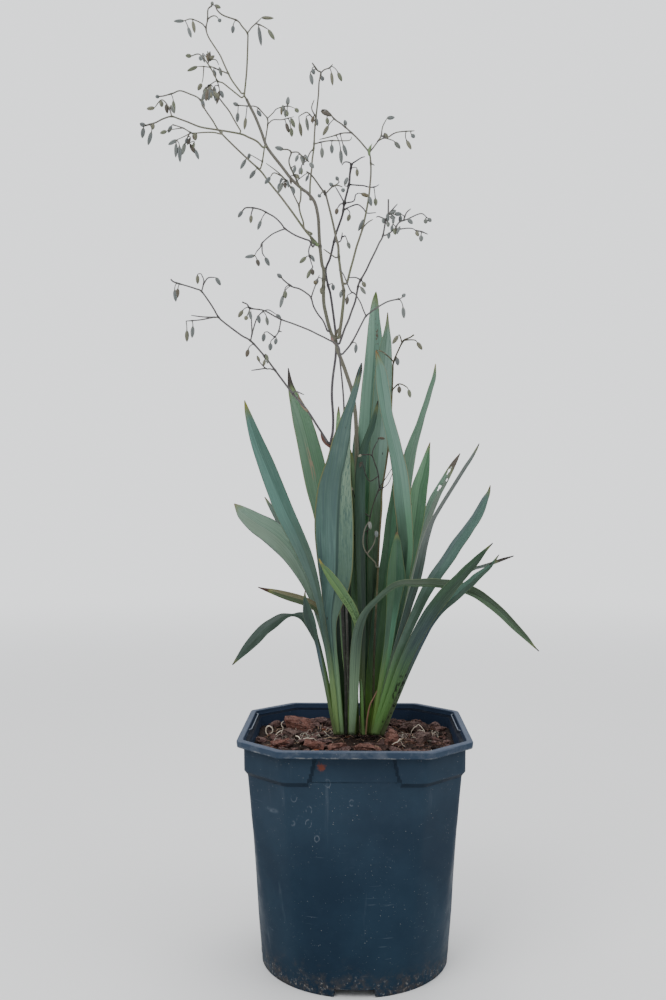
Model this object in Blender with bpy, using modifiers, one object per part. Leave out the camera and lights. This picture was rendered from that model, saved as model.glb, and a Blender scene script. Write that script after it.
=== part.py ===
"""Potted flax lily: a fan-leaved garden plant with airy flower stems, in a 4 litre square-round nursery pot.

Shapes are written in millimetres and placed in metres, +Z up, the pot's underside on z = 0.
Leaf and stem points are given as they are seen from the front, from a viewing point 826 mm away
and 370 mm up, each with its own depth y (negative is nearer). seen() puts such a point in space.
"""

import math
from dataclasses import dataclass, field

import bmesh
import bpy
import numpy as np

MM = 0.001
VIEW_DISTANCE = 826.0
VIEW_HEIGHT = 370.0
SOIL_TOP = 176.0
FOOT = 178.4
LEAF_THICKNESS = 0.7


def seen(x, z, y):
    """Point in space, in mm, that the front view shows at (x, z) when it lies at depth y."""
    k = 1.0 + y / VIEW_DISTANCE
    return (x * k, y, VIEW_HEIGHT + (z - VIEW_HEIGHT) * k)


def clear_scene():
    """Remove everything the start-up scene holds."""
    for obj in list(bpy.data.objects):
        bpy.data.objects.remove(obj, do_unlink=True)


def collection(name, hidden=False):
    """New collection under the scene."""
    made = bpy.data.collections.new(name)
    bpy.context.scene.collection.children.link(made)
    made.hide_render = hidden
    return made


def material(name, rgb, roughness, metallic=0.0):
    """Principled material of one plain colour."""
    made = bpy.data.materials.new(name)
    made.use_nodes = True
    shader = made.node_tree.nodes["Principled BSDF"]
    shader.inputs["Base Color"].default_value = (*rgb, 1.0)
    shader.inputs["Roughness"].default_value = roughness
    shader.inputs["Metallic"].default_value = metallic
    made.diffuse_color = (*rgb, 1.0)
    return made


def object_from(name, verts, faces, group, paint=None):
    """Mesh object from points in mm; its scale brings it to metres."""
    mesh = bpy.data.meshes.new(name)
    mesh.from_pydata([tuple(v) for v in verts], [], faces)
    obj = bpy.data.objects.new(name, mesh)
    obj.scale = (MM, MM, MM)
    group.objects.link(obj)
    if paint:
        mesh.materials.append(paint)
    return obj


def boolean(obj, other, operation):
    """Exact Boolean of other on obj."""
    step = obj.modifiers.new(f"{operation.lower()} {other.name}", "BOOLEAN")
    step.operation = operation
    step.solver = "EXACT"
    step.object = other


def smooth_curve(points, count):
    """Catmull-Rom samples, evenly spaced along the length, through rows of numbers."""
    rows = np.array(points, float)
    ends = np.vstack([2 * rows[0] - rows[1], rows, 2 * rows[-1] - rows[-2]])
    dense = []
    for i in range(len(rows) - 1):
        a, b, c, d = ends[i : i + 4]
        for t in np.linspace(0, 1, 12, endpoint=False):
            dense.append(
                0.5 * (2 * b + (c - a) * t + (2 * a - 5 * b + 4 * c - d) * t**2 + (3 * b - 3 * c + d - a) * t**3)
            )
    dense.append(rows[-1])
    dense = np.array(dense)
    length = np.concatenate([[0], np.cumsum(np.linalg.norm(np.diff(dense[:, :2], axis=0), axis=1))])
    at = np.linspace(0, length[-1], count)
    return np.array([np.interp(at, length, dense[:, k]) for k in range(rows.shape[1])]).T


# Pot

POT_HEIGHT = 186.7
RIM_HALF = 90.0
RIM_FLAT = 56.1
LIP_HEIGHT = 4.8
PANEL_HALF = 84.6
PANEL_LOW = 163.6
PANEL_GAP = 29.0
FLOOR_Z = 7.0
FLOOR_THICK = 2.0


def pot_angles():
    """Directions of the points of one ring: eight flats' corners and the points between them."""
    corner = math.degrees(math.atan2(RIM_FLAT, RIM_HALF))
    first = [0, corner * 0.55, corner, 45]
    quarter = first + [90 - a for a in reversed(first[1:-1])]
    return [math.radians(q * 90 + a) for q in range(4) for a in quarter]


def pot_ring(half, z, roundness, radius=None):
    """One ring: a square of half-width half with cut corners, blended towards a circle."""
    flat = half * RIM_FLAT / RIM_HALF
    cut = (half + flat) / math.sqrt(2)
    round_radius = radius or half
    ring = []
    for a in pot_angles():
        reach = [half / max(abs(math.cos(a)), 1e-9), half / max(abs(math.sin(a)), 1e-9)]
        reach.append(cut / max(abs(abs(math.cos(a)) + abs(math.sin(a))) / math.sqrt(2), 1e-9))
        r = (1 - roundness) * min(reach) + roundness * round_radius
        ring.append((r * math.cos(a), r * math.sin(a), z))
    return ring


def loft(name, rings, group, paint=None):
    """Closed solid through rings of equal count, capped at both ends."""
    count = len(rings[0])
    verts = [p for ring in rings for p in ring]
    faces = [list(range(count))[::-1]]
    for i in range(len(rings) - 1):
        a = i * count
        b = a + count
        faces += [[a + j, a + (j + 1) % count, b + (j + 1) % count, b + j] for j in range(count)]
    faces.append([(len(rings) - 1) * count + j for j in range(count)])
    return object_from(name, verts, faces, group, paint)


def box(name, low, high, group):
    """Box between two corners."""
    (x0, y0, z0), (x1, y1, z1) = low, high
    verts = [(x, y, z) for z in (z0, z1) for x, y in ((x0, y0), (x1, y0), (x1, y1), (x0, y1))]
    faces = [[3, 2, 1, 0], [4, 5, 6, 7], [0, 1, 5, 4], [1, 2, 6, 5], [2, 3, 7, 6], [3, 0, 4, 7]]
    return object_from(name, verts, faces, group)


def cylinder(name, radius, low, high, x, y, group, count=24):
    """Upright cylinder."""
    ring = [(x + radius * math.cos(a), y + radius * math.sin(a)) for a in np.linspace(0, 2 * math.pi, count, False)]
    return loft(name, [[(*p, low) for p in ring], [(*p, high) for p in ring]], group)


def build_pot(group, tools):
    """Thin-walled nursery pot with lip, corner panels, foot ring, centre pad and drain holes."""
    paint = material("dark blue-grey polypropylene", (0.020, 0.036, 0.058), 0.42)
    pot = loft(
        "pot",
        [
            pot_ring(74.6, 0.0, 1.0, 74.6),
            pot_ring(75.6, 3.0, 1.0, 75.6),
            pot_ring(76.0, 14.0, 0.96, 76.2),
            pot_ring(77.6, 70.0, 0.60, 79.5),
            pot_ring(80.0, 125.0, 0.25, 82.0),
            pot_ring(81.4, 160.0, 0.0),
            pot_ring(82.0, 184.0, 0.0),
        ],
        group,
        paint,
    )
    lip = loft(
        "lip tool",
        [
            pot_ring(88.6, POT_HEIGHT - LIP_HEIGHT, 0.0),
            pot_ring(89.8, POT_HEIGHT - LIP_HEIGHT + 0.7, 0.0),
            pot_ring(RIM_HALF, POT_HEIGHT - 0.9, 0.0),
            pot_ring(89.2, POT_HEIGHT, 0.0),
        ],
        tools,
    )
    panel = loft(
        "panel tool",
        [pot_ring(PANEL_HALF - 0.8, PANEL_LOW, 0.0), pot_ring(PANEL_HALF, 183.0, 0.0)],
        tools,
    )
    for name, low, high in (
        ("panel gap x", (-110, -PANEL_GAP, 150), (110, PANEL_GAP, 190)),
        ("panel gap y", (-PANEL_GAP, -110, 150), (PANEL_GAP, 110, 190)),
    ):
        boolean(panel, box(name, low, high, tools), "DIFFERENCE")
    inside = loft(
        "inside tool",
        [
            pot_ring(73.0, FLOOR_Z + FLOOR_THICK, 0.96, 73.4),
            pot_ring(75.6, 70.0, 0.60, 77.5),
            pot_ring(78.0, 125.0, 0.25, 80.0),
            pot_ring(79.4, 160.0, 0.0),
            pot_ring(80.0, 181.0, 0.0),
            pot_ring(84.0, 182.6, 0.0),
            pot_ring(85.2, POT_HEIGHT + 3, 0.0),
        ],
        tools,
    )
    under = loft(
        "under tool",
        [pot_ring(72.4, -2.0, 1.0, 72.4), pot_ring(72.9, FLOOR_Z, 1.0, 72.9)],
        tools,
    )
    pad = cylinder("pad tool", 13.0, 0.0, FLOOR_Z + 0.6, 0, 0, tools)
    boolean(pot, lip, "UNION")
    boolean(pot, panel, "UNION")
    boolean(pot, inside, "DIFFERENCE")
    boolean(pot, under, "DIFFERENCE")
    boolean(pot, pad, "UNION")
    for i in range(6):
        a = math.radians(60 * i)
        drain = cylinder(f"drain {i}", 6.0, -3, 12, 42 * math.cos(a), 42 * math.sin(a), tools, 8)
        boolean(pot, drain, "DIFFERENCE")
    for name, low, high in (
        ("notch x", (-90, -15.5, -3), (90, 15.5, FLOOR_Z - 0.4)),
        ("notch y", (-15.5, -90, -3), (15.5, 90, FLOOR_Z - 0.4)),
    ):
        notch = box(name, low, high, tools)
        boolean(notch, cylinder(f"{name} keep", 66.0, -4, 9, 0, 0, tools, 16), "DIFFERENCE")
        boolean(pot, notch, "DIFFERENCE")
    return pot


# Soil and bark

SOIL_HALF = 78.6


def soil_height(x, y):
    """Uneven soil surface in mm, a little higher round the plant."""
    near = math.exp(-((x / 34.0) ** 2 + (y / 30.0) ** 2))
    ripple = 0.55 * math.sin(x / 7.3 + 1.1) * math.cos(y / 8.9 - 0.4) + 0.4 * math.sin((x + 2 * y) / 17.0)
    return SOIL_TOP - 2.6 + 2.4 * near + ripple * (1 - near)


def build_soil(group):
    """Root ball of peat and bark that fills the pot."""
    paint = material("peat and bark soil", (0.045, 0.022, 0.014), 0.95)
    low = pot_ring(72.4, FLOOR_Z + FLOOR_THICK + 0.4, 0.96, 72.8)
    mid = [pot_ring(75.0, 70.0, 0.60, 76.9), pot_ring(77.4, 125.0, 0.25, 79.4), pot_ring(78.6, 160.0, 0.0)]
    count = len(low)
    rings = [low, *mid]
    edge = pot_ring(SOIL_HALF, 0.0, 0.0)
    for share in (1.0, 0.72, 0.45, 0.22):
        ring = [(x * share, y * share) for x, y, _ in edge]
        rings.append([(x, y, soil_height(x, y)) for x, y in ring])
    verts = [p for ring in rings for p in ring]
    faces = [list(range(count))[::-1]]
    for i in range(len(rings) - 1):
        a = i * count
        b = a + count
        faces += [[a + j, a + (j + 1) % count, b + (j + 1) % count, b + j] for j in range(count)]
    top = (len(rings) - 1) * count
    verts.append((0, 0, soil_height(0, 0)))
    faces += [[top + j, top + (j + 1) % count, len(verts) - 1] for j in range(count)]
    return object_from("soil", verts, faces, group, paint)


@dataclass
class Chip:
    """Bark chip: centre as seen from the front (mm), depth, size and tilt."""

    name: str
    x: float
    y: float
    size: tuple
    turn: float
    tilt: float
    rgb: tuple
    lift: float = 0.3


RUST = (0.16, 0.045, 0.028)
BROWN = (0.09, 0.035, 0.022)

CHIPS = [
    Chip("bark_chip_large", -45, 34, (30, 17, 10), 12, 8, RUST),
    Chip("bark_chip_stepped", -52, 4, (14, 12, 8), -30, 10, BROWN),
    Chip("bark_chip_left", -60, -22, (17, 13, 7), 20, -8, RUST),
    Chip("bark_chip_front_left", -33, -30, (19, 11, 7), -14, 6, BROWN),
    Chip("bark_chip_front_middle", -14, -38, (16, 10, 7), 8, -6, RUST),
    Chip("bark_chip_front_long", 10, -40, (25, 12, 7), -4, 5, BROWN),
    Chip("bark_chip_upright", 30, -22, (9, 11, 16), 25, 14, RUST),
    Chip("bark_chip_right", 55, -6, (17, 12, 7), 34, -7, BROWN),
    Chip("bark_chip_back_right", 47, 36, (20, 13, 8), -22, 7, BROWN),
]


def build_chip(chip, group, seed):
    """Broken lump with flat faces: the hull of scattered points in a box."""
    rng = np.random.default_rng(seed)
    mesh = bmesh.new()
    for _ in range(22):
        p = rng.uniform(-1, 1, 3)
        p /= max(abs(p))
        p *= rng.uniform(0.82, 1.0)
        mesh.verts.new(p * np.array(chip.size) / 2)
    hull = bmesh.ops.convex_hull(mesh, input=mesh.verts)
    inner = hull["geom_interior"] + hull["geom_unused"]
    spare = list(dict.fromkeys(v for v in inner if isinstance(v, bmesh.types.BMVert)))
    bmesh.ops.delete(mesh, geom=spare, context="VERTS")
    bmesh.ops.triangulate(mesh, faces=mesh.faces)
    bmesh.ops.recalc_face_normals(mesh, faces=mesh.faces)
    turn, tilt = math.radians(chip.turn), math.radians(chip.tilt)
    ct, st, cl, sl = math.cos(turn), math.sin(turn), math.cos(tilt), math.sin(tilt)
    for v in mesh.verts:
        x, y, z = v.co
        x, z = x * cl + z * sl, -x * sl + z * cl
        v.co = (x * ct - y * st, x * st + y * ct, z)
    k = 1 + chip.y / VIEW_DISTANCE
    cx = chip.x * k
    rise = max(soil_height(cx + v.co.x, chip.y + v.co.y) + 0.35 - v.co.z for v in mesh.verts if v.co.z < 0.3)
    for v in mesh.verts:
        v.co = (v.co.x + cx, v.co.y + chip.y, v.co.z + rise + chip.lift)
    data = bpy.data.meshes.new(chip.name)
    mesh.to_mesh(data)
    mesh.free()
    obj = bpy.data.objects.new(chip.name, data)
    obj.scale = (MM, MM, MM)
    data.materials.append(material(f"{chip.name} bark", chip.rgb, 0.9))
    group.objects.link(obj)
    return obj


# Leaves

@dataclass
class Leaf:
    """Leaf blade: rows of (x, z, width) from tip to foot as seen, and how it stands in depth.

    Args:
        rows: (x, z, width across) in mm, tip first.
        foot: depth y of the foot.
        tip: depth y of the tip.
        turn: degrees that the blade faces away from the front view.
        fold: depth of the V fold as a share of the half-width.
        power: how late the blade leaves the depth of its foot.
        depths: optional depth of every row, in place of foot, tip and power.
    """

    name: str
    rows: list
    foot: float
    tip: float
    turn: float = 20.0
    fold: float = 0.25
    power: float = 1.3
    stations: int = 10
    rgb: tuple = (0.075, 0.17, 0.135)
    depths: list = field(default_factory=list)


LEAVES = [
    Leaf("leaf_left_tall", [(-90, 451.5, 0.8), (-87, 440, 5.2), (-80.5, 420, 10.3), (-72.7, 400, 13.5), (-65, 380, 14.8),
         (-57, 360, 15.1), (-47.5, 340, 13.7), (-40, 323, 12), (-32.7, 302, 8), (-27.5, 280, 5), (-25.3, 265, 4.8),
         (-22.4, 250, 4.8), (-19.4, 230, 4.4), (-17.2, 212, 4.2), (-15.6, 195, 4), (-14, FOOT, 4)],
         -9.4, -32, -25, 0.3),
    Leaf("leaf_left_pale", [(-98.5, 367, 0.8), (-94.5, 363, 7), (-90, 358.5, 12), (-80, 351, 17), (-70, 345, 19.5),
         (-60, 337, 20.5), (-51, 326.5, 18), (-43.5, 314, 14.5), (-37.5, 301, 10.5), (-32.5, 287, 7), (-28.5, 272, 5),
         (-24, 255, 4.3), (-19.8, 235, 4), (-17, 210, 4), (-14.4, FOOT, 4)], 0.0, 42, 18, 0.2),
    Leaf("leaf_left_sliver", [(-73.5, 372.5, 0.7), (-69.5, 366, 3), (-64, 356, 4), (-58, 345, 4.4), (-50, 330, 4.4),
         (-40, 308, 4.2), (-32, 285, 4), (-27, 268, 3.6), (-20.5, 235, 3.2), (-16, 205, 3), (-13, FOOT, 3)],
         3.0, 66, 25, 0.2, 1.4, 8),
    Leaf("leaf_back_left", [(-54.2, 478, 0.8), (-51.8, 462, 5.5), (-44.4, 440, 14.2), (-41.5, 430, 16.3),
         (-38.8, 420, 17.5), (-34, 400, 19.4), (-30, 380, 19), (-25.5, 360, 17), (-22, 335, 14), (-19.5, 310, 10),
         (-17.5, 280, 6.5), (-15, 250, 5), (-13, 220, 4.5), (-11.5, 200, 4), (-10, FOOT, 4)], 5.6, 64, 24, 0.22),
    Leaf("leaf_centre_broad", [(5.7, 482, 0.8), (4.2, 475, 3.9), (1.2, 463, 5.1), (-2.5, 450, 6.5), (-6, 440, 8),
         (-9, 430, 9.6), (-11.3, 420, 12.6), (-13, 410, 15), (-14.3, 400, 18), (-15.9, 390, 22), (-17.2, 380, 25.5),
         (-17.8, 368, 28), (-18, 355, 29.6), (-17.8, 342, 29.6), (-17.2, 328, 28.2), (-16.7, 312, 25.5),
         (-17.2, 298, 21), (-18.8, 284, 14.5), (-19, 270, 9), (-17.5, 250, 6), (-15.5, 230, 6), (-13.3, 208, 5),
         (-10.6, FOOT, 4)], -7.0, -26, -14, 0.3, 1.3, 13),
    Leaf("leaf_centre_sliver", [(-13, 446.5, 0.7), (-13.2, 438, 3.2), (-14, 420, 4), (-14.5, 400, 4.5), (-14, 340, 5),
         (-12.5, 300, 5), (-11, 283, 4), (-9, 250, 3.5), (-6.5, 225, 3.5), (-4, FOOT, 3.4)], 2.6, 20, 10, 0.15, 1.3, 7),
    Leaf("leaf_olive_sliver", [(-4.5, 411, 0.7), (-3, 400, 4), (-2.2, 375, 4.5), (-2, 350, 4.5), (-1.8, 310, 4),
         (-1, 270, 4), (0, 230, 3.6), (1, FOOT, 3)], 0.0, 4, 10, 0.15, 1.3, 7, (0.2, 0.2, 0.06)),
    Leaf("leaf_tallest", [(17.5, 540, 0.8), (17, 535, 4), (16.5, 527, 7), (16.2, 520, 8.5), (16.2, 512, 10.5),
         (16.3, 500, 13), (15.5, 480, 15.5), (14, 460, 17), (12.8, 440, 18), (11.5, 420, 18), (9.5, 380, 16),
         (8.5, 340, 13), (9, 300, 9.5), (9, 270, 7.5), (9.2, 240, 6.5), (10.5, 210, 5.5), (12.6, FOOT, 4.4)],
         10.4, 46, 14, 0.25, 1.3, 11),
    Leaf("leaf_second_tallest", [(27, 523, 0.8), (26.8, 515, 2.6), (26.5, 508, 5), (26, 500, 8), (25, 490, 11),
         (23.5, 470, 14.5), (22.5, 450, 16), (21, 430, 16), (19, 405, 14), (17.5, 380, 11), (16, 355, 10),
         (15, 330, 9), (14.5, 300, 8), (14, 270, 6.5), (13.5, 240, 5.5), (13.5, 210, 5), (14, FOOT, 4.4)],
         8.0, 27, 12, 0.2, 1.3, 11),
    Leaf("leaf_right_front_tall", [(17.5, 492, 0.8), (20, 482, 5.5), (21.5, 475, 8.5), (22.8, 465, 10.3),
         (24.8, 452, 10.3), (26.3, 441, 9.4), (29, 430, 9.7), (31.5, 420, 10.5), (34.2, 407, 11.3), (36.5, 395, 12.5),
         (37.8, 385, 13.2), (39, 370, 13.8), (40.5, 355, 13), (41.5, 340, 12.5), (41.5, 325, 12), (39.5, 305, 10),
         (35, 280, 8), (29, 250, 6.5), (22, 220, 5.5), (16, 195, 4.5), (13.5, FOOT, 4)], -4.8, -24, -18, 0.25, 1.3, 12),
    Leaf("leaf_dark_inner", [(19, 451, 0.7), (17.8, 444, 2.8), (14, 430, 5.2), (11, 422, 5.4), (8.3, 414, 6.2),
         (5.5, 400, 8), (4.5, 380, 8.6), (4.5, 350, 8.6), (5, 320, 7.6), (5.5, 300, 7), (6, 270, 6), (6, 240, 5),
         (6, 210, 4), (6, FOOT, 3)], -6.2, -11, 10, 0.2, 1.3, 9, (0.03, 0.07, 0.04)),
    Leaf("leaf_right_back_tall", [(66, 481, 0.8), (64.8, 470, 3.3), (62, 461, 4), (58.8, 450, 4.6), (55.5, 440, 5),
         (52.5, 430, 6), (49, 420, 7.6), (46.8, 413, 8.8), (45.2, 407, 9.8), (42, 390, 11), (39.5, 370, 11),
         (37, 340, 10), (33, 300, 8), (28, 260, 6.5), (22, 220, 5), (17, FOOT, 4)], 5.8, 46, 28, 0.25),
    Leaf("leaf_right_pointed", [(61.5, 417, 0.7), (59.8, 410, 3.4), (57.8, 400, 7.2), (55.5, 390, 10.6), (53, 380, 13),
         (51, 365, 14), (49, 350, 13.5), (46.5, 335, 12), (43.5, 318, 10), (40, 300, 8.5), (35, 275, 7.5),
         (28.5, 245, 6), (21.5, 212, 5), (16, FOOT, 4)], 1.4, 8, 8, 0.3),
    Leaf("leaf_right_torn", [(86, 408, 0.7), (81, 400, 4), (76.5, 392, 5.5), (71.5, 383, 6.5), (68, 377, 7),
         (64.5, 370, 8), (60.5, 360, 8), (56.5, 350, 8), (51.5, 335, 7.5), (46, 315, 7), (40, 290, 6.5), (32, 255, 5.5),
         (24, 220, 5), (16.5, FOOT, 4)], 3.6, 30, 25, 0.25),
    Leaf("leaf_right_edge_on", [(101.5, 416, 0.7), (99, 411, 1.8), (95, 404, 2.6), (90, 396.5, 3), (80, 380.5, 3),
         (70, 364.5, 3.2), (64, 354, 3.5), (60, 344, 5), (56.5, 332, 6), (53.5, 318, 7), (50, 303, 7), (44, 283, 6),
         (35, 252, 5), (25.5, 218, 4.5), (17, FOOT, 4)], -10.4, -17, 26, 0.1),
    Leaf("leaf_right_broad", [(110.5, 382, 0.7), (109, 376, 3), (106, 370, 5.5), (102.5, 362, 7.5), (98.7, 355, 8.2),
         (94.5, 349, 8.5), (89.7, 342, 9.3), (83, 333, 10), (78, 325, 10.2), (73.2, 318, 10), (68, 311, 10),
         (64, 305, 10), (57, 293, 9), (50, 278, 8), (42, 260, 7), (34, 240, 6), (27, 217, 5.5), (20.5, 195, 5),
         (16.5, FOOT, 4.4)], -14.4, -40, -16, 0.25, 1.3, 11),
    Leaf("leaf_right_low_front", [(112.5, 335, 0.7), (106, 328.5, 3), (101, 323, 5.5), (96, 317.5, 7), (91, 312.5, 8),
         (86, 307, 8.5), (80, 300.5, 9.5), (74, 293.5, 11), (68, 286, 11), (60, 275, 11), (50, 257, 10), (41, 238, 9),
         (31, 213, 7), (22, 190, 5.5), (17.5, FOOT, 4.6)], -18.4, -84, -22, 0.25, 1.15, 11),
    Leaf("leaf_right_low", [(117.5, 325.5, 0.7), (113.5, 320, 2.2), (109, 315, 4), (104, 311, 5.2), (99, 307, 6.7),
         (95, 303, 7.2), (90, 299, 7.6), (85, 294.5, 8), (80, 290, 8), (70, 281.5, 8), (61, 270, 8), (54, 257, 8),
         (46.5, 241, 7.5), (40, 226, 7), (34, 211, 6.5), (27.5, 197, 5.5), (23, 187, 5), (18.2, FOOT, 4)],
         -16.0, -66, -14, 0.2, 1.15, 11),
    Leaf("leaf_right_dry_tip", [(129.5, 324.5, 0.8), (120, 321.5, 2.4), (112, 318.5, 2.6), (104, 316, 2.6),
         (96, 313.5, 2.6), (85, 306, 2.6), (70, 292, 2.6), (55, 272, 2.6), (42, 248, 2.6), (30, 215, 2.6),
         (20, FOOT, 2.6)], -12.6, -14, 30, 0.1, 1.3, 9, (0.15, 0.15, 0.14)),
    Leaf("leaf_arching", [(150, 247, 0.8), (146, 250.8, 1.2), (140, 257.5, 3), (130, 267.5, 4.4), (120, 277.8, 5),
         (110, 286.3, 5.3), (100, 293.5, 5.8), (90, 298, 6), (80, 301, 6.2), (70, 302, 6.8), (60, 302.8, 6.8),
         (50, 302.3, 6.4), (40, 302.5, 5.2), (32, 300, 5), (25, 295, 4.5), (18, 288.5, 4.5), (10, 280, 5), (5, 270, 7),
         (2, 258, 8.3), (0.5, 240, 8.5), (-0.5, 215, 7.4), (-1.5, 195, 6), (-2.5, FOOT, 4.6)],
         -13.0, -54, -10, 0.25, 1.0, 17, (0.12, 0.2, 0.13),
         [-54, -53.5, -52, -51, -50, -49, -48, -46.5, -45.5, -44.5, -43.5, -41.5, -39, -37, -34, -31, -27.5, -24,
          -21, -18, -16, -14.4, -13]),
    Leaf("leaf_left_low", [(-100, 235, 0.8), (-94.5, 241.5, 4), (-88, 249, 7.5), (-81, 256.5, 9.5), (-74, 264, 9.5),
         (-67, 269, 9), (-60, 273.8, 7), (-55, 275.5, 4), (-50.5, 276, 2.4), (-45, 275.8, 5.5), (-40, 273.5, 8),
         (-35.5, 267, 8), (-32, 258, 5), (-29, 250, 3.5), (-24, 230, 3), (-19, 205, 3), (-13.4, FOOT, 3)],
         -4.6, -24, 20, 0.2, 1.1, 13, (0.05, 0.09, 0.08)),
    Leaf("leaf_left_small", [(-40.5, 295.5, 0.7), (-40.5, 290, 2.6), (-39.3, 283, 6), (-37.8, 276, 8.5),
         (-35.5, 268, 8.5), (-33, 260, 5.5), (-31, 253, 3), (-27.5, 236, 2.6), (-24, 220, 2.5), (-19.5, 197, 2.5),
         (-15.8, FOOT, 2.4)], -11.8, -34, -12, 0.2, 1.1, 9, (0.05, 0.09, 0.08)),
    Leaf("leaf_left_yellowing", [(-79, 298.7, 0.7), (-73, 296.8, 2.5), (-65, 294.6, 5), (-55, 291.6, 7),
         (-45, 288.7, 7.5), (-38, 286, 7), (-32, 282.5, 6.5), (-26, 276, 6), (-22.5, 265, 5), (-20, 250, 4.5),
         (-17.5, 230, 4), (-14.5, 205, 3.6), (-12, FOOT, 3.5)], -2.2, 12, 20, 0.2, 1.3, 9, (0.2, 0.22, 0.06)),
    Leaf("leaf_front_short", [(-29, 322, 0.7), (-26.5, 317, 2), (-22, 311, 4.6), (-17, 304, 5.8), (-12, 297, 6),
         (-7, 289.5, 6.2), (-2, 281.5, 6), (1.2, 274, 5.5), (2.8, 266, 5), (2.5, 250, 4.5), (1.5, 230, 4),
         (0.5, 205, 4), (-0.8, FOOT, 3.4)], -10.2, -44, -20, 0.2, 2.6, 10, (0.2, 0.3, 0.1)),
    Leaf("leaf_right_short", [(34.5, 344, 0.7), (34.5, 341, 3), (34.5, 335, 6.5), (34.3, 327, 9.5), (34, 318, 12.5),
         (34, 308, 15), (33, 298, 14), (31.5, 285, 11), (29.5, 268, 8.5), (27, 248, 7), (23.5, 228, 6), (19.5, 205, 5),
         (15, FOOT, 4)], -7.0, -22, -4, 0.15, 1.5, 10),
]


def leaf_surface(leaf, stations, across=1):
    """Grid of points in mm: stations along the leaf, 2 * across + 1 points over its width.

    x, z follow the centre line plus u * w / 2 along its normal, with u from -1 to 1;
    y = foot + (tip - foot) * s ** power + w / 2 * (u * tan(turn) - fold * (1 - abs(u))), s = 0 at the foot.
    """
    rows = [tuple(row) + ((leaf.depths[i],) if leaf.depths else ()) for i, row in enumerate(leaf.rows)]
    line = smooth_curve(rows, stations)
    way = np.gradient(line[:, :2], axis=0)
    way /= np.linalg.norm(way, axis=1)[:, None]
    s = np.linspace(1, 0, stations)
    depth = line[:, 3] if leaf.depths else leaf.foot + (leaf.tip - leaf.foot) * s**leaf.power
    grow = np.clip(s * 3.2 - 0.55, 0, 1)
    points = []
    for i in range(stations):
        half = max(line[i, 2], 0.7) / 2
        for u in np.linspace(-1, 1, 2 * across + 1):
            x = line[i, 0] - u * half * way[i, 1]
            z = line[i, 1] + u * half * way[i, 0]
            lean = u * math.tan(math.radians(leaf.turn)) - leaf.fold * (1 - abs(u))
            points.append(seen(x, z, depth[i] + half * lean * grow[i]))
    return points


def build_leaf(leaf, group):
    """Open leaf surface thickened to a closed blade."""
    points = leaf_surface(leaf, leaf.stations)
    faces = []
    for i in range(leaf.stations - 1):
        a = i * 3
        faces += [[a, a + 1, a + 4, a + 3], [a + 1, a + 2, a + 5, a + 4]]
    paint = material(f"{leaf.name} blade", leaf.rgb, 0.5)
    obj = object_from(leaf.name, points, faces, group, paint)
    step = obj.modifiers.new("thickness", "SOLIDIFY")
    step.thickness = LEAF_THICKNESS
    step.offset = 0.0
    step.use_even_offset = False
    return obj


# Flower stems

@dataclass
class Spray:
    """One stem of the flower head with its side twigs and buds.

    Args:
        stem: (x, z) points in mm as seen from the front, thick end first.
        depth: depth y at the thick end and at the thin end.
        radius: radius at the thick end and at the thin end.
        twigs: each (points, change of depth); the first point lies on an earlier line of the same spray.
        buds: (x, z) of the end that hangs from its stalk, then (x, z) of the bud's tip.
    """

    name: str
    stem: list
    depth: tuple
    radius: tuple
    twigs: list = field(default_factory=list)
    buds: list = field(default_factory=list)
    rgb: tuple = (0.11, 0.1, 0.06)


OLIVE = (0.13, 0.12, 0.06)
DARK = (0.05, 0.03, 0.035)
TWIG_RADIUS = 0.42
STALK_RADIUS = 0.34
BUD_PROFILE = ((0.45, 1.4), (1.0, 0.45))

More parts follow.
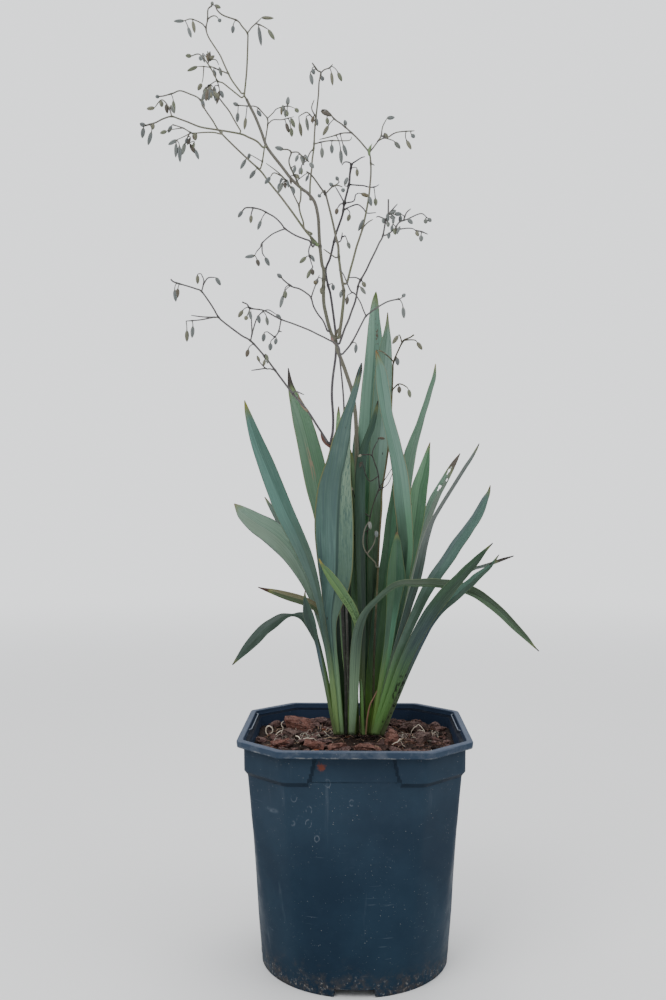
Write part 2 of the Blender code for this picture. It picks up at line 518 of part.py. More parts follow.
SPRAYS = [
    Spray("flower_stem_main", [(7, 178.6), (6, 250), (4, 300), (2.5, 350), (1.8, 400), (1.5, 420), (0.8, 439),
          (-1.7, 457), (-5, 468), (-9.5, 481), (-13.7, 492), (-15.7, 500), (-19, 506), (-21.5, 514), (-23.4, 522),
          (-25, 530), (-25.4, 540), (-25.2, 557), (-26.7, 563), (-28.3, 577.5), (-28.8, 585), (-29.2, 593),
          (-29.8, 601.5), (-32.5, 613), (-38, 620.5), (-43.3, 624.5), (-51.7, 632.5), (-59, 642), (-68.4, 654),
          (-72.5, 660.5), (-76, 670.5), (-81, 683), (-86, 693), (-88.4, 698)], (-1.4, 3), (1.75, 0.8),
          [([(-15.7, 500), (-14, 502.6)], -1), ([(-28.3, 577.5), (-33, 580), (-36.5, 584)], -1)],
          [(-27, 543.5, -27, 538.5), (-30.3, 550.5, -31.7, 546)], OLIVE),
    Spray("flower_stem_second", [(-7, 178.6), (-7, 220), (-9, 260), (-11, 300), (-14, 340), (-17, 380), (-19.5, 413),
          (-17.9, 425.5), (-17.5, 437), (-18.5, 454), (-18.3, 463), (-17.5, 472), (-15.4, 488), (-15.3, 503),
          (-17, 519), (-19.7, 538), (-22, 546.7), (-23.5, 558), (-20, 567.5), (-17.5, 578), (-15, 588), (-10, 602.5),
          (-8.3, 612.5), (-4.6, 627.5), (-3.8, 636), (-2.5, 644.3)], (-3.2, 19), (1.25, 0.6),
          [([(-2.5, 644.3), (-5, 645.8), (-8.3, 645.8), (-10.4, 643.3)], 4),
           ([(-2.5, 644.3), (1.7, 647), (5.8, 649.5), (8.6, 650.2)], -3),
           ([(-4.6, 627.5), (1.7, 627), (7.5, 626.5), (12.5, 625.2), (16.7, 625.6), (20, 627.3)], 12),
           ([(-8.3, 612.5), (-11.7, 619), (-15.8, 626)], 6), ([(-8.3, 612.5), (-11.7, 611.5), (-13.3, 609)], -4),
           ([(-9, 606), (-4.2, 609.2), (2.5, 611.2), (7.5, 607.5), (10, 604.2), (17.5, 604.5)], 10),
           ([(-8.3, 612.5), (-0.8, 614), (0.8, 619), (3.3, 620.5)], -6),
           ([(-16.5, 581), (-12, 581), (-10.4, 584.7), (-10, 588.5)], -6), ([(-10.4, 584.7), (-7.5, 585.8)], 2)],
          [(2, 640, 2.2, 634.5), (-8, 627.5, -6, 633), (16.9, 616, 17.3, 610.5), (-14.2, 608, -15, 603.5),
           (-4, 603, -5.4, 598), (5.5, 620, 11.5, 617.8), (-5.6, 580.5, -4, 575.5), (-17.8, 546, -17.3, 541.5)], DARK),
    Spray("flower_stem_third", [(-2, 178.8), (-4.5, 220), (-6, 260), (-7, 300), (-8, 340), (-8, 380), (-8.2, 420),
          (-8.7, 446), (-9.7, 462), (-11.2, 477), (-12, 484), (-13.2, 495.5), (-22.6, 501.6), (-30, 505.3),
          (-37.2, 508.9), (-50, 514), (-59.8, 517.5), (-66.3, 520.8), (-70.5, 523.3), (-75.5, 525.4), (-85.6, 527),
          (-87.7, 530), (-92, 532)], (-5.8, -26), (1.05, 0.5),
          [([(-59.8, 517.5), (-62, 508), (-65, 503.5), (-68, 500.5)], -4), ([(-62, 508), (-59.5, 507.5)], 2),
           ([(-65, 503.5), (-71, 507.5)], -5)],
          [(-74, 506, -74.7, 500), (-68.7, 498, -69, 492.7), (-64, 502, -64.8, 497.5), (-91.5, 525, -94.8, 520),
           (-86, 524, -84.5, 518), (-88, 520.5, -89.4, 517.5)], DARK),
    Spray("spray_pale_centre", [(-12.6, 503.4), (-11.7, 510), (-10.6, 517.5), (-8.8, 535), (-8.8, 541), (-9.5, 545),
          (-11, 554), (-12.9, 569), (-13.3, 577), (-15.4, 585.7), (-18.3, 599), (-22.5, 615.8), (-23.8, 619.5),
          (-28.3, 626), (-32.5, 632), (-35.8, 636), (-39.4, 638.4)], (0.6, -22), (1.4, 0.5),
          [([(-23.8, 619.5), (-18.3, 625.8), (-15, 627.5), (-12.5, 629.5)], -8),
           ([(-18.3, 625.8), (-14, 627), (-9.8, 625.5)], 4),
           ([(-23.8, 619.5), (-24.2, 623), (-26.3, 621.5), (-28, 619.5)], -4),
           ([(-12.9, 569), (-15.5, 568), (-19.7, 571), (-25.4, 575)], -8)],
          [(-17.5, 626.7, -20.5, 628.7), (-13.3, 631, -15, 634), (-9.8, 624.5, -9, 621.5), (-28, 619.5, -29.5, 617.5),
           (-11, 540.5, -11.5, 535.5)], OLIVE),
    Spray("spray_centre_right", [(-6, 547.4), (-3.4, 558), (-0.9, 567), (1.6, 576.5), (4.1, 584), (6.6, 592),
          (9.6, 605.6), (11.8, 619), (12.6, 627), (13.3, 636), (13.2, 645), (12, 653), (7.7, 659), (2.5, 665),
          (-2.7, 670), (-10, 676.5), (-16.3, 681), (-22.5, 688), (-26.7, 688.5)], (-5, 4), (0.95, 0.45),
          [([(12, 653), (16, 658.5), (19.2, 663), (21.6, 667), (22.9, 674.5), (26.5, 681.5)], -14),
           ([(21.6, 667), (26.5, 665.7), (31.7, 668.8), (37, 670.3), (48.9, 671)], -8),
           ([(19.2, 663), (24.4, 665.2), (30.7, 663.5)], 6), ([(13.2, 645), (16.3, 643)], 2),
           ([(6.6, 592), (10.8, 596.5), (15, 599)], 6), ([(-2.7, 670), (-10, 669.5), (-18.4, 667), (-28.8, 664.5)], 8)],
          [(26.5, 681.5, 32.2, 682), (25, 669, 26.3, 665.5), (42.5, 663, 45.8, 656.5), (46.5, 668, 48.8, 665.5),
           (32.8, 662, 36.8, 657), (-7, 676, -8, 680), (-27, 687, -19, 684), (-22.5, 682, -22, 677),
           (-21.5, 675.5, -25.5, 668.5), (-9.3, 660, -6.5, 651.5), (-11.4, 655.5, -10.8, 645.5),
           (12, 617.5, 13.5, 610.5), (7.5, 599, 3.5, 590.5)], OLIVE),
    Spray("spray_right", [(-12, 498.6), (-8, 510), (-5, 516.7), (-2.2, 524.7), (0.7, 532.7), (3, 545), (5, 549.5),
          (9.5, 557.5), (13, 565), (17.5, 574), (20, 579.5), (23, 585.3), (25.5, 598.4), (27.3, 602), (27.6, 615.5)],
          (-4.5, -34), (0.95, 0.45),
          [([(23, 585.3), (27, 586.7), (33, 591), (37.2, 591), (43, 591.6), (47.4, 591.2), (49.6, 589.8)], -10),
           ([(33, 591), (36.5, 596.5), (43, 599), (51, 602.7), (55.4, 603.3), (59, 600)], 8),
           ([(40.3, 598), (42.3, 604.2), (46, 607.5)], 3), ([(25.5, 598.4), (19.7, 601.3), (17.5, 600.6)], 4),
           ([(27.3, 602), (31, 607), (35, 611.5)], -4), ([(49.6, 589.8), (55, 588.6), (59.8, 586.5)], 2),
           ([(5, 549.5), (1, 551.6), (-5, 551.5)], -5)],
          [(32.8, 603, 37.8, 603.5), (28.5, 604, 33.5, 606), (29, 601, 33, 600), (27, 597, 27.5, 593),
           (32, 591.5, 33.3, 586.7), (50, 589, 52, 585.3), (54.2, 585.6, 54.2, 581), (60, 599.5, 62.3, 597),
           (57.8, 599, 58, 595.5), (37.5, 602, 37, 596.5), (43.5, 599, 47, 595.5), (6.6, 548, 8.7, 544),
           (5, 543.7, 8.7, 538.5)], DARK),
    Spray("spray_low_right", [(-9.2, 489.8), (-3.6, 496.5), (0.7, 503.8), (6.6, 515.4), (9.1, 519.8), (12.4, 522.7),
          (17.5, 526.4), (23.3, 530), (28.4, 532.3), (36.4, 534)], (-9.5, -22), (0.8, 0.45),
          [([(9.1, 519.8), (7.3, 524.8), (4.4, 532), (-0.7, 539), (-5.8, 537.2)], -10),
           ([(-0.7, 539), (-3.6, 541.5), (-9.5, 555), (-13, 558)], 2)],
          [(39, 535.5, 41.2, 538), (39.5, 527, 40.2, 519), (-5.9, 536, -6.3, 530), (1.3, 497, 0.8, 490.5)], DARK),
    Spray("spray_low_left", [(-22.4, 508.4), (-25.5, 516), (-30, 522), (-33.5, 528.3), (-35.7, 535.5), (-39.7, 539.3),
          (-45.3, 542.7), (-51.2, 544.5), (-57.9, 549.7), (-59.6, 551.8)], (-3, -36), (0.75, 0.45),
          [([(-35.7, 535.5), (-33.5, 541.3), (-28.8, 553.7)], 10)],
          [(-59.6, 551.8, -62.9, 554.7), (-58.5, 537, -60.7, 528), (-57, 541, -56.5, 535.3), (-31, 546.5, -33, 549)],
          DARK),
    Spray("spray_long_left", [(-31.4, 580.4), (-40, 590), (-50, 604), (-60, 617.5), (-70, 630), (-76.7, 639),
          (-86.7, 648.3), (-100, 661), (-111, 672.4), (-116.2, 680.7), (-122.4, 689.8), (-127, 698.5),
          (-135.5, 702.8), (-143, 705.3), (-148.8, 703.3), (-156.4, 701.2), (-160, 700.8)], (6, 52), (1.0, 0.45), [],
          [(-160, 700.8, -163, 700.5), (-148.5, 697, -147.8, 687.5), (-125, 698, -123.4, 691),
           (-81.3, 639.5, -85.5, 633.5)], OLIVE),
    Spray("spray_left_small", [(-34.6, 577.4), (-36.7, 581.7), (-40, 583), (-48.3, 586.3), (-56.7, 591.7),
          (-60, 596), (-65, 601), (-70.4, 604.2), (-76.7, 607.5), (-83.3, 609), (-89.2, 609), (-91.7, 606.5)],
          (-3, -24), (0.75, 0.45),
          [([(-56.7, 591.7), (-61.7, 590), (-68.3, 586.7), (-75.8, 580), (-76.9, 577), (-80, 573.3), (-81.7, 570)], -12),
           ([(-75.8, 580), (-75.4, 572.5), (-73, 568.3)], 5), ([(-83.3, 609), (-84.5, 604), (-85, 599)], -3),
           ([(-35.5, 580), (-37.5, 573.5), (-36, 566), (-34, 560)], -6)],
          [(-91.7, 606.5, -95, 601.7), (-84.5, 603, -85, 597), (-76.5, 598.5, -79, 591.7), (-81.7, 570, -89, 568.7),
           (-79.8, 566.7, -78.3, 561.7), (-73, 568.3, -70, 562), (-39.7, 568.5, -44.5, 564), (-36, 558, -38.7, 551.5),
           (-34.6, 558.5, -34, 554), (-35.5, 570, -33, 565)], DARK),
    Spray("spray_upper_middle", [(-35.4, 588), (-40.8, 591.4), (-42, 597.5), (-44.2, 604), (-45.4, 610.8),
          (-44.2, 615), (-43.9, 622.5), (-45.5, 627.5), (-53.4, 645), (-51.8, 653.7), (-54.2, 656.3), (-58.3, 656.7)],
          (-6, -30), (0.8, 0.45),
          [([(-45.4, 610.8), (-50, 620), (-53.3, 627.5), (-59, 634.5), (-64.2, 639.3), (-72.5, 645.5)], -10),
           ([(-51.8, 653.7), (-46.7, 654.3), (-44, 652), (-37, 646)], -6), ([(-59, 634.5), (-65.8, 637.5), (-69, 634)], 3)],
          [(-58.3, 656.7, -64.5, 658.3), (-69, 634, -73, 629), (-58.8, 629, -62.3, 621.5), (-51, 626, -49.5, 620.5),
           (-48, 636, -45.5, 633), (-36.5, 645.5, -33.7, 641.5), (-44, 651, -41, 646)], OLIVE),
    Spray("spray_upper_right", [(-36.4, 615.9), (-36.3, 628.3), (-35, 640.8), (-34.6, 647.5), (-33.3, 657.5),
          (-32.7, 669), (-31.9, 679), (-29.6, 700), (-29, 711), (-27.5, 719), (-30.3, 721), (-34.5, 727)],
          (10, 34), (0.8, 0.45),
          [([(-33.3, 657.5), (-36.7, 653.3), (-38.8, 647.5)], 4),
           ([(-27.5, 719), (-24.6, 721.5), (-20.4, 723), (-17.8, 726)], -8),
           ([(-31.9, 679), (-38.2, 686.5), (-42.3, 685.5), (-45.5, 683.5)], 8), ([(-31.5, 683), (-35, 690), (-33, 697)], -5),
           ([(-33, 660.5), (-26.7, 662.5), (-19.4, 663.5), (-4.8, 663.5), (-2.2, 666.5)], 16)],
          [(-34.5, 722, -33, 718), (-36, 718, -34.5, 710), (-13.5, 719, -10.7, 712.5), (-19, 719, -18, 709.5),
           (-26.5, 716, -26, 712.5), (-45, 678, -43.5, 668), (-39.5, 682, -38, 672.5), (-26.7, 657.5, -26.5, 650),
           (-18.7, 660, -18.5, 653.5)], OLIVE),
    Spray("spray_top_centre", [(-76.6, 642), (-75.4, 646.7), (-73.8, 657.5), (-72.9, 664.3), (-71, 677),
          (-71.3, 682), (-73.4, 684.7), (-80, 691.5), (-87.6, 692.3), (-95.2, 693)], (24, 12), (0.7, 0.42),
          [([(-71.3, 682), (-66.7, 686.5), (-63.3, 690), (-54.8, 692), (-48.5, 690)], -10),
           ([(-71, 677), (-66.7, 680.8), (-59.2, 681), (-49.6, 683.3)], -6),
           ([(-75.4, 646.7), (-81.7, 650.5), (-86, 653)], 8)],
          [(-95.2, 693, -99, 694.8), (-95.5, 686.7, -96, 679.8), (-89, 682.5, -90, 674), (-79.5, 688.5, -76.7, 684),
           (-48.5, 690, -46, 687), (-52, 682, -49.2, 675), (-56, 678, -54, 671), (-52, 674, -51.3, 667.5),
           (-54.8, 693, -54.2, 699), (-86, 653.5, -86.5, 649.5), (-89, 648.5, -93, 641.5)], OLIVE),
    Spray("spray_top_right", [(-90.1, 702), (-89, 712.5), (-88, 725), (-87.3, 746), (-87.7, 752), (-92, 757.5),
          (-96, 762.3), (-107, 766.5), (-112, 770.5), (-114, 775)], (0, -16), (0.75, 0.45),
          [([(-87.7, 752), (-84.3, 756.5), (-80.5, 760), (-76, 764.5)], 10),
           ([(-80.5, 760), (-76, 758), (-71.7, 755.5)], -4)],
          [(-99.3, 758, -99.8, 752.5), (-76, 764.5, -67, 764), (-70.5, 754.5, -65.9, 747), (-78.5, 757, -76.5, 743)],
          OLIVE),
    Spray("spray_top_left", [(-93, 703.4), (-100, 713), (-103.2, 719), (-107, 727.3), (-110, 734), (-114.5, 741),
          (-119.5, 749), (-121.6, 756), (-120.3, 763.3), (-120, 771.5), (-117, 774.6)], (10, 30), (0.75, 0.45),
          [([(-121.6, 756), (-125.4, 760.5), (-133.8, 764), (-139.7, 762.5)], -10),
           ([(-120.3, 763.3), (-117, 766), (-113.7, 766.2), (-111.2, 763.7)], 4),
           ([(-103.2, 719), (-106, 720), (-115.3, 724), (-119.5, 726), (-119, 730), (-113.6, 730.4), (-111, 726)], 12)],
          [(-116.5, 775.2, -116.5, 778), (-114.5, 775, -110, 773), (-139.7, 762.5, -147.3, 762.3),
           (-132.5, 762, -131, 753.5), (-136.3, 757, -134, 749.5), (-111.2, 763.7, -109.7, 761.5),
           (-110.6, 724, -109, 717.5), (-115.3, 722, -114, 716.5), (-119, 731, -115, 733.5)], OLIVE),
    Spray("spray_top_far_left", [(-93.4, 699.8), (-103.5, 708), (-108, 711.5), (-112.3, 713), (-114.4, 717.5),
          (-120.3, 727.5), (-127, 735), (-133.7, 733.7)], (-6, -20), (0.65, 0.42),
          [([(-112.3, 713), (-115.3, 712), (-120, 708.5)], -3), ([(-112.3, 713), (-111, 708), (-110, 704)], 3),
           ([(-118, 723.6), (-123.6, 725), (-128.7, 725)], 5), ([(-123.6, 725), (-124, 716), (-124.9, 711.5)], 2)],
          [(-133.7, 733.7, -138, 734), (-126, 733.5, -126, 730), (-128.7, 725, -136.3, 721.7),
           (-125.2, 711, -128, 706), (-121, 707, -125, 697), (-120, 706, -121.5, 697.5), (-118, 707, -119.4, 698),
           (-114.6, 708, -114, 697.5), (-110.6, 705, -112.7, 695), (-109.6, 705, -107.7, 699.5)], OLIVE),
    Spray("spray_left_link", [(-93.4, 672.4), (-97.8, 679.8), (-102.4, 688), (-107, 694), (-110.8, 699)],
          (-14, -24), (0.6, 0.45), [], [(-110.8, 699, -115, 704)], OLIVE),
    Spray("spray_left_upper", [(-75.6, 659), (-80, 663.5), (-86.8, 666.8), (-92.7, 669.4), (-106, 672),
          (-115.3, 673.5), (-126.6, 675.6), (-137, 679.8), (-143.8, 682.3), (-150, 684.3), (-157.2, 682.3),
          (-163, 679.4), (-171.5, 677)], (-4, -30), (0.85, 0.45),
          [([(-150, 684.3), (-152.5, 692.3), (-158, 698), (-164, 691.5)], 12), ([(-152.5, 690.5), (-150.5, 693.5)], 2)],
          [(-171.5, 677, -175.7, 678.5), (-173, 675, -174, 667.5), (-165, 678.5, -165.5, 674),
           (-166.5, 671.5, -169, 662), (-154.5, 694, -153.5, 687.5), (-158.5, 697, -158, 692.5),
           (-164, 691.5, -169.8, 690.7), (-150.5, 693.5, -148, 687.5)], OLIVE),
    Spray("spray_left_lower", [(-109.6, 669.6), (-115.3, 670.9), (-122.8, 671), (-130.4, 670.5), (-133.7, 670.7),
          (-140.4, 674.7), (-148.8, 677.5)], (-20, 8), (0.65, 0.42),
          [([(-133.7, 670.7), (-137.9, 668.6), (-145.8, 665)], -8), ([(-133.7, 670.7), (-137, 666.5), (-135.8, 662)], 6),
           ([(-140.4, 674.7), (-147, 674), (-153, 673)], 4)],
          [(-150, 676.5, -152.5, 671.5), (-154, 672.3, -158.9, 670.7), (-145.8, 665, -152, 661.5),
           (-134.6, 661, -131.2, 654.7), (-130.6, 657, -127.8, 649.7), (-132, 670, -129.6, 666.5),
           (-146.2, 662, -146.5, 651.7), (-139, 662, -141, 653.7), (-143.5, 660, -143, 648)], OLIVE),
    Spray("spray_low_far_left", [(-22.2, 417.6), (-24.6, 421.5), (-30.7, 431), (-39.5, 444.5), (-50.3, 456.7),
          (-61.2, 471), (-73.4, 487.3), (-84.8, 500), (-92.4, 504.6), (-105.8, 514.6), (-111.3, 519.6), (-115, 526),
          (-119.2, 532.6), (-125.5, 541), (-130, 543), (-136, 545), (-147.6, 548.5), (-150.6, 551)],
          (4.5, -22), (0.95, 0.45),
          [([(-84.8, 500), (-83, 509), (-79, 520), (-71.4, 525.5), (-63.8, 521.7)], -10),
           ([(-83.7, 506), (-84.4, 518.5), (-84.8, 525)], 5), ([(-125.5, 541), (-123.4, 549.3), (-125.5, 555.2)], 6),
           ([(-123.9, 547), (-120, 551.8), (-113.7, 552.2)], 8), ([(-111.3, 519.6), (-124.2, 520), (-134, 521.3)], -6),
           ([(-115, 519.6), (-126.7, 517.5), (-138, 516.6)], 6), ([(-50.3, 456.7), (-48, 458.8), (-41.2, 456)], -4),
           ([(-65.3, 476.5), (-69, 477.3), (-72.8, 477.8), (-79.5, 485)], -4), ([(-72.8, 477.8), (-84.5, 476)], -1)],
          [(-63.8, 521.7, -60.5, 518), (-72, 519.5, -71, 513.3), (-79, 521, -77.8, 515), (-137.3, 508.7, -137.3, 500.5),
           (-132.4, 512, -133, 503.7), (-147.3, 542, -146.5, 533.5), (-144.7, 543, -145.5, 536),
           (-128.6, 554, -128.5, 547.5), (-113.5, 552, -110, 546.3), (-72.5, 489, -71, 483.7),
           (-87, 493, -88.3, 487.5)], DARK),
    Spray("flower_stem_right_small", [(15.5, 178.8), (15.5, 220), (16.5, 260), (18.5, 300), (20, 335), (22, 362),
          (22.5, 378), (26, 400), (29, 425), (30.3, 449.7), (31.3, 474.7), (31.8, 482.2), (35.7, 492), (40, 500),
          (45.2, 502.5), (48.5, 504.8)], (-1.8, -3), (0.95, 0.45),
          [([(40, 500), (45.6, 500.6), (49.6, 500.2), (51, 498.5)], 6), ([(38.6, 498.4), (36.8, 504.4), (35.4, 504)], -4),
           ([(31.8, 482.2), (28, 486.7), (22.6, 491), (18.2, 492)], -26),
           ([(31.3, 460), (36.2, 464.6), (42, 462.5), (44, 460)], -6)],
          [(51, 498.5, 54.7, 493), (35.4, 504, 31.3, 498), (34.5, 486, 35.3, 480.3), (36.3, 462.5, 36.5, 457.5),
           (44, 460, 45.3, 454)], DARK),
    Spray("spray_inner_dark", [(20.4, 380.6), (18.9, 393), (16.4, 400.5), (13.9, 406.5), (8.9, 407), (5.6, 407)],
          (-7.5, -20), (0.55, 0.42),
          [([(13.9, 406.5), (15.5, 412), (19.3, 419)], 2), ([(18.9, 389), (11.4, 386), (6, 402)], -3)],
          [(20, 420.6, 24.5, 420), (5.6, 407, 3.2, 405.4), (5.4, 401, 4.3, 397)], DARK),
    Spray("spray_inner_pale", [(17.6, 316), (16.4, 319.5), (10.6, 325.5), (7, 333.7), (8, 345), (11.4, 352)],
          (-9.5, -19), (0.5, 0.42), [([(10.6, 325.5), (16, 335), (17.5, 345)], -1)],
          [(12, 352.5, 13, 346.5), (17.5, 345, 18, 340)], OLIVE),
]


def stem_path(points, start, end):
    """(x, z, y) rows of a line whose depth changes evenly from start to end."""
    line = np.array(points, float)
    run = np.concatenate([[0], np.cumsum(np.linalg.norm(np.diff(line, axis=0), axis=1))])
    return np.column_stack([line, start + (end - start) * run / run[-1]])


def tidy_line(points, tolerance=1.0):
    """Leave out points of a drawn line that stray less than the tolerance from a straight run."""
    if len(points) < 3:
        return list(points)
    a, b = np.array(points[0], float), np.array(points[-1], float)
    run = (b - a) / np.linalg.norm(b - a)
    off = [abs(float(np.cross(run, np.array(p, float) - a))) for p in points[1:-1]]
    worst = int(np.argmax(off)) + 1
    if off[worst - 1] < tolerance:
        return [points[0], points[-1]]
    return tidy_line(points[: worst + 1], tolerance)[:-1] + tidy_line(points[worst:], tolerance)


def nearest_on(lines, x, z):
    """Nearest point (x, z, y) on the drawn lines to (x, z), how far off it is, and whose free end it is."""
    best = None
    for number, line in enumerate(lines):
        for i, (a, b) in enumerate(zip(line[:-1], line[1:])):
            run = b[:2] - a[:2]
            share = float(np.clip(np.dot((x, z) - a[:2], run) / max(np.dot(run, run), 1e-9), 0, 1))
            point = a + share * (b - a)
            gap = math.dist(point[:2], (x, z))
            if best is None or gap < best[1]:
                at_end = i == len(line) - 2 and math.dist(point[:2], b[:2]) < 0.8
                best = (point, gap, number if at_end else None)
    return best


def spray_tubes(spray):
    """Lines of a spray as [rows of x, z, y; radii]: the stem, the twigs, then each bud on its bent stalk.

    A bud that is nearest to a free end continues that line; any other bud has a line of its own.
    """
    stem = stem_path(tidy_line(spray.stem), *spray.depth)
    share = np.linspace(0, 1, len(stem)) ** 0.8
    tubes = [[stem, spray.radius[0] + (spray.radius[1] - spray.radius[0]) * share]]
    lines = [stem]
    for points, change in spray.twigs:
        root = nearest_on(lines, *points[0])[0]
        line = stem_path([tuple(root[:2])] + tidy_line(points)[1:], root[2], root[2] + change)
        lines.append(line)
        tubes.append([line, np.linspace(TWIG_RADIUS, TWIG_RADIUS * 0.9, len(line))])
    used = set()
    for ax, az, bx, bz in spray.buds:
        root, gap, end = nearest_on(lines, ax, az)
        rows, radii = [], []
        if gap > 6.0:
            rows.append(((root[0] + ax) / 2 + 0.1 * (az - root[1]), (root[1] + az) / 2 + 0.18 * gap, root[2]))
            radii.append(STALK_RADIUS)
        if gap > 2.2:
            rows.append((ax, az, root[2]))
            radii.append(STALK_RADIUS)
        for along, radius in BUD_PROFILE:
            rows.append((ax + (bx - ax) * along, az + (bz - az) * along, root[2]))
            radii.append(radius)
        if end is None or end in used:
            tubes.append([np.array([tuple(root)] + rows), np.array([STALK_RADIUS] + radii)])
            continue
        used.add(end)
        tubes[end] = [np.vstack([tubes[end][0], rows]), np.concatenate([tubes[end][1], radii])]
    return tubes


def tube(line, radii, sides=4, spin=0.5):
    """Points and faces of a closed tube along space points, its ring turned as little as possible.

    spin turns every ring by a share of one side, so that no two tubes that meet have faces in one plane.
    """
    verts, faces = [], []
    line = np.array([seen(*row) for row in line])
    way = np.gradient(line, axis=0)
    way /= np.linalg.norm(way, axis=1)[:, None]
    side = np.cross(way[0], (0.13, 0.99, 0.05))
    for i, (point, ahead, radius) in enumerate(zip(line, way, radii)):
        side = side - ahead * np.dot(side, ahead)
        side /= np.linalg.norm(side)
        up = np.cross(ahead, side)
        for j in range(sides):
            a = 2 * math.pi * (j + spin) / sides
            verts.append(point + radius * (math.cos(a) * side + math.sin(a) * up))
        if i:
            for j in range(sides):
                k = (j + 1) % sides
                b = (i - 1) * sides
                faces.append([b + j, b + k, b + sides + k, b + sides + j])
    faces.append(list(range(sides))[::-1])
    faces.append([(len(line) - 1) * sides + j for j in range(sides)])
    return verts, faces


def straighter(line, radii):
    """The line cut in two wherever it bends by more than 70 degrees, the pieces overlapping there."""
    way = np.diff(line, axis=0)
    way /= np.linalg.norm(way, axis=1)[:, None]
    for i in range(1, len(line) - 1):
        if np.dot(way[i - 1], way[i]) < 0.34:
            first = line[: i + 1].copy()
            first[-1] += 0.25 * way[i - 1]
            rest = line[i:].copy()
            rest[0] -= 0.2 * way[i]
            ends = radii[i:].copy()
            ends[0] = min(ends[0] * 0.93, STALK_RADIUS)
            return [(first, radii[: i + 1])] + straighter(rest, ends)
    return [(line, radii)]


def build_spray(spray, group, tools):
    """Stem tube joined with the tubes of its twigs and buds."""
    tubes = [piece for line, radii in spray_tubes(spray) for piece in straighter(line, radii)]
    paint = material(f"{spray.name} stalk", spray.rgb, 0.6)
    verts, faces = tube(*tubes[0])
    obj = object_from(spray.name, verts, faces, group, paint)
    others, shells = [], []
    for number, (line, radii) in enumerate(tubes[1:]):
        back = (line[0] - line[1]) / np.linalg.norm(line[0] - line[1])
        line[0] += back * (0.12 + 0.05 * (number % 4))
        more, sides = tube(line, radii * (1 + 0.017 * (number % 7)), 3, 0.37 + 0.211 * number)
        shells += [[k + len(others) for k in face] for face in sides]
        others += more
    if others:
        twigs = object_from(f"{spray.name} twigs", others, shells, tools)
        boolean(obj, twigs, "UNION")
        obj.modifiers[-1].use_self = True
    return obj


def main():
    """Build every piece of the potted plant."""
    clear_scene()
    plant = collection("potted flax lily")
    tools = collection("cutters", hidden=True)
    build_pot(plant, tools)
    build_soil(plant)
    for i, chip in enumerate(CHIPS):
        build_chip(chip, plant, 40 + i)
    for leaf in LEAVES:
        build_leaf(leaf, plant)
    for spray in SPRAYS:
        build_spray(spray, plant, tools)


main()
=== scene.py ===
"""Potted flax lily, dressed for rendering: leaves, flower stems, nursery pot, soil and bark.

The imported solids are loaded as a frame. Every piece is modelled here in finer detail, in the place of
its solid. Leaf and stem points are stated in millimetres as the front view shows them, from a viewing
point 826 mm in front of the pot's middle and 370 mm up, each with its own depth.
"""

import logging
import math
from dataclasses import dataclass, field
from enum import Enum
from functools import lru_cache
from typing import Any

import bmesh
import bpy
import numpy as np
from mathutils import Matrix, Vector, noise

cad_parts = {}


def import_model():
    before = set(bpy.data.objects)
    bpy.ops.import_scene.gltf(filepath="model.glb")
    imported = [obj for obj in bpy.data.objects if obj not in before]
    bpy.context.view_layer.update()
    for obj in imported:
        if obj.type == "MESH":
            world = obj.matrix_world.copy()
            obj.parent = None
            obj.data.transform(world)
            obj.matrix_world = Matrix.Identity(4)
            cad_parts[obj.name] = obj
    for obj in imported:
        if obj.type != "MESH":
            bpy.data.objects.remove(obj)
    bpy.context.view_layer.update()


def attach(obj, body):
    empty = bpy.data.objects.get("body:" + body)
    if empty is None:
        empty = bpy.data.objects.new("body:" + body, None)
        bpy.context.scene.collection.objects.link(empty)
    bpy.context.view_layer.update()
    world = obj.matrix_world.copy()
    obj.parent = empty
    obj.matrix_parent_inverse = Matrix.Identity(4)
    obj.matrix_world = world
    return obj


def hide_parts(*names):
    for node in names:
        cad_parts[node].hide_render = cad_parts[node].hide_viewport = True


log = logging.getLogger("flax_lily")

MM = 0.001
VIEW_DISTANCE = 826.0
VIEW_HEIGHT = 370.0
FOOT = 178.4
BODY = "root"
FULL_TURN = 2 * math.pi
TINY = 1e-9


class Slot(Enum):
    """Material slots of the record."""

    POT = "pot plastic"
    SOIL = "soil"
    BARK = "bark"
    LEAF = "leaf"
    STEM = "flower stem"


# Colours

Colour = tuple[float, float, float, float]
PIGMENT_GAIN = 0.62


def linear(hex_colour: str) -> Colour:
    """Linear RGBA of an sRGB hex colour.

    Args:
        hex_colour: colour such as "#4f7a70".

    Returns:
        Four floats; c / 12.92 up to 0.04045, else ((c + 0.055) / 1.055) ** 2.4, and an opacity of 1.
    """
    shares = [int(hex_colour[at : at + 2], 16) / 255.0 for at in (1, 3, 5)]
    return (*(c / 12.92 if c <= 0.04045 else ((c + 0.055) / 1.055) ** 2.4 for c in shares), 1.0)


def pigment(hex_colour: str) -> Colour:
    """Base colour that looks like the sRGB colour under this studio light: its linear value times a gain."""
    return (*(PIGMENT_GAIN * c for c in linear(hex_colour)[:3]), 1.0)


def scale_of(*sizes_mm: float) -> Any:
    """Scale of a pattern in metres for cells of some sizes.

    Args:
        *sizes_mm: size, or the size along each axis.

    Returns:
        1 / (size in metres), as a number for one size and as a tuple for more.
    """
    scales = tuple(1.0 / (size * MM) for size in sizes_mm)
    return scales if len(scales) > 1 else scales[0]


def on_blade(across_mm: float, along_mm: float) -> tuple[float, float, float]:
    """Scale of a pattern on a blade, whose map is in mm, for cells of some size across and along."""
    return 1.0 / across_mm, 1.0 / along_mm, 1.0


# Nodes

RANGE = ("Value", "From Min", "From Max", "To Min", "To Max")
# Bands of scale 1 repeat after 2 pi / 20 units
BAND_SCALE = FULL_TURN / 20


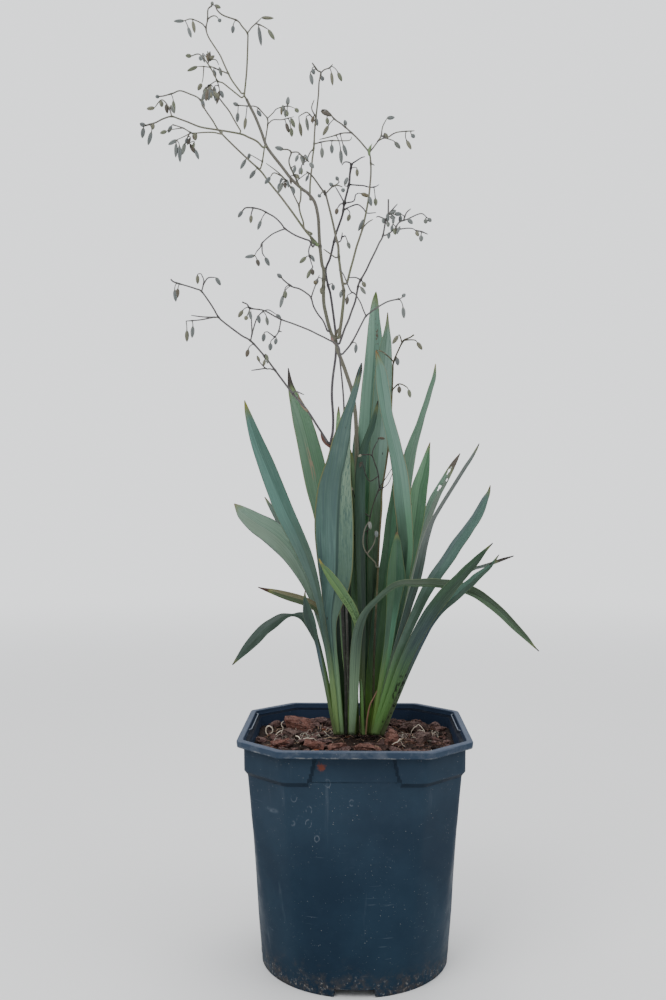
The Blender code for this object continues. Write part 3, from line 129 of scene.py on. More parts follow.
class Step(Enum):
    """Node of a recipe: its type, settings, the sockets that take its values in order, and its output."""

    TIMES = ("Math", {"operation": "MULTIPLY"}, (0, 1), 0)
    PLUS = ("Math", {"operation": "ADD"}, (0, 1), 0)
    PLUS_TO_ONE = ("Math", {"operation": "ADD", "use_clamp": True}, (0, 1), 0)
    MINUS = ("Math", {"operation": "SUBTRACT"}, (0, 1), 0)
    SIZE = ("Math", {"operation": "ABSOLUTE"}, (0,), 0)
    SINE = ("Math", {"operation": "SINE"}, (0,), 0)
    EASE = ("MapRange", {"interpolation_type": "SMOOTHSTEP"}, RANGE, 0)
    EVEN = ("MapRange", {"interpolation_type": "LINEAR"}, RANGE, 0)
    MIX = ("Mix", {"data_type": "RGBA"}, (0, 6, 7), 2)
    NOISE = ("TexNoise", {}, ("Vector", "Scale", "Detail", "Roughness"), "Fac")
    CELLS = ("TexVoronoi", {"feature": "F1"}, ("Vector", "Scale"), "Distance")
    BANDS = ("TexWave", {"wave_type": "BANDS", "bands_direction": "X", "wave_profile": "SIN"},
             ("Vector", "Scale", "Distortion", "Detail"), "Fac")
    STRETCH = ("Mapping", {}, ("Vector", "Scale"), 0)
    SHIFT = ("Mapping", {}, ("Vector", "Location"), 0)
    TILT = ("Mapping", {}, ("Vector", "Scale", "Rotation"), 0)
    X = ("SeparateXYZ", {}, (0,), 0)
    Y = ("SeparateXYZ", {}, (0,), 1)
    Z = ("SeparateXYZ", {}, (0,), 2)
    OFFSET = ("VectorMath", {"operation": "SUBTRACT"}, (0, 1), 0)
    SCALED = ("VectorMath", {"operation": "MULTIPLY"}, (0, 1), 0)
    CROSS = ("VectorMath", {"operation": "CROSS_PRODUCT"}, (0, 1), 0)
    DOT = ("VectorMath", {"operation": "DOT_PRODUCT"}, (0, 1), "Value")
    LENGTH = ("VectorMath", {"operation": "LENGTH"}, (0,), "Value")
    DISTANCE = ("VectorMath", {"operation": "DISTANCE"}, (0, 1), "Value")
    PLACE = ("TexCoord", {}, (), "Object")
    SKY_WAY = ("TexCoord", {}, (), "Generated")
    MM_MAP = ("UVMap", {"uv_map": "mm"}, (), 0)
    SHARE_MAP = ("UVMap", {"uv_map": "share"}, (), 0)
    TONE = ("VertexColor", {"layer_name": "tone"}, (), "Color")
    STRIPE = ("VertexColor", {"layer_name": "tone"}, (), "Alpha")
    NORMAL = ("NewGeometry", {}, (), "Normal")
    BUMP = ("Bump", {}, ("Strength", "Distance", "Height"), 0)
    GLOW = ("Emission", {}, ("Color", "Strength"), 0)
    SKY = ("Background", {}, ("Color", "Strength"), 0)
    CAMERA_RAY = ("LightPath", {}, (), "Is Camera Ray")
    BLEND = ("MixShader", {}, (0, 1, 2), 0)


def add(tree: bpy.types.NodeTree, step: Step, *values: Any) -> bpy.types.NodeSocket:
    """Add a node with its settings and links.

    Args:
        tree: tree to add it to.
        step: which node.
        *values: a number, tuple or socket for each of the step's sockets, in order. Sockets past the last
            value keep their own number, and values past the last socket repeat the node on its result.

    Returns:
        The node's output.
    """
    kind, settings, sockets, output = step.value
    if len(values) > max(len(sockets), 1):
        return add(tree, step, add(tree, step, *values[:2]), *values[2:])
    node = tree.nodes.new("ShaderNode" + kind)
    for key, value in settings.items():
        setattr(node, key, value)
    for at, value in zip(sockets, values):
        if isinstance(value, bpy.types.NodeSocket):
            tree.links.new(value, node.inputs[at])
        else:
            node.inputs[at].default_value = value
    return node.outputs[output]


class Shading:
    """One procedural material under construction, with the base colour that it has so far."""

    def __init__(self, name: str, roughness: float, specular: float) -> None:
        """Start a material.

        Args:
            name: its name.
            roughness: its plain roughness.
            specular: its specular level.
        """
        self.material = bpy.data.materials.new(name)
        self.material.use_nodes = True
        self.tree = self.material.node_tree
        self.shader = self.tree.nodes["Principled BSDF"]
        self.shader.inputs["Roughness"].default_value = roughness
        self.shader.inputs["Specular IOR Level"].default_value = specular
        self.colour: Any = None

    def add(self, step: Step, *values: Any) -> bpy.types.NodeSocket:
        """Add a node to this material."""
        return add(self.tree, step, *values)

    def start(self, mask: Any, first: Any, second: Any) -> None:
        """Begin the base colour with a blend of two colours."""
        self.colour = self.add(Step.MIX, self.share(mask), first, second)

    def share(self, *masks: Any) -> Any:
        """Product of masks, each a value, or a tuple of a value and the range that it is eased over."""
        values = [self.add(Step.EASE, *mask) if isinstance(mask, tuple) else mask for mask in masks]
        return values[0] if len(values) == 1 else self.add(Step.TIMES, *values)

    def coat(self, hex_colour: str, weight: float, *masks: Any) -> None:
        """Lay a colour over the base colour, where the masks say and as strong as the weight."""
        share = self.share(*masks) if weight == 1.0 else self.share(*masks, weight)
        self.colour = self.add(Step.MIX, share, self.colour, pigment(hex_colour))

    def finish(self, height: Any, depth_mm: float, strength: float) -> bpy.types.Material:
        """Feed the base colour and the bump to the shader and hand over the material."""
        self.link("Base Color", self.colour)
        self.link("Normal", self.add(Step.BUMP, strength, depth_mm * MM, height))
        return self.material

    def link(self, socket: str, value: Any) -> None:
        """Feed a socket of the shader."""
        self.tree.links.new(value, self.shader.inputs[socket])


# Finishes

@dataclass(frozen=True)
class Mark:
    """Blemishes on one part of a blade.

    Args:
        across: where they lie across the blade, as shares.
        height: where they lie along it, in mm.
        fleck: width and length of a fleck in mm.
        colour: sRGB hex.
        cover: how much of that part they cover.
    """

    across: tuple[float, float]
    height: tuple[float, float]
    fleck: tuple[float, float]
    colour: str
    cover: float


@dataclass(frozen=True)
class LeafFinish:
    """Waxy skin of one grown strap leaf: veins run along it and a bloom dulls it. Colours are sRGB hex.

    Args:
        left: blade left of the fold, as seen from the front; how it differs from right is partly painted
            light and shade.
        right: blade right of the fold.
        foot: lower end, near the soil; a darker foot on inner leaves is painted shade.
        tip: dry tip.
        dry: how far down the dryness of the tip reaches, 0 to 1.
        spots: how many dark spots, 0 to 1.
        bloom: strength of the pale waxy bloom, 0 to 1.
        margin: colour of the thin edge.
        shade: strength of the painted shade on the lower blade, where the leaves shade each other, 0 to 1.
        far: colours left and right of the fold in the outer part, where they differ.
        far_at: share of the length where the outer part begins.
    """

    left: str = "#4f7a70"
    right: str = "#5c877a"
    foot: str = "#5f7f42"
    tip: str = "#6b5b45"
    dry: float = 0.25
    spots: float = 0.15
    bloom: float = 0.4
    margin: str = "#8a7c52"
    shade: float = 0.3
    far: tuple[str, ...] = ()
    far_at: float = 0.5

    def material(self, name: str, seed: int, marks: tuple[Mark, ...] = ()) -> bpy.types.Material:
        """Lengthwise veins, fold line, thin margin, pale bloom, dry tip, spots and a green foot.

        The map "mm" holds millimetres across and along the blade. The map "share" holds 0 to 1 across, with
        0.5 on the fold, and 0 to 1 from foot to tip. Patterns are stretched along the blade: 0.2 mm fibres,
        0.7 mm streaks and 6 mm clouds. The real fibres are finer and are drawn this coarse to show.

        Args:
            name: name of the material.
            seed: number that moves the patterns.
            marks: blemishes of this leaf.

        Returns:
            The material.
        """
        s = Shading(name, 0.46, 0.3)
        mm = s.add(Step.MM_MAP)
        height = s.add(Step.Y, mm)
        moved = s.add(Step.SHIFT, mm, (seed * 7.3, seed * 31.7, seed * 1.9))
        share = s.add(Step.SHARE_MAP)
        across, along = s.add(Step.X, share), s.add(Step.Y, share)
        off_fold = s.add(Step.SIZE, s.add(Step.MINUS, across, 0.5))
        fine = s.add(Step.NOISE, s.add(Step.STRETCH, moved, on_blade(0.1923, 28.57)), 1.0, 2.0, 0.5)
        streak = s.add(Step.NOISE, s.add(Step.STRETCH, moved, on_blade(0.6667, 83.33)), 1.0, 3.0, 0.6)
        cloud = s.add(Step.NOISE, s.add(Step.STRETCH, moved, on_blade(6.25, 20.0)), 1.0, 4.0, 0.6)
        uneven = s.add(Step.MINUS, streak, 0.5)

        # Blade colours either side of the fold, partly painted light and shade, then fibres and bloom
        side = s.add(Step.EASE, across, 0.47, 0.53)
        s.start(side, pigment(self.left), pigment(self.right))
        if self.far:
            outer = s.add(Step.MIX, side, pigment(self.far[0]), pigment(self.far[1]))
            s.start((along, self.far_at, self.far_at + 0.2), s.colour, outer)
        s.coat("#24423a", 0.30, (streak, 0.42, 0.66))
        s.coat("#8fae9b", 0.13, (fine, 0.45, 0.62))
        s.coat("#92ada2", 0.5 * self.bloom, (cloud, 0.42, 0.72))
        # Painted shade: the lower blade darker, where the leaves shade each other low in the clump
        low = s.add(Step.PLUS, height, s.add(Step.TIMES, cloud, 60.0))
        s.coat("#1c2f27", self.shade, (low, 60.0, 240.0, 1.0, 0.0))
        # Painted shade: a dark line in the crease of the fold
        s.coat("#23402f", 1.0, (off_fold, 0.0, 0.022, 0.45, 0.0))
        upright = s.add(Step.STRETCH, moved, on_blade(math.inf, 1.818))
        nibbled = s.add(Step.NOISE, upright, 1.0, 2.0, 0.55)
        edge = s.add(Step.PLUS, off_fold, s.add(Step.TIMES, nibbled, 0.02))
        s.coat(self.margin, 1.0, (edge, 0.472, 0.496, 0.0, 0.8))

        # Green foot with its pale sheath, and the tip, yellow first and then dry
        foot = s.add(Step.PLUS, height, s.add(Step.TIMES, uneven, 60.0))
        # Painted shade: inner leaves have a darker foot colour
        s.coat(self.foot, 1.0, (foot, 12.0, 88.0, 0.95, 0.0))
        sheath = s.add(Step.PLUS, height, s.add(Step.TIMES, fine, 8.0))
        s.coat("#6f7556", 1.0, (sheath, 3.0, 20.0, 0.4, 0.0))
        reach = 0.992 - 0.07 * self.dry
        ragged = s.add(Step.PLUS, along, s.add(Step.TIMES, uneven, 0.03), s.add(Step.TIMES, off_fold, 0.02))
        s.coat("#7f8347", 0.55, (ragged, reach - 0.028, reach + 0.005))
        brown = s.add(Step.EASE, ragged, reach, min(reach + 0.02, 1.0))
        s.coat(self.tip, 1.0, brown)

        # Dark specks, this leaf's own marks, and scuffs
        cells = s.add(Step.CELLS, s.add(Step.STRETCH, moved, on_blade(6.25, 14.286)), 1.0)
        speck = s.add(Step.EASE, cells, 0.03 + 0.10 * self.spots, 0.07 + 0.12 * self.spots, 1.0, 0.0)
        patchy = s.add(Step.NOISE, s.add(Step.STRETCH, moved, on_blade(20.0, 50.0)), 1.0, 1.0, 0.55)
        some = s.add(Step.EASE, patchy, 0.62 - 0.3 * self.spots, 0.66 - 0.3 * self.spots)
        s.coat("#2c221b", 0.85, speck, some)
        for mark in marks:
            self.blemish(s, mark, moved, across, height)
        worn = s.add(Step.NOISE, s.add(Step.STRETCH, moved, on_blade(1.1111, 4.5455)), 1.0, 5.0, 0.7)
        s.coat("#aab3a2", 0.3, (worn, 0.70, 0.78))

        rough = s.add(Step.EASE, cloud, 0.3, 0.7, 0.42, 0.6)
        s.link("Roughness", s.add(Step.PLUS_TO_ONE, rough, s.add(Step.TIMES, brown, 0.3)))
        s.shader.inputs["Sheen Weight"].default_value = 0.03
        s.shader.inputs["Sheen Roughness"].default_value = 0.5
        veins = s.add(Step.BANDS, moved, BAND_SCALE / 0.748, 0.35, 1.0)
        relief = s.add(Step.PLUS, s.add(Step.TIMES, veins, 0.5), s.add(Step.TIMES, fine, 0.6))
        return s.finish(relief, 0.09, 0.6)

    @staticmethod
    def blemish(s: Shading, mark: Mark, moved: Any, across: Any, height: Any) -> None:
        """Flecks of a mark's colour inside its part of the blade, with soft borders.

        Args:
            s: material of the blade.
            mark: the blemish.
            moved: place of the patterns in mm.
            across: share across the blade.
            height: mm up the blade.
        """
        wide, tall = mark.fleck
        sized = s.add(Step.STRETCH, moved, on_blade(wide, tall))
        flecks = s.add(Step.NOISE, sized, 1.0, 2.0, 0.6)
        level = 0.6 - 0.2 * mark.cover
        left, right = mark.across
        low, high = mark.height
        soft, soft_mm = 0.03, 8.0
        s.coat(mark.colour, 0.85, (flecks, level, level + 0.05),
               (across, left - soft, left + soft),
               (across, right - soft, right + soft, 1.0, 0.0),
               (height, low, low + soft_mm),
               (height, high - soft_mm, high, 1.0, 0.0))


@dataclass(frozen=True)
class SkinFinish:
    """Thin dull skin of stems, buds and roots: its tone comes from the mesh, with grain, and stripes on buds.

    Args:
        name: name of the material.
        roughness: middle roughness.
        stripes: strength of the six stripes along a bud, 0 to 1.
        grain_mm: size of the fine grain.
    """

    name: str
    roughness: float
    stripes: float = 0.0
    grain_mm: float = 0.6

    def material(self) -> bpy.types.Material:
        """Fine dark grain, 4.1 mm pale clouds, and stripes as a sine wave round the piece.

        Real skin has finer grain, drawn as coarse as it needs to show.

        Returns:
            The material.
        """
        s = Shading(self.name, self.roughness, 0.3)
        place = s.add(Step.PLACE)
        grain = s.add(Step.NOISE, place, scale_of(self.grain_mm), 3.0, 0.6)
        s.colour = s.add(Step.TONE)
        s.coat("#4d473c", 0.2, (grain, 0.4, 0.75))
        pale = s.add(Step.NOISE, place, scale_of(4.1), 2.0, 0.5)
        s.coat("#9a9c92", 0.15, (pale, 0.5, 0.72))
        if self.stripes:
            turn = s.add(Step.X, s.add(Step.SHARE_MAP))
            wave = s.add(Step.SINE, s.add(Step.TIMES, turn, 6 * FULL_TURN))
            s.coat("#4c5648", self.stripes, (wave, -0.2, 0.6), s.add(Step.STRIPE))
        s.link("Roughness", s.add(Step.EASE, grain, 0.3, 0.7, self.roughness - 0.08, self.roughness + 0.1))
        return s.finish(grain, 0.03, 0.4)


@dataclass(frozen=True)
class EarthFinish:
    """Rough natural matter of three tones, dull and broken: lumps, fine grain and pale fibres.

    Args:
        name: name of the material.
        tones: dark, middle and light colour.
        lump_mm: size of the lumps.
        roughness: roughness.
        depth_mm: depth of the bump.
    """

    name: str
    tones: tuple[str, str, str]
    lump_mm: float
    roughness: float
    depth_mm: float

    def material(self) -> bpy.types.Material:
        """Lumps of the stated size, 0.5 mm grain and fibres of about 1 mm by 4 mm.

        Returns:
            The material.
        """
        dark, middle, light = self.tones
        s = Shading(self.name, self.roughness, 0.22)
        place = s.add(Step.PLACE)
        lumps = s.add(Step.NOISE, place, scale_of(self.lump_mm), 5.0, 0.65)
        grain = s.add(Step.NOISE, place, scale_of(0.5), 4.0, 0.7)
        long = s.add(Step.STRETCH, place, scale_of(1.1111, 4.1667, 1.1111))
        fibre = s.add(Step.NOISE, long, 1.0, 4.0, 0.7)
        s.start((lumps, 0.36, 0.56), pigment(dark), pigment(middle))
        s.coat(light, 0.7, (fibre, 0.5, 0.72))
        s.coat(dark, 0.45, (grain, 0.5, 0.8))
        relief = s.add(Step.PLUS, s.add(Step.TIMES, lumps, 0.7), s.add(Step.TIMES, fibre, 0.6))
        return s.finish(relief, self.depth_mm, 0.9)


@dataclass(frozen=True)
class PotFinish:
    """Moulded blue-grey polypropylene, worn outdoors: dull, dusty and splashed, with earth on its foot.

    Heights and places are in metres, as Object coordinates are; sizes of patterns are in mm.

    Args:
        lip_foot: heights between which the lip begins.
        lip_edge: heights between which its rounded upper edge begins, where the painted highlight lies.
        panel_low: heights between which the corner panels and the inside begin.
        dust: for each size of dust its cells, its patches, grain radius in cells, threshold and strength.
        scratches: angle, width and patches of each set of scratches.
        smudge: middle of the pale smudge on the front.
        drops: middle of the dried splash rings on the front.
        rust: middle of the orange stain on the front.
    """

    lip_foot: tuple[float, float] = (0.1812, 0.1822)
    lip_edge: tuple[float, float] = (0.1846, 0.186)
    panel_low: tuple[float, float] = (0.15, 0.155)
    dust: tuple[tuple[float, ...], ...] = ((5.8824, 31.348, 0.075, 0.52, 0.6),
                                           (3.0303, 16.92, 0.11, 0.47, 0.6),
                                           (1.7857, 10.183, 0.12, 0.48, 0.5))
    scratches: tuple[tuple[float, float, float], ...] = ((0.5, 1.4286, 51.282), (-0.6, 1.5625, 54.348))
    smudge: tuple[float, float, float] = (-0.063, -0.083, 0.138)
    drops: tuple[float, float, float] = (-0.024, -0.083, 0.139)
    rust: tuple[float, float, float] = (-0.0245, -0.0825, 0.1735)

    def material(self) -> bpy.types.Material:
        """Plastic colour, painted lighter at the top; lip and inside with painted light and shade; dust,
        splashes, earth, scratches.

        The moulded texture is finer than 1.1 mm and is drawn this coarse to show.

        Returns:
            The material.
        """
        s = Shading("weathered blue-grey polypropylene", 0.42, 0.05)
        place = s.add(Step.PLACE)
        height = s.add(Step.Z, place)
        broad = s.add(Step.NOISE, place, scale_of(71.43), 4.0, 0.6)
        mid = s.add(Step.NOISE, place, scale_of(14.286), 5.0, 0.65)
        fine = s.add(Step.NOISE, place, scale_of(1.1111), 3.0, 0.6)
        s.start((broad, 0.35, 0.7), pigment("#233648"), pigment("#2c4153"))
        s.coat("#55616e", 0.10, (mid, 0.5, 0.8))
        # Painted light: the body lighter towards the top, where more light falls on it
        s.coat("#5c646e", 1.0, (height, 0.06, 0.16, 0.0, 0.12))
        self.lip(s, place, height, mid)
        self.dirt(s, place, height, mid)
        s.link("Roughness", s.add(Step.EASE, mid, 0.3, 0.75, 0.42, 0.6))
        relief = s.add(Step.PLUS, s.add(Step.TIMES, fine, 0.25), s.add(Step.TIMES, mid, 0.6))
        return s.finish(relief, 0.10, 0.4)

    def lip(self, s: Shading, place: Any, height: Any, mid: Any) -> None:
        """Lighter lip with chalky scuffs and a dusty foot; painted highlight, painted light inside and
        painted shade.

        The highlight is on faces of the rounded upper edge that look up; the inner wall is painted lighter;
        painted shade lies on faces that look down, on the inner ledge and on the upright steps at the panels'
        sides. The normal's part along the level place tells outside (positive) from inside, and their cross
        product is large on those steps.

        Args:
            s: material of the pot.
            place: Object coordinates.
            height: their z.
            mid: noise of about 14 mm.
        """
        above_panels = s.add(Step.EASE, height, *self.panel_low)
        s.coat("#6b7c9c", 1.0, (height, *self.lip_foot, 0.0, 0.14))
        normal = s.add(Step.NORMAL)
        up = s.add(Step.Z, normal)
        level = s.add(Step.SCALED, place, (10.0, 10.0, 0.0))
        outward = s.add(Step.DOT, level, normal)
        # Painted highlight on the faces of the lip's rounded upper edge that look up
        s.coat("#7d8698", 0.5, (height, *self.lip_edge), (up, 0.25, 0.95))
        low_flat = s.add(Step.STRETCH, place, scale_of(7.6923, 7.6923, 2.5))
        speckle = s.add(Step.NOISE, low_flat, 1.0, 4.0, 0.7)
        s.coat("#a7a9a8", 0.5, (height, 0.1812, 0.1815),
               (height, 0.1820, 0.1828, 1.0, 0.0), (speckle, 0.45, 0.6))
        s.coat("#8f949c", 0.3, (height, *self.lip_foot), (mid, 0.45, 0.7))
        # Painted light: the inner wall a lighter blue-grey than the same plastic outside
        s.coat("#38475f", 1.0, (outward, -0.05, 0.0, 1.0, 0.0),
               (up, 0.5, 0.8, 1.0, 0.0), above_panels)
        # Painted shade on faces that look down, under the lip and the panels
        s.coat("#0b1420", 0.6, (up, -0.7, -0.3, 1.0, 0.0), above_panels)
        sideways = s.add(Step.SIZE, s.add(Step.Z, s.add(Step.CROSS, level, normal)))
        # Painted shade on the upright steps at the panels' sides
        s.coat("#0b1420", 0.45, (sideways, 0.63, 0.72), (height, 0.1600, 0.1605))
        # Painted shade on faces that look up below the rim's top: the inner ledge
        s.coat("#0d1727", 1.0, (up, 0.4, 0.7),
               (height, 0.1846, 0.1852, 1.0, 0.0), above_panels)

    def dirt(self, s: Shading, place: Any, height: Any, mid: Any) -> None:
        """Dust of three sizes, splash rings, pale smears and drips, earth low down, scratches and a stain.

        Args:
            s: material of the pot.
            place: Object coordinates.
            height: their z.
            mid: noise of about 14 mm.
        """
        for size, patch, radius, threshold, weight in self.dust:
            spots = s.add(Step.CELLS, place, scale_of(size))
            grains = s.add(Step.EASE, spots, radius * 0.4, radius, 1.0, 0.0)
            patchy = s.add(Step.NOISE, place, scale_of(patch), 3.0, 0.6)
            s.coat("#c2c1ba", weight, grains, (patchy, threshold, threshold + 0.14))
        splash = s.add(Step.CELLS, s.add(Step.STRETCH, place, scale_of(10.0, 10.0, 13.514)), 1.0)
        near = s.add(Step.DISTANCE, place, self.drops)
        s.coat("#98a0a8", 0.30, (splash, 0.16, 0.21),
               (splash, 0.22, 0.27, 1.0, 0.0), (near, 0.018, 0.032, 1.0, 0.0),
               (s.add(Step.NOISE, place, scale_of(4.1667), 3.0, 0.55), 0.46, 0.58))
        far = s.add(Step.STRETCH, s.add(Step.OFFSET, place, self.smudge), scale_of(7.6923, 50.0, 3.0303))
        s.coat("#7f8a96", 0.5, (s.add(Step.LENGTH, far), 0.35, 1.0, 1.0, 0.0),
               (mid, 0.42, 0.62))
        broad = s.add(Step.STRETCH, place, scale_of(41.667, 41.667, 10.526))
        smear = s.add(Step.NOISE, broad, 1.0, 4.0, 0.65)
        s.coat("#8b939b", 1.0, (smear, 0.66, 0.80, 0.0, 0.30))
        tall = s.add(Step.STRETCH, place, scale_of(7.6923, 7.6923, 111.11))
        drip = s.add(Step.NOISE, tall, 1.0, 4.0, 0.6)
        s.coat("#7f8892", 1.0, (drip, 0.64, 0.76, 0.0, 0.13))

        low = s.add(Step.PLUS, height, s.add(Step.TIMES, s.add(Step.MINUS, mid, 0.5), 0.05))
        s.coat("#524d4a", 1.0, (low, 0.0, 0.026, 0.8, 0.0),
               (s.add(Step.NOISE, place, scale_of(5.2632), 5.0, 0.7), 0.42, 0.62))
        s.coat("#aaa7a2", 0.7, (low, 0.0, 0.016, 1.0, 0.0),
               (s.add(Step.NOISE, place, scale_of(2.381), 4.0, 0.7), 0.55, 0.66))
        for angle, thin, patch in self.scratches:
            turned = s.add(Step.TILT, place, scale_of(33.333, 33.333, thin), (0.0, angle, 0.0))
            s.coat("#8e99a6", 0.16, (s.add(Step.NOISE, turned, 1.0, 2.0, 0.5), 0.70, 0.74),
                   (s.add(Step.NOISE, place, scale_of(patch), 2.0, 0.55), 0.50, 0.62))
        ragged = s.add(Step.MINUS, s.add(Step.NOISE, place, scale_of(3.0303), 4.0, 0.7), 0.5)
        blot = s.add(Step.PLUS, s.add(Step.DISTANCE, place, self.rust), s.add(Step.TIMES, ragged, 0.009))
        s.coat("#8a4a34", 0.75, (blot, 0.0015, 0.0042, 1.0, 0.0))


# Geometry helpers

def seen(x: Any, z: Any, y: Any) -> np.ndarray:
    """Points in mm that the front view shows at (x, z) when they lie at depth y.

    k = 1 + y / D; the point is (x k, y, H + (z - H) k), with D and H the viewing distance and height.
    """
    k = 1.0 + np.asarray(y) / VIEW_DISTANCE
    upright = VIEW_HEIGHT + (np.asarray(z) - VIEW_HEIGHT) * k
    return np.stack(np.broadcast_arrays(np.asarray(x) * k, y, upright), -1)


def smooth_curve(points: Any, count: int) -> tuple[np.ndarray, float]:
    """Samples of a smooth cubic curve through rows of numbers, evenly spaced along the drawn length.

    p(t) = (2b + (c - a) t + (2a - 5b + 4c - d) t^2 + (3b - 3c + d - a) t^3) / 2 between b and c.

    Args:
        points: rows to pass through.
        count: how many samples.

    Returns:
        The samples and the drawn length.
    """
    rows = np.array(points, float)
    ends = np.vstack([2 * rows[0] - rows[1], rows, 2 * rows[-1] - rows[-2]])
    t = np.linspace(0, 1, 16, endpoint=False)[:, None]
    dense = []
    for a, b, c, d in zip(ends[:-3], ends[1:-2], ends[2:-1], ends[3:]):
        square, cube = 2 * a - 5 * b + 4 * c - d, 3 * b - 3 * c + d - a
        dense.append(0.5 * (2 * b + (c - a) * t + square * t**2 + cube * t**3))
    dense = np.vstack([*dense, rows[-1:]])
    steps = np.linalg.norm(np.diff(dense[:, :2], axis=0), axis=1)
    length = np.concatenate([[0], np.cumsum(steps)])
    at = np.linspace(0, length[-1], count)
    return np.array([np.interp(at, length, dense[:, k]) for k in range(rows.shape[1])]).T, length[-1]


def noise_at(places: np.ndarray) -> np.ndarray:
    """Smooth noise, from -1 to 1, at each place."""
    return np.fromiter(map(noise.noise, places), float, len(places))


def smooth(value: Any, low: float, high: float) -> Any:
    """Eased step t * t * (3 - 2 t) between low and high."""
    t = np.clip((value - low) / (high - low), 0, 1)
    return t * t * (3 - 2 * t)


def strips(rows: int, around: int, start: int = 0) -> list[list[int]]:
    """Quads between rows of points on closed rings: j and j + 1 of one ring, then of the next one.

    Args:
        rows: number of rings.
        around: points in each ring.
        start: number of the first point.

    Returns:
        The quads' point numbers.
    """
    i, j = np.mgrid[0 : rows - 1, 0:around]
    k = (j + 1) % around
    low = start + i * around
    high = low + around
    return np.stack([low + j, low + k, high + k, high + j], -1).reshape(-1, 4).tolist()


def turned(points: np.ndarray, turn: float, tilt: float) -> np.ndarray:
    """Points tilted, (x cos + z sin, z cos - x sin), and then turned, (x cos - y sin, x sin + y cos).

    Args:
        points: rows of (x, y, z).
        turn: radians about the upright axis.
        tilt: radians out of the level, about y.

    Returns:
        The moved points.
    """
    ct, st, cl, sl = math.cos(turn), math.sin(turn), math.cos(tilt), math.sin(tilt)
    x, y, z = points.T
    x, z = x * cl + z * sl, -x * sl + z * cl
    return np.column_stack([x * ct - y * st, x * st + y * ct, z])


@dataclass
class MeshData:
    """Points in mm and faces of one piece, with optional maps and tones.

    Args:
        points: rows of (x, y, z).
        faces: rows of point numbers.
        maps: map name to one (u, v) for each corner of each face.
        tones: one (r, g, b, a) for each point.
        smooth: whether faces are shaded smooth.
    """

    points: list = field(default_factory=list)
    faces: list = field(default_factory=list)
    maps: dict = field(default_factory=dict)
    tones: list = field(default_factory=list)
    smooth: bool = True

    def join(self, other: "MeshData") -> None:
        """Add another piece's points, faces, maps and tones to this one.

        Args:
            other: the piece to add.
        """
        start = len(self.points)
        self.points.extend(other.points)
        self.faces.extend([[i + start for i in f] for f in other.faces])
        for key, rows in other.maps.items():
            self.maps.setdefault(key, []).extend(rows)
        self.tones.extend(other.tones)

    def build(self, name: str, material: bpy.types.Material, sharp: float = 0.0) -> bpy.types.Object:
        """Object of this piece.

        Args:
            name: its name.
            material: its material.
            sharp: degrees past which edges are creased, 0 for none.

        Returns:
            The object, in metres, at the origin, with its faces turned outward.
        """
        mesh = bpy.data.meshes.new(name)
        mesh.from_pydata((np.asarray(self.points, float) * MM).tolist(), [], self.faces)
        for key, rows in self.maps.items():
            mesh.uv_layers.new(name=key).data.foreach_set("uv", np.array(rows, np.float32).ravel())
        if len(self.tones):
            tone = mesh.color_attributes.new("tone", "FLOAT_COLOR", "POINT")
            tone.data.foreach_set("color", np.array(self.tones, np.float32).ravel())
        shell = bmesh.new()
        shell.from_mesh(mesh)
        bmesh.ops.recalc_face_normals(shell, faces=shell.faces)
        shell.to_mesh(mesh)
        shell.free()
        mesh.polygons.foreach_set("use_smooth", [self.smooth] * len(mesh.polygons))
        if sharp:
            mesh.set_sharp_from_angle(angle=math.radians(sharp))
        mesh.materials.append(material)
        obj = bpy.data.objects.new(name, mesh)
        bpy.context.scene.collection.objects.link(obj)
        return obj


def place(obj: bpy.types.Object, slot: Slot, *nodes: str) -> None:
    """Fix a piece to the plant's one body and report it.

    Args:
        obj: the piece.
        slot: its slot.
        nodes: the solids it stands for.
    """
    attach(obj, BODY)
    if nodes:
        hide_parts(*nodes)
    log.info("%s: %d faces, %s", obj.name, len(obj.data.polygons), slot.value)


# Leaves

BLADE_ROWS = 96
BLADE_COLUMNS = 13
FOLD_SOFTNESS = 0.02
WAVE_RATES = (21, 17)
EDGE_THICK, FOLD_THICK = 0.22, 0.62


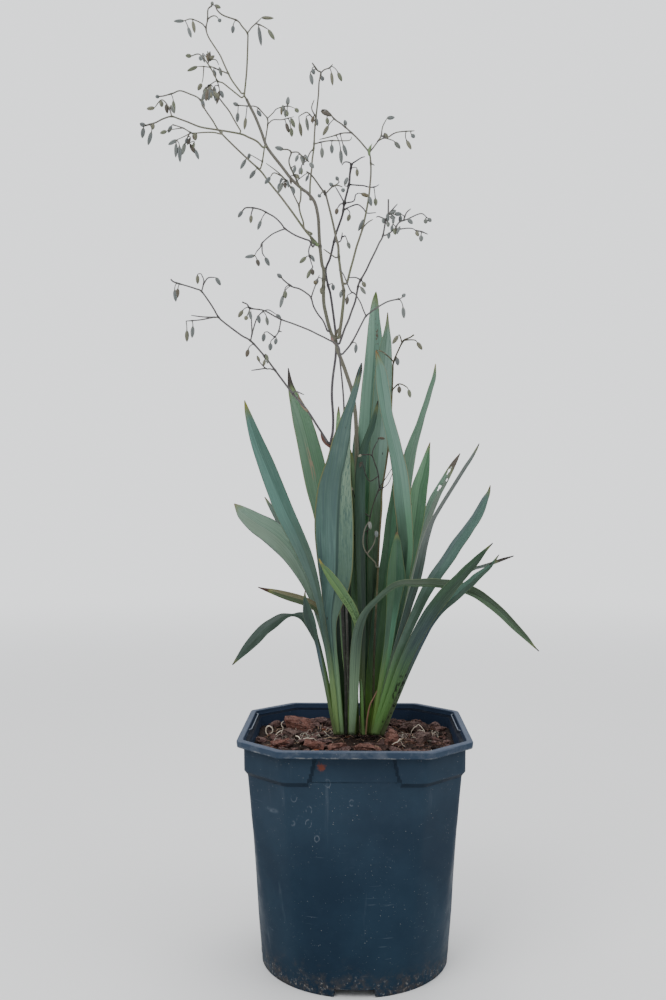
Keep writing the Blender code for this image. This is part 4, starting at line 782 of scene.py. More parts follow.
@dataclass(frozen=True)
class Leaf:
    """Strap leaf: rows of (x, z, width) from tip to foot as seen, and how it stands in depth.

    Args:
        name: the solid it stands for.
        rows: (x, z, width across) in mm, tip first.
        foot: depth y of the foot.
        tip: depth y of the tip.
        turn: degrees that the blade faces away from the front view.
        fold: depth of the V fold as a share of the half-width.
        power: how late the blade leaves the depth of its foot.
        finish: its colours.
        crease: (share of the length from the foot, place across from -1 to 1) of the fold line.
        depths: depth of every row, in place of foot, tip and power.
        wave: height of the slow waves of the edges, in mm.
        holes: (share along, place across, length mm, width mm) of holes eaten in the blade.
    """

    name: str
    rows: list[tuple[float, float, float]]
    foot: float
    tip: float
    turn: float
    fold: float
    power: float
    finish: LeafFinish
    crease: tuple[tuple[float, float], ...] = ((0.0, 0.0), (1.0, 0.0))
    depths: tuple[float, ...] = ()
    wave: float = 0.35
    holes: tuple[tuple[float, float, float, float], ...] = ()

    def surface(self, seed: int) -> tuple[np.ndarray, np.ndarray, np.ndarray, np.ndarray]:
        """Middle surface of the blade on a grid of its length and its width.

        Along the centre line, a point at u from -1 to 1 across lies u w / 2 along the line's normal in the
        view, at depth y = foot + (tip - foot) s ** power + w / 2 (u tan(turn) - fold F(u)) g(s), with F
        falling evenly from 1 at the crease to 0 at each edge and g easing the fold in above the foot. Slow
        sine waves move the edges, and the foot curls into a small channel.

        Args:
            seed: number for its edge waves.

        Returns:
            The points, the share along each row, the share across each column, and (u w / 2, mm along).
        """
        rng = np.random.default_rng(seed)
        rows = np.column_stack([self.rows, self.depths]) if self.depths else self.rows
        line, length = smooth_curve(rows, BLADE_ROWS)
        way = np.gradient(line[:, :2], axis=0)
        way /= np.linalg.norm(way, axis=1)[:, None]
        s = np.linspace(1, 0, BLADE_ROWS)[:, None]
        depth = line[:, 3:] if self.depths else self.foot + (self.tip - self.foot) * s**self.power
        grow = smooth(s * 3.2 - 0.55, 0.0, 1.0)
        half = np.maximum(line[:, 2:3], 0.5) / 2
        crease = np.interp(s, *np.transpose(self.crease))

        share = np.linspace(0, 1, BLADE_COLUMNS)[None]
        u = np.where(share < 0.5, -1 + 2 * share * (crease + 1), crease + (2 * share - 1) * (1 - crease))
        away = 1 - np.abs(2 * share - 1)
        folded = np.sqrt(away**2 + FOLD_SOFTNESS) - math.sqrt(FOLD_SOFTNESS)
        lean = u * math.tan(math.radians(self.turn)) - self.fold * folded
        phase = rng.uniform(0, 6, 2)
        left, right = (np.sin(s * rate + start) for rate, start in zip(WAVE_RATES, phase))
        ripple = self.wave * np.minimum(half, 6) / 6 * (1 - away) ** 2 * np.where(share < 0.5, left, right)
        channel = 0.36 * (1 - grow) * u**2 * np.minimum(half, 2.2)
        y = depth + (half * lean + ripple) * grow + channel
        x = line[:, :1] - u * half * way[:, 1:2]
        z = line[:, 1:2] + u * half * way[:, :1]
        return seen(x, z, y), s, share, np.stack([u * half, np.broadcast_to(s * length, u.shape)], -1)

    def kept(self, s: np.ndarray, mm: np.ndarray) -> np.ndarray:
        """Which cells of the grid are left by the holes, with a border of empty cells all round.

        Args:
            s: share along each row.
            mm: millimetres across and along at each point of the grid.

        Returns:
            Array of bool; a cell is gone if (da / (long / 2)) ** 2 + (db / (wide / 2)) ** 2 < 1, with da and
            db the distances of its middle from the hole's, along and across.
        """
        along = (mm[:-1, :-1, 1] + mm[1:, :-1, 1]) / 2
        across = (mm[:-1, :-1, 0] + mm[:-1, 1:, 0]) / 2
        length, half = mm[0, 0, 1] / s[0, 0], np.abs(mm[:-1, :1, 0])
        left = np.ones(along.shape, bool)
        for a, b, long, wide in self.holes:
            off = ((along - a * length) / (long / 2)) ** 2 + ((across - b * half) / (wide / 2)) ** 2
            left &= off >= 1
        return np.pad(left, 1)

    def mesh(self, seed: int) -> MeshData:
        """Closed thin blade, t = 0.22 + 0.62 (1 - |c|) ** 1.5 mm thick, with c the distance from the crease.

        Args:
            seed: number for its edge waves.

        Returns:
            Its front, its back and the walls between them, with the maps "mm" and "share".
        """
        middle, s, share, mm = self.surface(seed)
        normal = np.cross(np.gradient(middle, axis=1), np.gradient(middle, axis=0))
        normal /= np.linalg.norm(normal, axis=2, keepdims=True)
        normal *= np.where(normal[..., 1:2] > 0, -1, 1)
        away = 1 - np.abs(2 * share - 1)
        taper = np.interp(s, [0, 0.12, 0.97, 1.0], [1.25, 1.0, 0.8, 0.4])
        thick = (EDGE_THICK + FOLD_THICK * away**1.5) * taper
        half_wall = normal * thick[..., None] * 0.5
        points = np.concatenate([(middle + half_wall).reshape(-1, 3), (middle - half_wall).reshape(-1, 3)])

        kept, count = self.kept(s, mm), BLADE_ROWS * BLADE_COLUMNS
        i, j = np.nonzero(kept[1:-1, 1:-1])
        corner = np.array([(0, 0), (0, 1), (1, 1), (1, 0)])
        front = (i[:, None] + corner[:, 0]) * BLADE_COLUMNS + j[:, None] + corner[:, 1]
        faces = [front, front[:, ::-1] + count]
        for a, b, down, over in ((0, 1, -1, 0), (1, 2, 0, 1), (2, 3, 1, 0), (3, 0, 0, -1)):
            edge = front[~kept[i + 1 + down, j + 1 + over]]
            faces.append(np.stack([edge[:, b], edge[:, a], edge[:, a] + count, edge[:, b] + count], -1))
        faces = np.vstack(faces)
        corners = faces.ravel() % count
        shares = np.stack(np.broadcast_arrays(share, s), -1)
        maps = {"mm": mm.reshape(-1, 2)[corners], "share": shares.reshape(-1, 2)[corners]}
        return MeshData(points, faces.tolist(), maps)


LEAVES = (
    Leaf("leaf_left_tall", [(-90, 451.5, 0.8), (-87, 440, 5.2), (-80.5, 420, 10.3), (-72.7, 400, 13.5),
     (-65, 380, 14.8), (-57, 360, 15.1), (-47.5, 340, 13.7), (-40, 323, 12), (-32.7, 302, 8),
     (-27.5, 280, 5), (-25.3, 265, 4.8), (-22.4, 250, 4.8), (-19.4, 230, 4.4), (-17.2, 212, 4.2),
     (-15.6, 195, 4), (-14, FOOT, 4)], -9.4, -32, -25, 0.3, 1.3, LeafFinish("#4f6d63", "#4a6353", "#95b971",
     "#8a8a40", 0.3, 0.1, 0.2, "#5f7048", 0.3, ("#5a897d", "#487064")), ((0.0, 0.0), (0.4, 0.1), (0.6, 0.25),
     (0.85, -0.1), (1.0, 0.0))),
    Leaf("leaf_left_pale", [(-98.5, 367, 0.8), (-94.5, 363, 7), (-90, 358.5, 12), (-80, 351, 17),
     (-70, 345, 19.5), (-60, 337, 20.5), (-51, 326.5, 18), (-43.5, 314, 14.5), (-37.5, 301, 10.5),
     (-32.5, 287, 7), (-28.5, 272, 5), (-24, 255, 4.3), (-19.8, 235, 4), (-17, 210, 4), (-14.4, FOOT, 4)],
     0.0, 42, 18, 0.2, 1.3, LeafFinish("#819a84", "#7a9982", "#8dab67", "#8b7e66", 0.02, 0.15, 0.5,
     "#4d4450"), wave=0.5),
    Leaf("leaf_left_sliver", [(-73.5, 372.5, 0.7), (-69.5, 366, 3), (-64, 356, 4), (-58, 345, 4.4),
     (-50, 330, 4.4), (-40, 308, 4.2), (-32, 285, 4), (-27, 268, 3.6), (-20.5, 235, 3.2), (-16, 205, 3),
     (-13, FOOT, 3)], 3.0, 66, 25, 0.2, 1.4, LeafFinish("#5c6e64", "#52665b", "#5f7f42", "#6b5b45", 0.1)),
    Leaf("leaf_back_left", [(-54.2, 478, 0.8), (-51.8, 462, 5.5), (-44.4, 440, 14.2), (-41.5, 430, 16.3),
     (-38.8, 420, 17.5), (-34, 400, 19.4), (-30, 380, 19), (-25.5, 360, 17), (-22, 335, 14),
     (-19.5, 310, 10), (-17.5, 280, 6.5), (-15, 250, 5), (-13, 220, 4.5), (-11.5, 200, 4), (-10, FOOT, 4)],
     5.6, 64, 24, 0.22, 1.3, LeafFinish("#6c9071", "#65906b", "#6a8e49", "#4a4540", 0.75, 0.35, 0.3,
     "#8a8f4c")),
    Leaf("leaf_centre_broad", [(5.7, 482, 0.8), (4.2, 475, 3.9), (1.2, 463, 5.1), (-2.5, 450, 6.5),
     (-5.8, 440, 8.4), (-8.2, 430, 11.2), (-10.3, 420, 14.6), (-11.9, 410, 17.2), (-13.2, 400, 20.2),
     (-14.8, 390, 24.2), (-16.1, 380, 27.7), (-16.7, 368, 30.2), (-16.9, 355, 31.8), (-16.7, 342, 31.8),
     (-16.1, 328, 30.4), (-15.6, 312, 27.7), (-16.1, 298, 23.2), (-18, 284, 16), (-19, 270, 9),
     (-17.5, 250, 6), (-15.5, 230, 6), (-13.3, 208, 5), (-10.6, FOOT, 4)], -7.0, -26, -14, 0.3, 1.3,
     LeafFinish("#5e8179", "#5e7d6a", "#9dc78c", "#38352e", 0.5, 0.25, 0.3, "#85854c", 0.3,
     ("#4a665e", "#809b82")), ((0.0, 0.0), (0.38, -0.02), (0.5, 0.1), (0.62, 0.24), (0.7, 0.32),
     (0.76, 0.66), (0.8, 0.9), (1.0, 0.94))),
    Leaf("leaf_centre_sliver", [(-13, 446.5, 0.7), (-13.2, 438, 3.2), (-14, 420, 4), (-14.5, 400, 4.5),
     (-14, 340, 5), (-12.5, 300, 5), (-11, 283, 4), (-9, 250, 3.5), (-6.5, 225, 3.5), (-4, FOOT, 3.4)], 2.6,
     20, 10, 0.15, 1.3, LeafFinish("#9ecc93", "#b1dea2", "#afe67d", "#6b5b45", 0.2, 0.15, 0.4, "#8a7c52",
     0.6)),
    Leaf("leaf_olive_sliver", [(-4.5, 414, 0.7), (-3.2, 404, 4.5), (-2.2, 388, 6.6), (-1.2, 365, 7.6),
     (-0.6, 340, 7.6), (0, 310, 6.6), (0, 270, 5), (0.2, 230, 3.6), (1, FOOT, 3)], 0.0, 4, 10, 0.15, 1.3,
     LeafFinish("#6fa06f", "#93c58a", "#586a34", "#8f8c4a", 0.4, 0.3, 0.1, "#8a8a4c", 0.6,
     ("#45603f", "#8aac7d"))),
    Leaf("leaf_tallest", [(17.5, 540, 0.8), (17, 535, 4), (16.5, 527, 7), (16.2, 520, 8.5),
     (16.2, 512, 10.5), (16.3, 500, 13), (15.5, 480, 15.5), (14, 460, 17), (12.8, 440, 18), (11.5, 420, 18),
     (9.5, 380, 16), (8.5, 340, 13), (9, 300, 9.5), (9, 270, 7.5), (9.2, 240, 6.5), (10.5, 210, 5.5),
     (12.6, FOOT, 4.4)], 10.4, 46, 14, 0.25, 1.3, LeafFinish("#579463", "#4c8656", "#2d5d1d", "#5d7035",
     0.15, 0.35, 0.2, "#7b8a4c", 0.85, ("#89b39c", "#6a937f"))),
    Leaf("leaf_second_tallest", [(27, 523, 0.8), (26.8, 515, 2.6), (26.5, 508, 5), (26, 500, 8),
     (25, 490, 11), (23.5, 470, 14.5), (22.5, 450, 16), (21, 430, 16), (19, 405, 14), (17.5, 380, 11),
     (16, 355, 10), (15, 330, 9), (14.5, 300, 8), (14, 270, 6.5), (13.5, 240, 5.5), (13.5, 210, 5),
     (14, FOOT, 4.4)], 8.0, 27, 12, 0.2, 1.3, LeafFinish("#60855a", "#46603c", "#3d5d2f", "#6b6448", 0.2,
     0.2, 0.3, "#7b8a5c", 0.85, ("#698975", "#7c9d8d"))),
    Leaf("leaf_right_front_tall", [(17.5, 492, 0.8), (20, 482, 5.5), (21.5, 475, 8.5), (22.8, 465, 10.3),
     (24.8, 452, 10.3), (26.3, 441, 9.4), (29, 430, 9.7), (31.5, 420, 10.5), (34.2, 407, 11.3),
     (36.5, 395, 12.5), (37.8, 385, 13.2), (39, 370, 13.8), (40.5, 355, 13), (41.5, 340, 12.5),
     (41.5, 325, 12), (39.5, 305, 10), (35, 280, 8), (29, 250, 6.5), (22, 220, 5.5), (16, 195, 4.5),
     (13.5, FOOT, 4)], -4.8, -24, -18, 0.25, 1.3, LeafFinish("#30553b", "#558862", "#597726", "#8a6438", 0.1,
     0.2, 0.2, "#a08a5a", 0.5, ("#6e9783", "#759a89")), ((0.0, 0.0), (0.5, 0.3), (0.8, -0.2), (1.0, 0.0))),
    Leaf("leaf_dark_inner", [(19, 451, 0.7), (17.8, 444, 2.8), (14, 430, 5.2), (11, 422, 5.4),
     (8.3, 414, 6.2), (5.5, 400, 8), (4.5, 380, 8.6), (4.5, 350, 8.6), (5, 320, 7.6), (5.5, 300, 7),
     (6, 270, 6), (6, 240, 5), (6, 210, 4), (6, FOOT, 3)], -6.2, -11, 10, 0.2, 1.3, LeafFinish("#334e31",
     "#132a1a", "#657d43", "#2f2f28", 0.1, 0.1, 0.1, "#4a5f3c", 0.7, ("#30503b", "#274839"))),
    Leaf("leaf_right_back_tall", [(66, 481, 0.8), (64.8, 470, 3.3), (62, 461, 4), (58.8, 450, 4.6),
     (55.5, 440, 5), (52.5, 430, 6), (49, 420, 7.6), (46.8, 413, 8.8), (45.2, 407, 9.8), (42, 390, 11),
     (39.5, 370, 11), (37, 340, 10), (33, 300, 8), (28, 260, 6.5), (22, 220, 5), (17, FOOT, 4)], 5.8, 46, 28,
     0.25, 1.3, LeafFinish("#6b9076", "#6f9179", "#5f8a40", "#a99a70", 0.02, 0.1, 0.3, "#a5a070", 0.5)),
    Leaf("leaf_right_pointed", [(61.5, 417, 0.7), (59.8, 410, 3.4), (57.8, 400, 7.2), (55.5, 390, 10.6),
     (53, 380, 13), (51, 365, 14), (49, 350, 13.5), (46.5, 335, 12), (43.5, 318, 10), (40, 300, 8.5),
     (35, 275, 7.5), (28.5, 245, 6), (21.5, 212, 5), (16, FOOT, 4)], 1.4, 8, 8, 0.3, 1.3,
     LeafFinish("#7aa980", "#477850", "#557c3c", "#7a5a3a", 0.1, 0.2, 0.2, "#8f9a55", 0.5)),
    Leaf("leaf_right_torn", [(86, 408, 0.7), (81, 400, 4), (76.5, 392, 5.5), (71.5, 383, 6.5), (68, 377, 7),
     (64.5, 370, 8), (60.5, 360, 8), (56.5, 350, 8), (51.5, 335, 7.5), (46, 315, 7), (40, 290, 6.5),
     (32, 255, 5.5), (24, 220, 5), (16.5, FOOT, 4)], 3.6, 30, 25, 0.25, 1.3, LeafFinish("#7b9b84", "#788777",
     "#557c3c", "#6a6258", 0.8, 0.5, 0.3, "#8a8570"), holes=((0.93, -0.15, 6.0, 1.5),
     (0.865, -0.2, 5.0, 2.0), (0.9, 0.5, 3.0, 1.0))),
    Leaf("leaf_right_edge_on", [(101.5, 416, 0.7), (99, 411, 1.8), (95, 404, 2.6), (90, 396.5, 3),
     (80, 380.5, 3), (70, 364.5, 3.2), (64, 354, 3.5), (60, 344, 5), (56.5, 332, 6), (53.5, 318, 7),
     (50, 303, 7), (44, 283, 6), (35, 252, 5), (25.5, 218, 4.5), (17, FOOT, 4)], -10.4, -17, 26, 0.1, 1.3,
     LeafFinish("#40544d", "#293f33", "#557a40", "#4a4440", 0.1, 0.2, 0.2, "#a7a79a", 0.4,
     ("#727874", "#6d7270"))),
    Leaf("leaf_right_broad", [(110.5, 382, 0.7), (109, 376, 3), (106, 370, 5.5), (102.5, 362, 7.5),
     (98.7, 355, 8.2), (94.5, 349, 8.5), (89.7, 342, 9.3), (83, 333, 10), (78, 325, 10.2), (73.2, 318, 10),
     (68, 311, 10), (64, 305, 10), (57, 293, 9), (50, 278, 8), (42, 260, 7), (34, 240, 6), (27, 217, 5.5),
     (20.5, 195, 5), (16.5, FOOT, 4.4)], -14.4, -40, -16, 0.25, 1.3, LeafFinish("#476351", "#435f4a",
     "#6a9b50", "#6a6048", 0.12, 0.15, 0.35, "#8a8c62", 0.25, ("#5b716f", "#517268")), ((0.0, 0.0),
     (0.5, 0.1), (0.8, -0.45), (1.0, -0.2))),
    Leaf("leaf_right_low_front", [(112.5, 335, 0.7), (106, 328.5, 3), (101, 323, 5.5), (96, 317.5, 7),
     (91, 312.5, 8), (86, 307, 8.5), (80, 300.5, 9.5), (74, 293.5, 11), (68, 286, 11), (60, 275, 11),
     (50, 257, 10), (41, 238, 9), (31, 213, 7), (22, 190, 5.5), (17.5, FOOT, 4.6)], -18.4, -84, -22, 0.25,
     1.15, LeafFinish("#2a403c", "#2a3e41", "#6a9950", "#2a2722", 0.2, 0.35, 0.05, "#5f6c40", 0.0,
     ("#2c4b2f", "#233d26")), ((0.0, 0.0), (0.4, -0.2), (1.0, 0.1))),
    Leaf("leaf_right_low", [(117.5, 325.5, 0.7), (113.5, 320, 2.2), (109, 315, 4), (104, 311, 5.2),
     (99, 307, 6.7), (95, 303, 7.2), (90, 299, 7.6), (85, 294.5, 8), (80, 290, 8), (70, 281.5, 8),
     (61, 270, 8), (54, 257, 8), (46.5, 241, 7.5), (40, 226, 7), (34, 211, 6.5), (28, 197, 6.6),
     (24, 187, 7), (20.5, FOOT, 6.5)], -16.0, -66, -14, 0.2, 1.15, LeafFinish("#52697e", "#495c6c",
     "#708558", "#5a5140", 0.1, 0.9, 0.3, "#6f7c48", 0.15, ("#4a7160", "#385442"))),
    Leaf("leaf_right_dry_tip", [(129.5, 324.5, 0.8), (120, 321.5, 2.4), (112, 318.5, 2.6), (104, 316, 2.6),
     (96, 313.5, 2.6), (85, 306, 2.6), (70, 292, 2.6), (55, 272, 2.6), (42, 248, 2.6), (30, 215, 2.6),
     (20, FOOT, 2.6)], -12.6, -14, 30, 0.1, 1.3, LeafFinish("#5c6761", "#6a736e", "#557c3c", "#4c4843", 1.0,
     0.2, 0.2)),
    Leaf("leaf_arching", [(150, 247, 0.8), (146, 250.8, 1.6), (140, 257.5, 4), (130, 267.5, 6.2),
     (120, 277.8, 7.2), (110, 286.3, 7.8), (100, 293.5, 8.2), (90, 298, 8.2), (80, 301, 7.8), (70, 302, 7.4),
     (60, 302.8, 7), (50, 302.3, 6.4), (40, 302.5, 5.2), (32, 300, 5), (25, 295, 4.5), (18, 288.5, 4.5),
     (10, 280, 5), (5, 270, 7), (2, 258, 8.3), (0.5, 240, 8.5), (-0.5, 215, 7.4), (-1.5, 195, 6),
     (-2.5, FOOT, 4.6)], -13.0, -54, -10, 0.25, 1.0, LeafFinish("#475d4b", "#3c5140", "#88a781", "#26231f",
     0.15, 0.3, 0.1, "#7c8a60", 0.1, ("#2f4225", "#506849"), 0.36), ((0.0, 0.0), (0.42, 0.0), (0.5, 0.6),
     (0.72, 0.6), (0.8, 0.0), (1.0, 0.0)), [-54, -53.5, -52, -51, -50, -49, -48, -46.5, -45.5, -44.5, -43.5,
     -41.5, -39, -37, -34, -31, -27.5, -24, -21, -18, -16, -14.4, -13]),
    Leaf("leaf_left_low", [(-100, 235, 0.8), (-94.5, 241.5, 4), (-88, 249, 7.5), (-81, 256.5, 9.5),
     (-74, 264, 9.5), (-67, 269, 9), (-60, 273.8, 7), (-55, 275.5, 4), (-50.5, 276, 2.4), (-45, 275.8, 5.5),
     (-40, 273.5, 8), (-35.5, 267, 8), (-32, 258, 5), (-29, 250, 3.5), (-24, 230, 3), (-19, 205, 3),
     (-13.4, FOOT, 3)], -4.6, -24, 20, 0.2, 1.1, LeafFinish("#263b2d", "#2b3e34", "#6a9245", "#4a443a", 0.1,
     0.3, 0.25, "#606a50")),
    Leaf("leaf_left_small", [(-40.5, 295.5, 0.7), (-40.5, 290, 2.6), (-39.3, 283, 6), (-37.8, 276, 8.5),
     (-35.5, 268, 8.5), (-33, 260, 5.5), (-31, 253, 3), (-27.5, 236, 2.6), (-24, 220, 2.5),
     (-19.5, 197, 2.5), (-15.8, FOOT, 2.4)], -11.8, -34, -12, 0.2, 1.1, LeafFinish("#506486", "#576d91",
     "#6f8850", "#6a4a32", 0.25, 0.2, 0.2, "#707a5a", 0.3, ("#243c34", "#2d473b"))),
    Leaf("leaf_left_yellowing", [(-79, 298.7, 0.7), (-73, 296.8, 2.5), (-65, 294.6, 5), (-55, 291.6, 7),
     (-45, 288.7, 7.5), (-38, 286, 7), (-32, 282.5, 6.5), (-26, 276, 6), (-22.5, 265, 5), (-20, 250, 4.5),
     (-17.5, 230, 4), (-14.5, 205, 3.6), (-12, FOOT, 3.5)], -2.2, 12, 20, 0.2, 1.3, LeafFinish("#4b592f",
     "#6f6740", "#7b9749", "#4a3226", 0.8, 0.6, 0.05, "#6a3a28", 0.2)),
    Leaf("leaf_front_short", [(-29, 322, 0.7), (-26.5, 317, 2.4), (-22, 311, 5.8), (-17, 304, 7.6),
     (-12, 297, 8), (-7, 289.5, 8), (-2, 281.5, 7.4), (1.2, 274, 6.4), (2.8, 266, 5.4), (2.5, 250, 4.6),
     (1.5, 230, 4), (0.5, 205, 4), (-0.8, FOOT, 3.4)], -10.2, -44, -20, 0.2, 2.6, LeafFinish("#7ba35f",
     "#688f58", "#6a8e40", "#a89a50", 0.35, 0.3, 0.15, "#95984f", 0.2)),
    Leaf("leaf_right_short", [(34.5, 344, 0.7), (34.5, 341, 3), (34.5, 335, 6.5), (34.3, 327, 9.5),
     (34, 318, 12.5), (34, 308, 15), (33, 298, 14), (31.5, 285, 11), (29.5, 268, 8.5), (27, 248, 7),
     (23.5, 228, 6), (19.5, 205, 5), (15, FOOT, 4)], -7.0, -22, -4, 0.15, 1.5, LeafFinish("#4d7358",
     "#64a37d", "#7ba34f", "#6a5a40", 0.1, 0.15, 0.2, "#6f7c48", 0.4, ("#446d48", "#305d3f"))),
)

# Thin leaves deep in the clump; their darkest tones are painted shade
INNER_LEAVES = (
    Leaf("inner_leaf_left", [(-14, 400, 0.8), (-13.5, 380, 6), (-13, 350, 10), (-12.5, 320, 12),
     (-11.6, 290, 13.4), (-9.2, 256, 13.6), (-6.6, 223, 12.4), (-5.4, 190, 9), (-5.6, FOOT, 6)], 8.4, 14, -6,
     0.2, 1.3, LeafFinish("#0a2a16", "#0d2611", "#204c12", "#2c2c22", 0.1, 0.2, 0.1, "#3c4c34", 0.5)),
    Leaf("inner_leaf_centre", [(1.5, 432, 0.8), (1.4, 420, 4.5), (1.2, 405, 7), (1, 380, 9), (0.6, 350, 10),
     (-0.4, 320, 9.5), (-1.2, 300, 8.5), (-1.4, 285, 7.5), (-1.2, 256, 7), (0, 223, 5.5), (1.5, 190, 4.5),
     (2, FOOT, 4)], 12.4, 26, 8, 0.2, 1.3, LeafFinish("#496b58", "#568368", "#4e6f33", "#2c2c22", 0.1, 0.2,
     0.1, "#4c5c3c", 0.5, ("#496756", "#2c4636"))),
    Leaf("inner_leaf_right", [(33.5, 400, 0.8), (32.2, 374, 6), (29.8, 353, 9), (27.3, 329, 10),
     (24.4, 305, 12), (22, 288, 13), (18.4, 256, 13), (15, 223, 11.5), (11.8, 190, 8), (11, FOOT, 6)], 4.4,
     21, 12, 0.25, 1.3, LeafFinish("#35613a", "#467342", "#608c30", "#2c2c22", 0.1, 0.2, 0.15, "#5c6c40",
     0.3, ("#4b7352", "#50815e"))),
    Leaf("dry_curled_sheath", [(18.5, 215, 0.5), (15.8, 209, 0.9), (12.6, 202.5, 1.1), (10.4, 192, 1.2),
     (9.5, 182, 1.2), (9.2, FOOT, 1.2)], -15.5, -17.5, 20, 0.5, 1.2, LeafFinish("#9a7565", "#7c5a4c",
     "#99735b", "#7a5a48", 0.1, 0.3, 0.0, "#b09080", 0.0)),
    Leaf("narrow_new_blade", [(5.2, 224, 0.6), (5.8, 215, 1.6), (6.2, 203, 2.2), (6.8, 190, 2.3),
     (7.4, FOOT, 2.2)], -12.5, -13.5, -15, 0.3, 1.2, LeafFinish("#6f927c", "#4c6c5c", "#5f8a40", "#6a8a60",
     0.05, 0.1, 0.3, "#a0a88c", 0.0)),
)

MARKS = {
    "leaf_back_left": (Mark((0.36, 0.50), (207.0, 246.0), (1.2, 15.0), "#a58e76", 0.5),),
    "leaf_tallest": (Mark((0.56, 0.74), (278.0, 345.0), (2.2, 3.2), "#5f4a3a", 0.3),),
    "leaf_right_low_front": (Mark((0.6, 0.9), (6.0, 60.0), (1.5, 3.5), "#14160e", 0.4),),
    "leaf_right_low": (Mark((0.6, 0.9), (6.0, 60.0), (1.5, 3.5), "#14160e", 0.4),),
    "leaf_centre_broad": (Mark((0.54, 0.98), (110.0, 330.0), (0.6, 6.0), "#4a685f", 0.3),
                          Mark((0.06, 0.46), (60.0, 330.0), (0.9, 60.0), "#4c6664", 0.3),
                          # Painted shade: a dark band in the crease of the fold
                          Mark((0.49, 0.56), (60.0, 300.0), (3.0, 200.0), "#2a4440", 1.2)),
    "leaf_front_short": (Mark((0.1, 0.9), (30.0, 120.0), (0.8, 1.2), "#3c5530", 0.3),),
}


@dataclass(frozen=True)
class Foliage:
    """All strap leaves: those that stand for solids and the thin inner ones behind them.

    Args:
        leaves: leaves with a solid each.
        inner: leaves that show only as slivers.
        seed: number for the waves of the first leaf.
        inner_seed: the same for the first inner leaf.
        inner_pattern: number for the patterns of the first inner leaf.
    """

    leaves: tuple[Leaf, ...] = LEAVES
    inner: tuple[Leaf, ...] = INNER_LEAVES
    seed: int = 100
    inner_seed: int = 140
    inner_pattern: int = 31

    def build(self) -> None:
        """Build every leaf."""
        for number, leaf in enumerate(self.leaves):
            self.dress(leaf, self.seed + number, number + 1, leaf.name)
        for number, leaf in enumerate(self.inner):
            self.dress(leaf, self.inner_seed + number, self.inner_pattern + number)

    @staticmethod
    def dress(leaf: Leaf, seed: int, pattern: int, *nodes: str) -> None:
        """Build one leaf.

        Args:
            leaf: the leaf.
            seed: number for its edge waves.
            pattern: number for its patterns.
            *nodes: the solid it stands for, if it has one.
        """
        finish = leaf.finish.material(f"{leaf.name} waxy blade", pattern, MARKS.get(leaf.name, ()))
        place(leaf.mesh(seed).build(f"{leaf.name}_blade", finish), Slot.LEAF, *nodes)


# Flower stems

OLIVE = ("#7b7e63", "#817e6b", "#6c6569")
SMOKY = ("#6c676b", "#777276", "#191513")
DARK = ("#605c5e", "#6e6a6b", "#6a6864")
MOSSY = ("#77744a", "#6a6044", "#15100f")
INK = ("#241b1b", "#33282a", "#3c342e")
BUD_COLOURS = ("#8a9090", "#828889", "#8f938c", "#868b74", "#8f8d78", "#7c8082", "#8e9392")
BROWN_BUDS = ("#75685a", "#6a6058", "#85795f")
INK_BUDS = ("#3a2e26", "#57493a", "#a39c88")
BROWN_BUD_SHARE = 0.14
TWIG_RADIUS = 0.62
STALK_RADIUS = 0.40
BUD_RADIUS = 1.56
BUD_REACH = 1.12
INK_BUD_SIZE = 0.66
BUD_SHAPE = np.array([(0.0, 0.34), (0.05, 0.55), (0.14, 0.82), (0.3, 1.0), (0.5, 1.02), (0.68, 0.9),
                      (0.83, 0.66), (0.93, 0.38), (0.99, 0.14)])
LEAF_SHADE_Z, LEAF_SHADE = (250.0, 350.0), (0.3, 1.0)
STEM_STEP, TWIG_STEP = 1.2, 0.9
JOIN_REACH = 11.0
STALK_ROWS = 9

Line = np.ndarray


def shade_of(hex_colour: str, rng: np.random.Generator, spread: float, stripe: float = 0.0) -> np.ndarray:
    """Linear colour moved a little at random, with its stripe weight."""
    return np.array([*(np.array(pigment(hex_colour)[:3]) * rng.uniform(1 - spread, 1 + spread)), stripe])


def tube(rows: Line, radii: np.ndarray, colours: np.ndarray, sides: int, flat: float = 1.0,
         ridges: float = 0.0) -> MeshData:
    """Closed round or flattened tube along a line as seen from the front.

    Ring k holds points p + r (cos a e1 + flat sin a e2)(1 + ridges cos 3a), with e1 and e2 carried along the
    line with the least turning.

    Args:
        rows: (x, z, y) rows.
        radii: radius at each row.
        colours: (r, g, b, stripe) at each row.
        sides: points in each ring.
        flat: thickness as a share of the width.
        ridges: height of three lengthwise ridges as a share of the radius.

    Returns:
        MeshData with the map "share": round the tube, and along it.
    """
    line = seen(*rows.T)
    way = np.gradient(line, axis=0)
    way /= np.linalg.norm(way, axis=1)[:, None] + TINY
    e1 = np.cross(way[0], (0.13, 0.99, 0.05))
    carried = []
    for ahead in way:
        e1 = e1 - ahead * np.dot(e1, ahead)
        e1 /= np.linalg.norm(e1) + TINY
        carried.append(e1)
    first = np.array(carried)[:, None]
    second = np.cross(way[:, None], first)
    angle = FULL_TURN * np.arange(sides) / sides
    swell = 1 + ridges * np.cos(3 * angle)
    ring = (np.cos(angle) * swell)[:, None] * first + flat * (np.sin(angle) * swell)[:, None] * second
    count = len(line)
    points = line[:, None] + np.asarray(radii)[:, None, None] * ring
    i, j = np.mgrid[0 : count - 1, 0:sides]
    share = [((j + a) / sides, (i + b) / (count - 1)) for a, b in ((0, 0), (1, 0), (1, 1), (0, 1))]
    share = np.array(share).transpose(2, 3, 0, 1).reshape(-1, 2).tolist()
    share += [(0.0, 0.0)] * sides + [(0.0, 1.0)] * sides
    ends = [list(range(sides))[::-1], list(range((count - 1) * sides, count * sides))]
    tones = np.repeat(colours, sides, axis=0).tolist()
    return MeshData(points.reshape(-1, 3).tolist(), strips(count, sides) + ends, {"share": share}, tones)


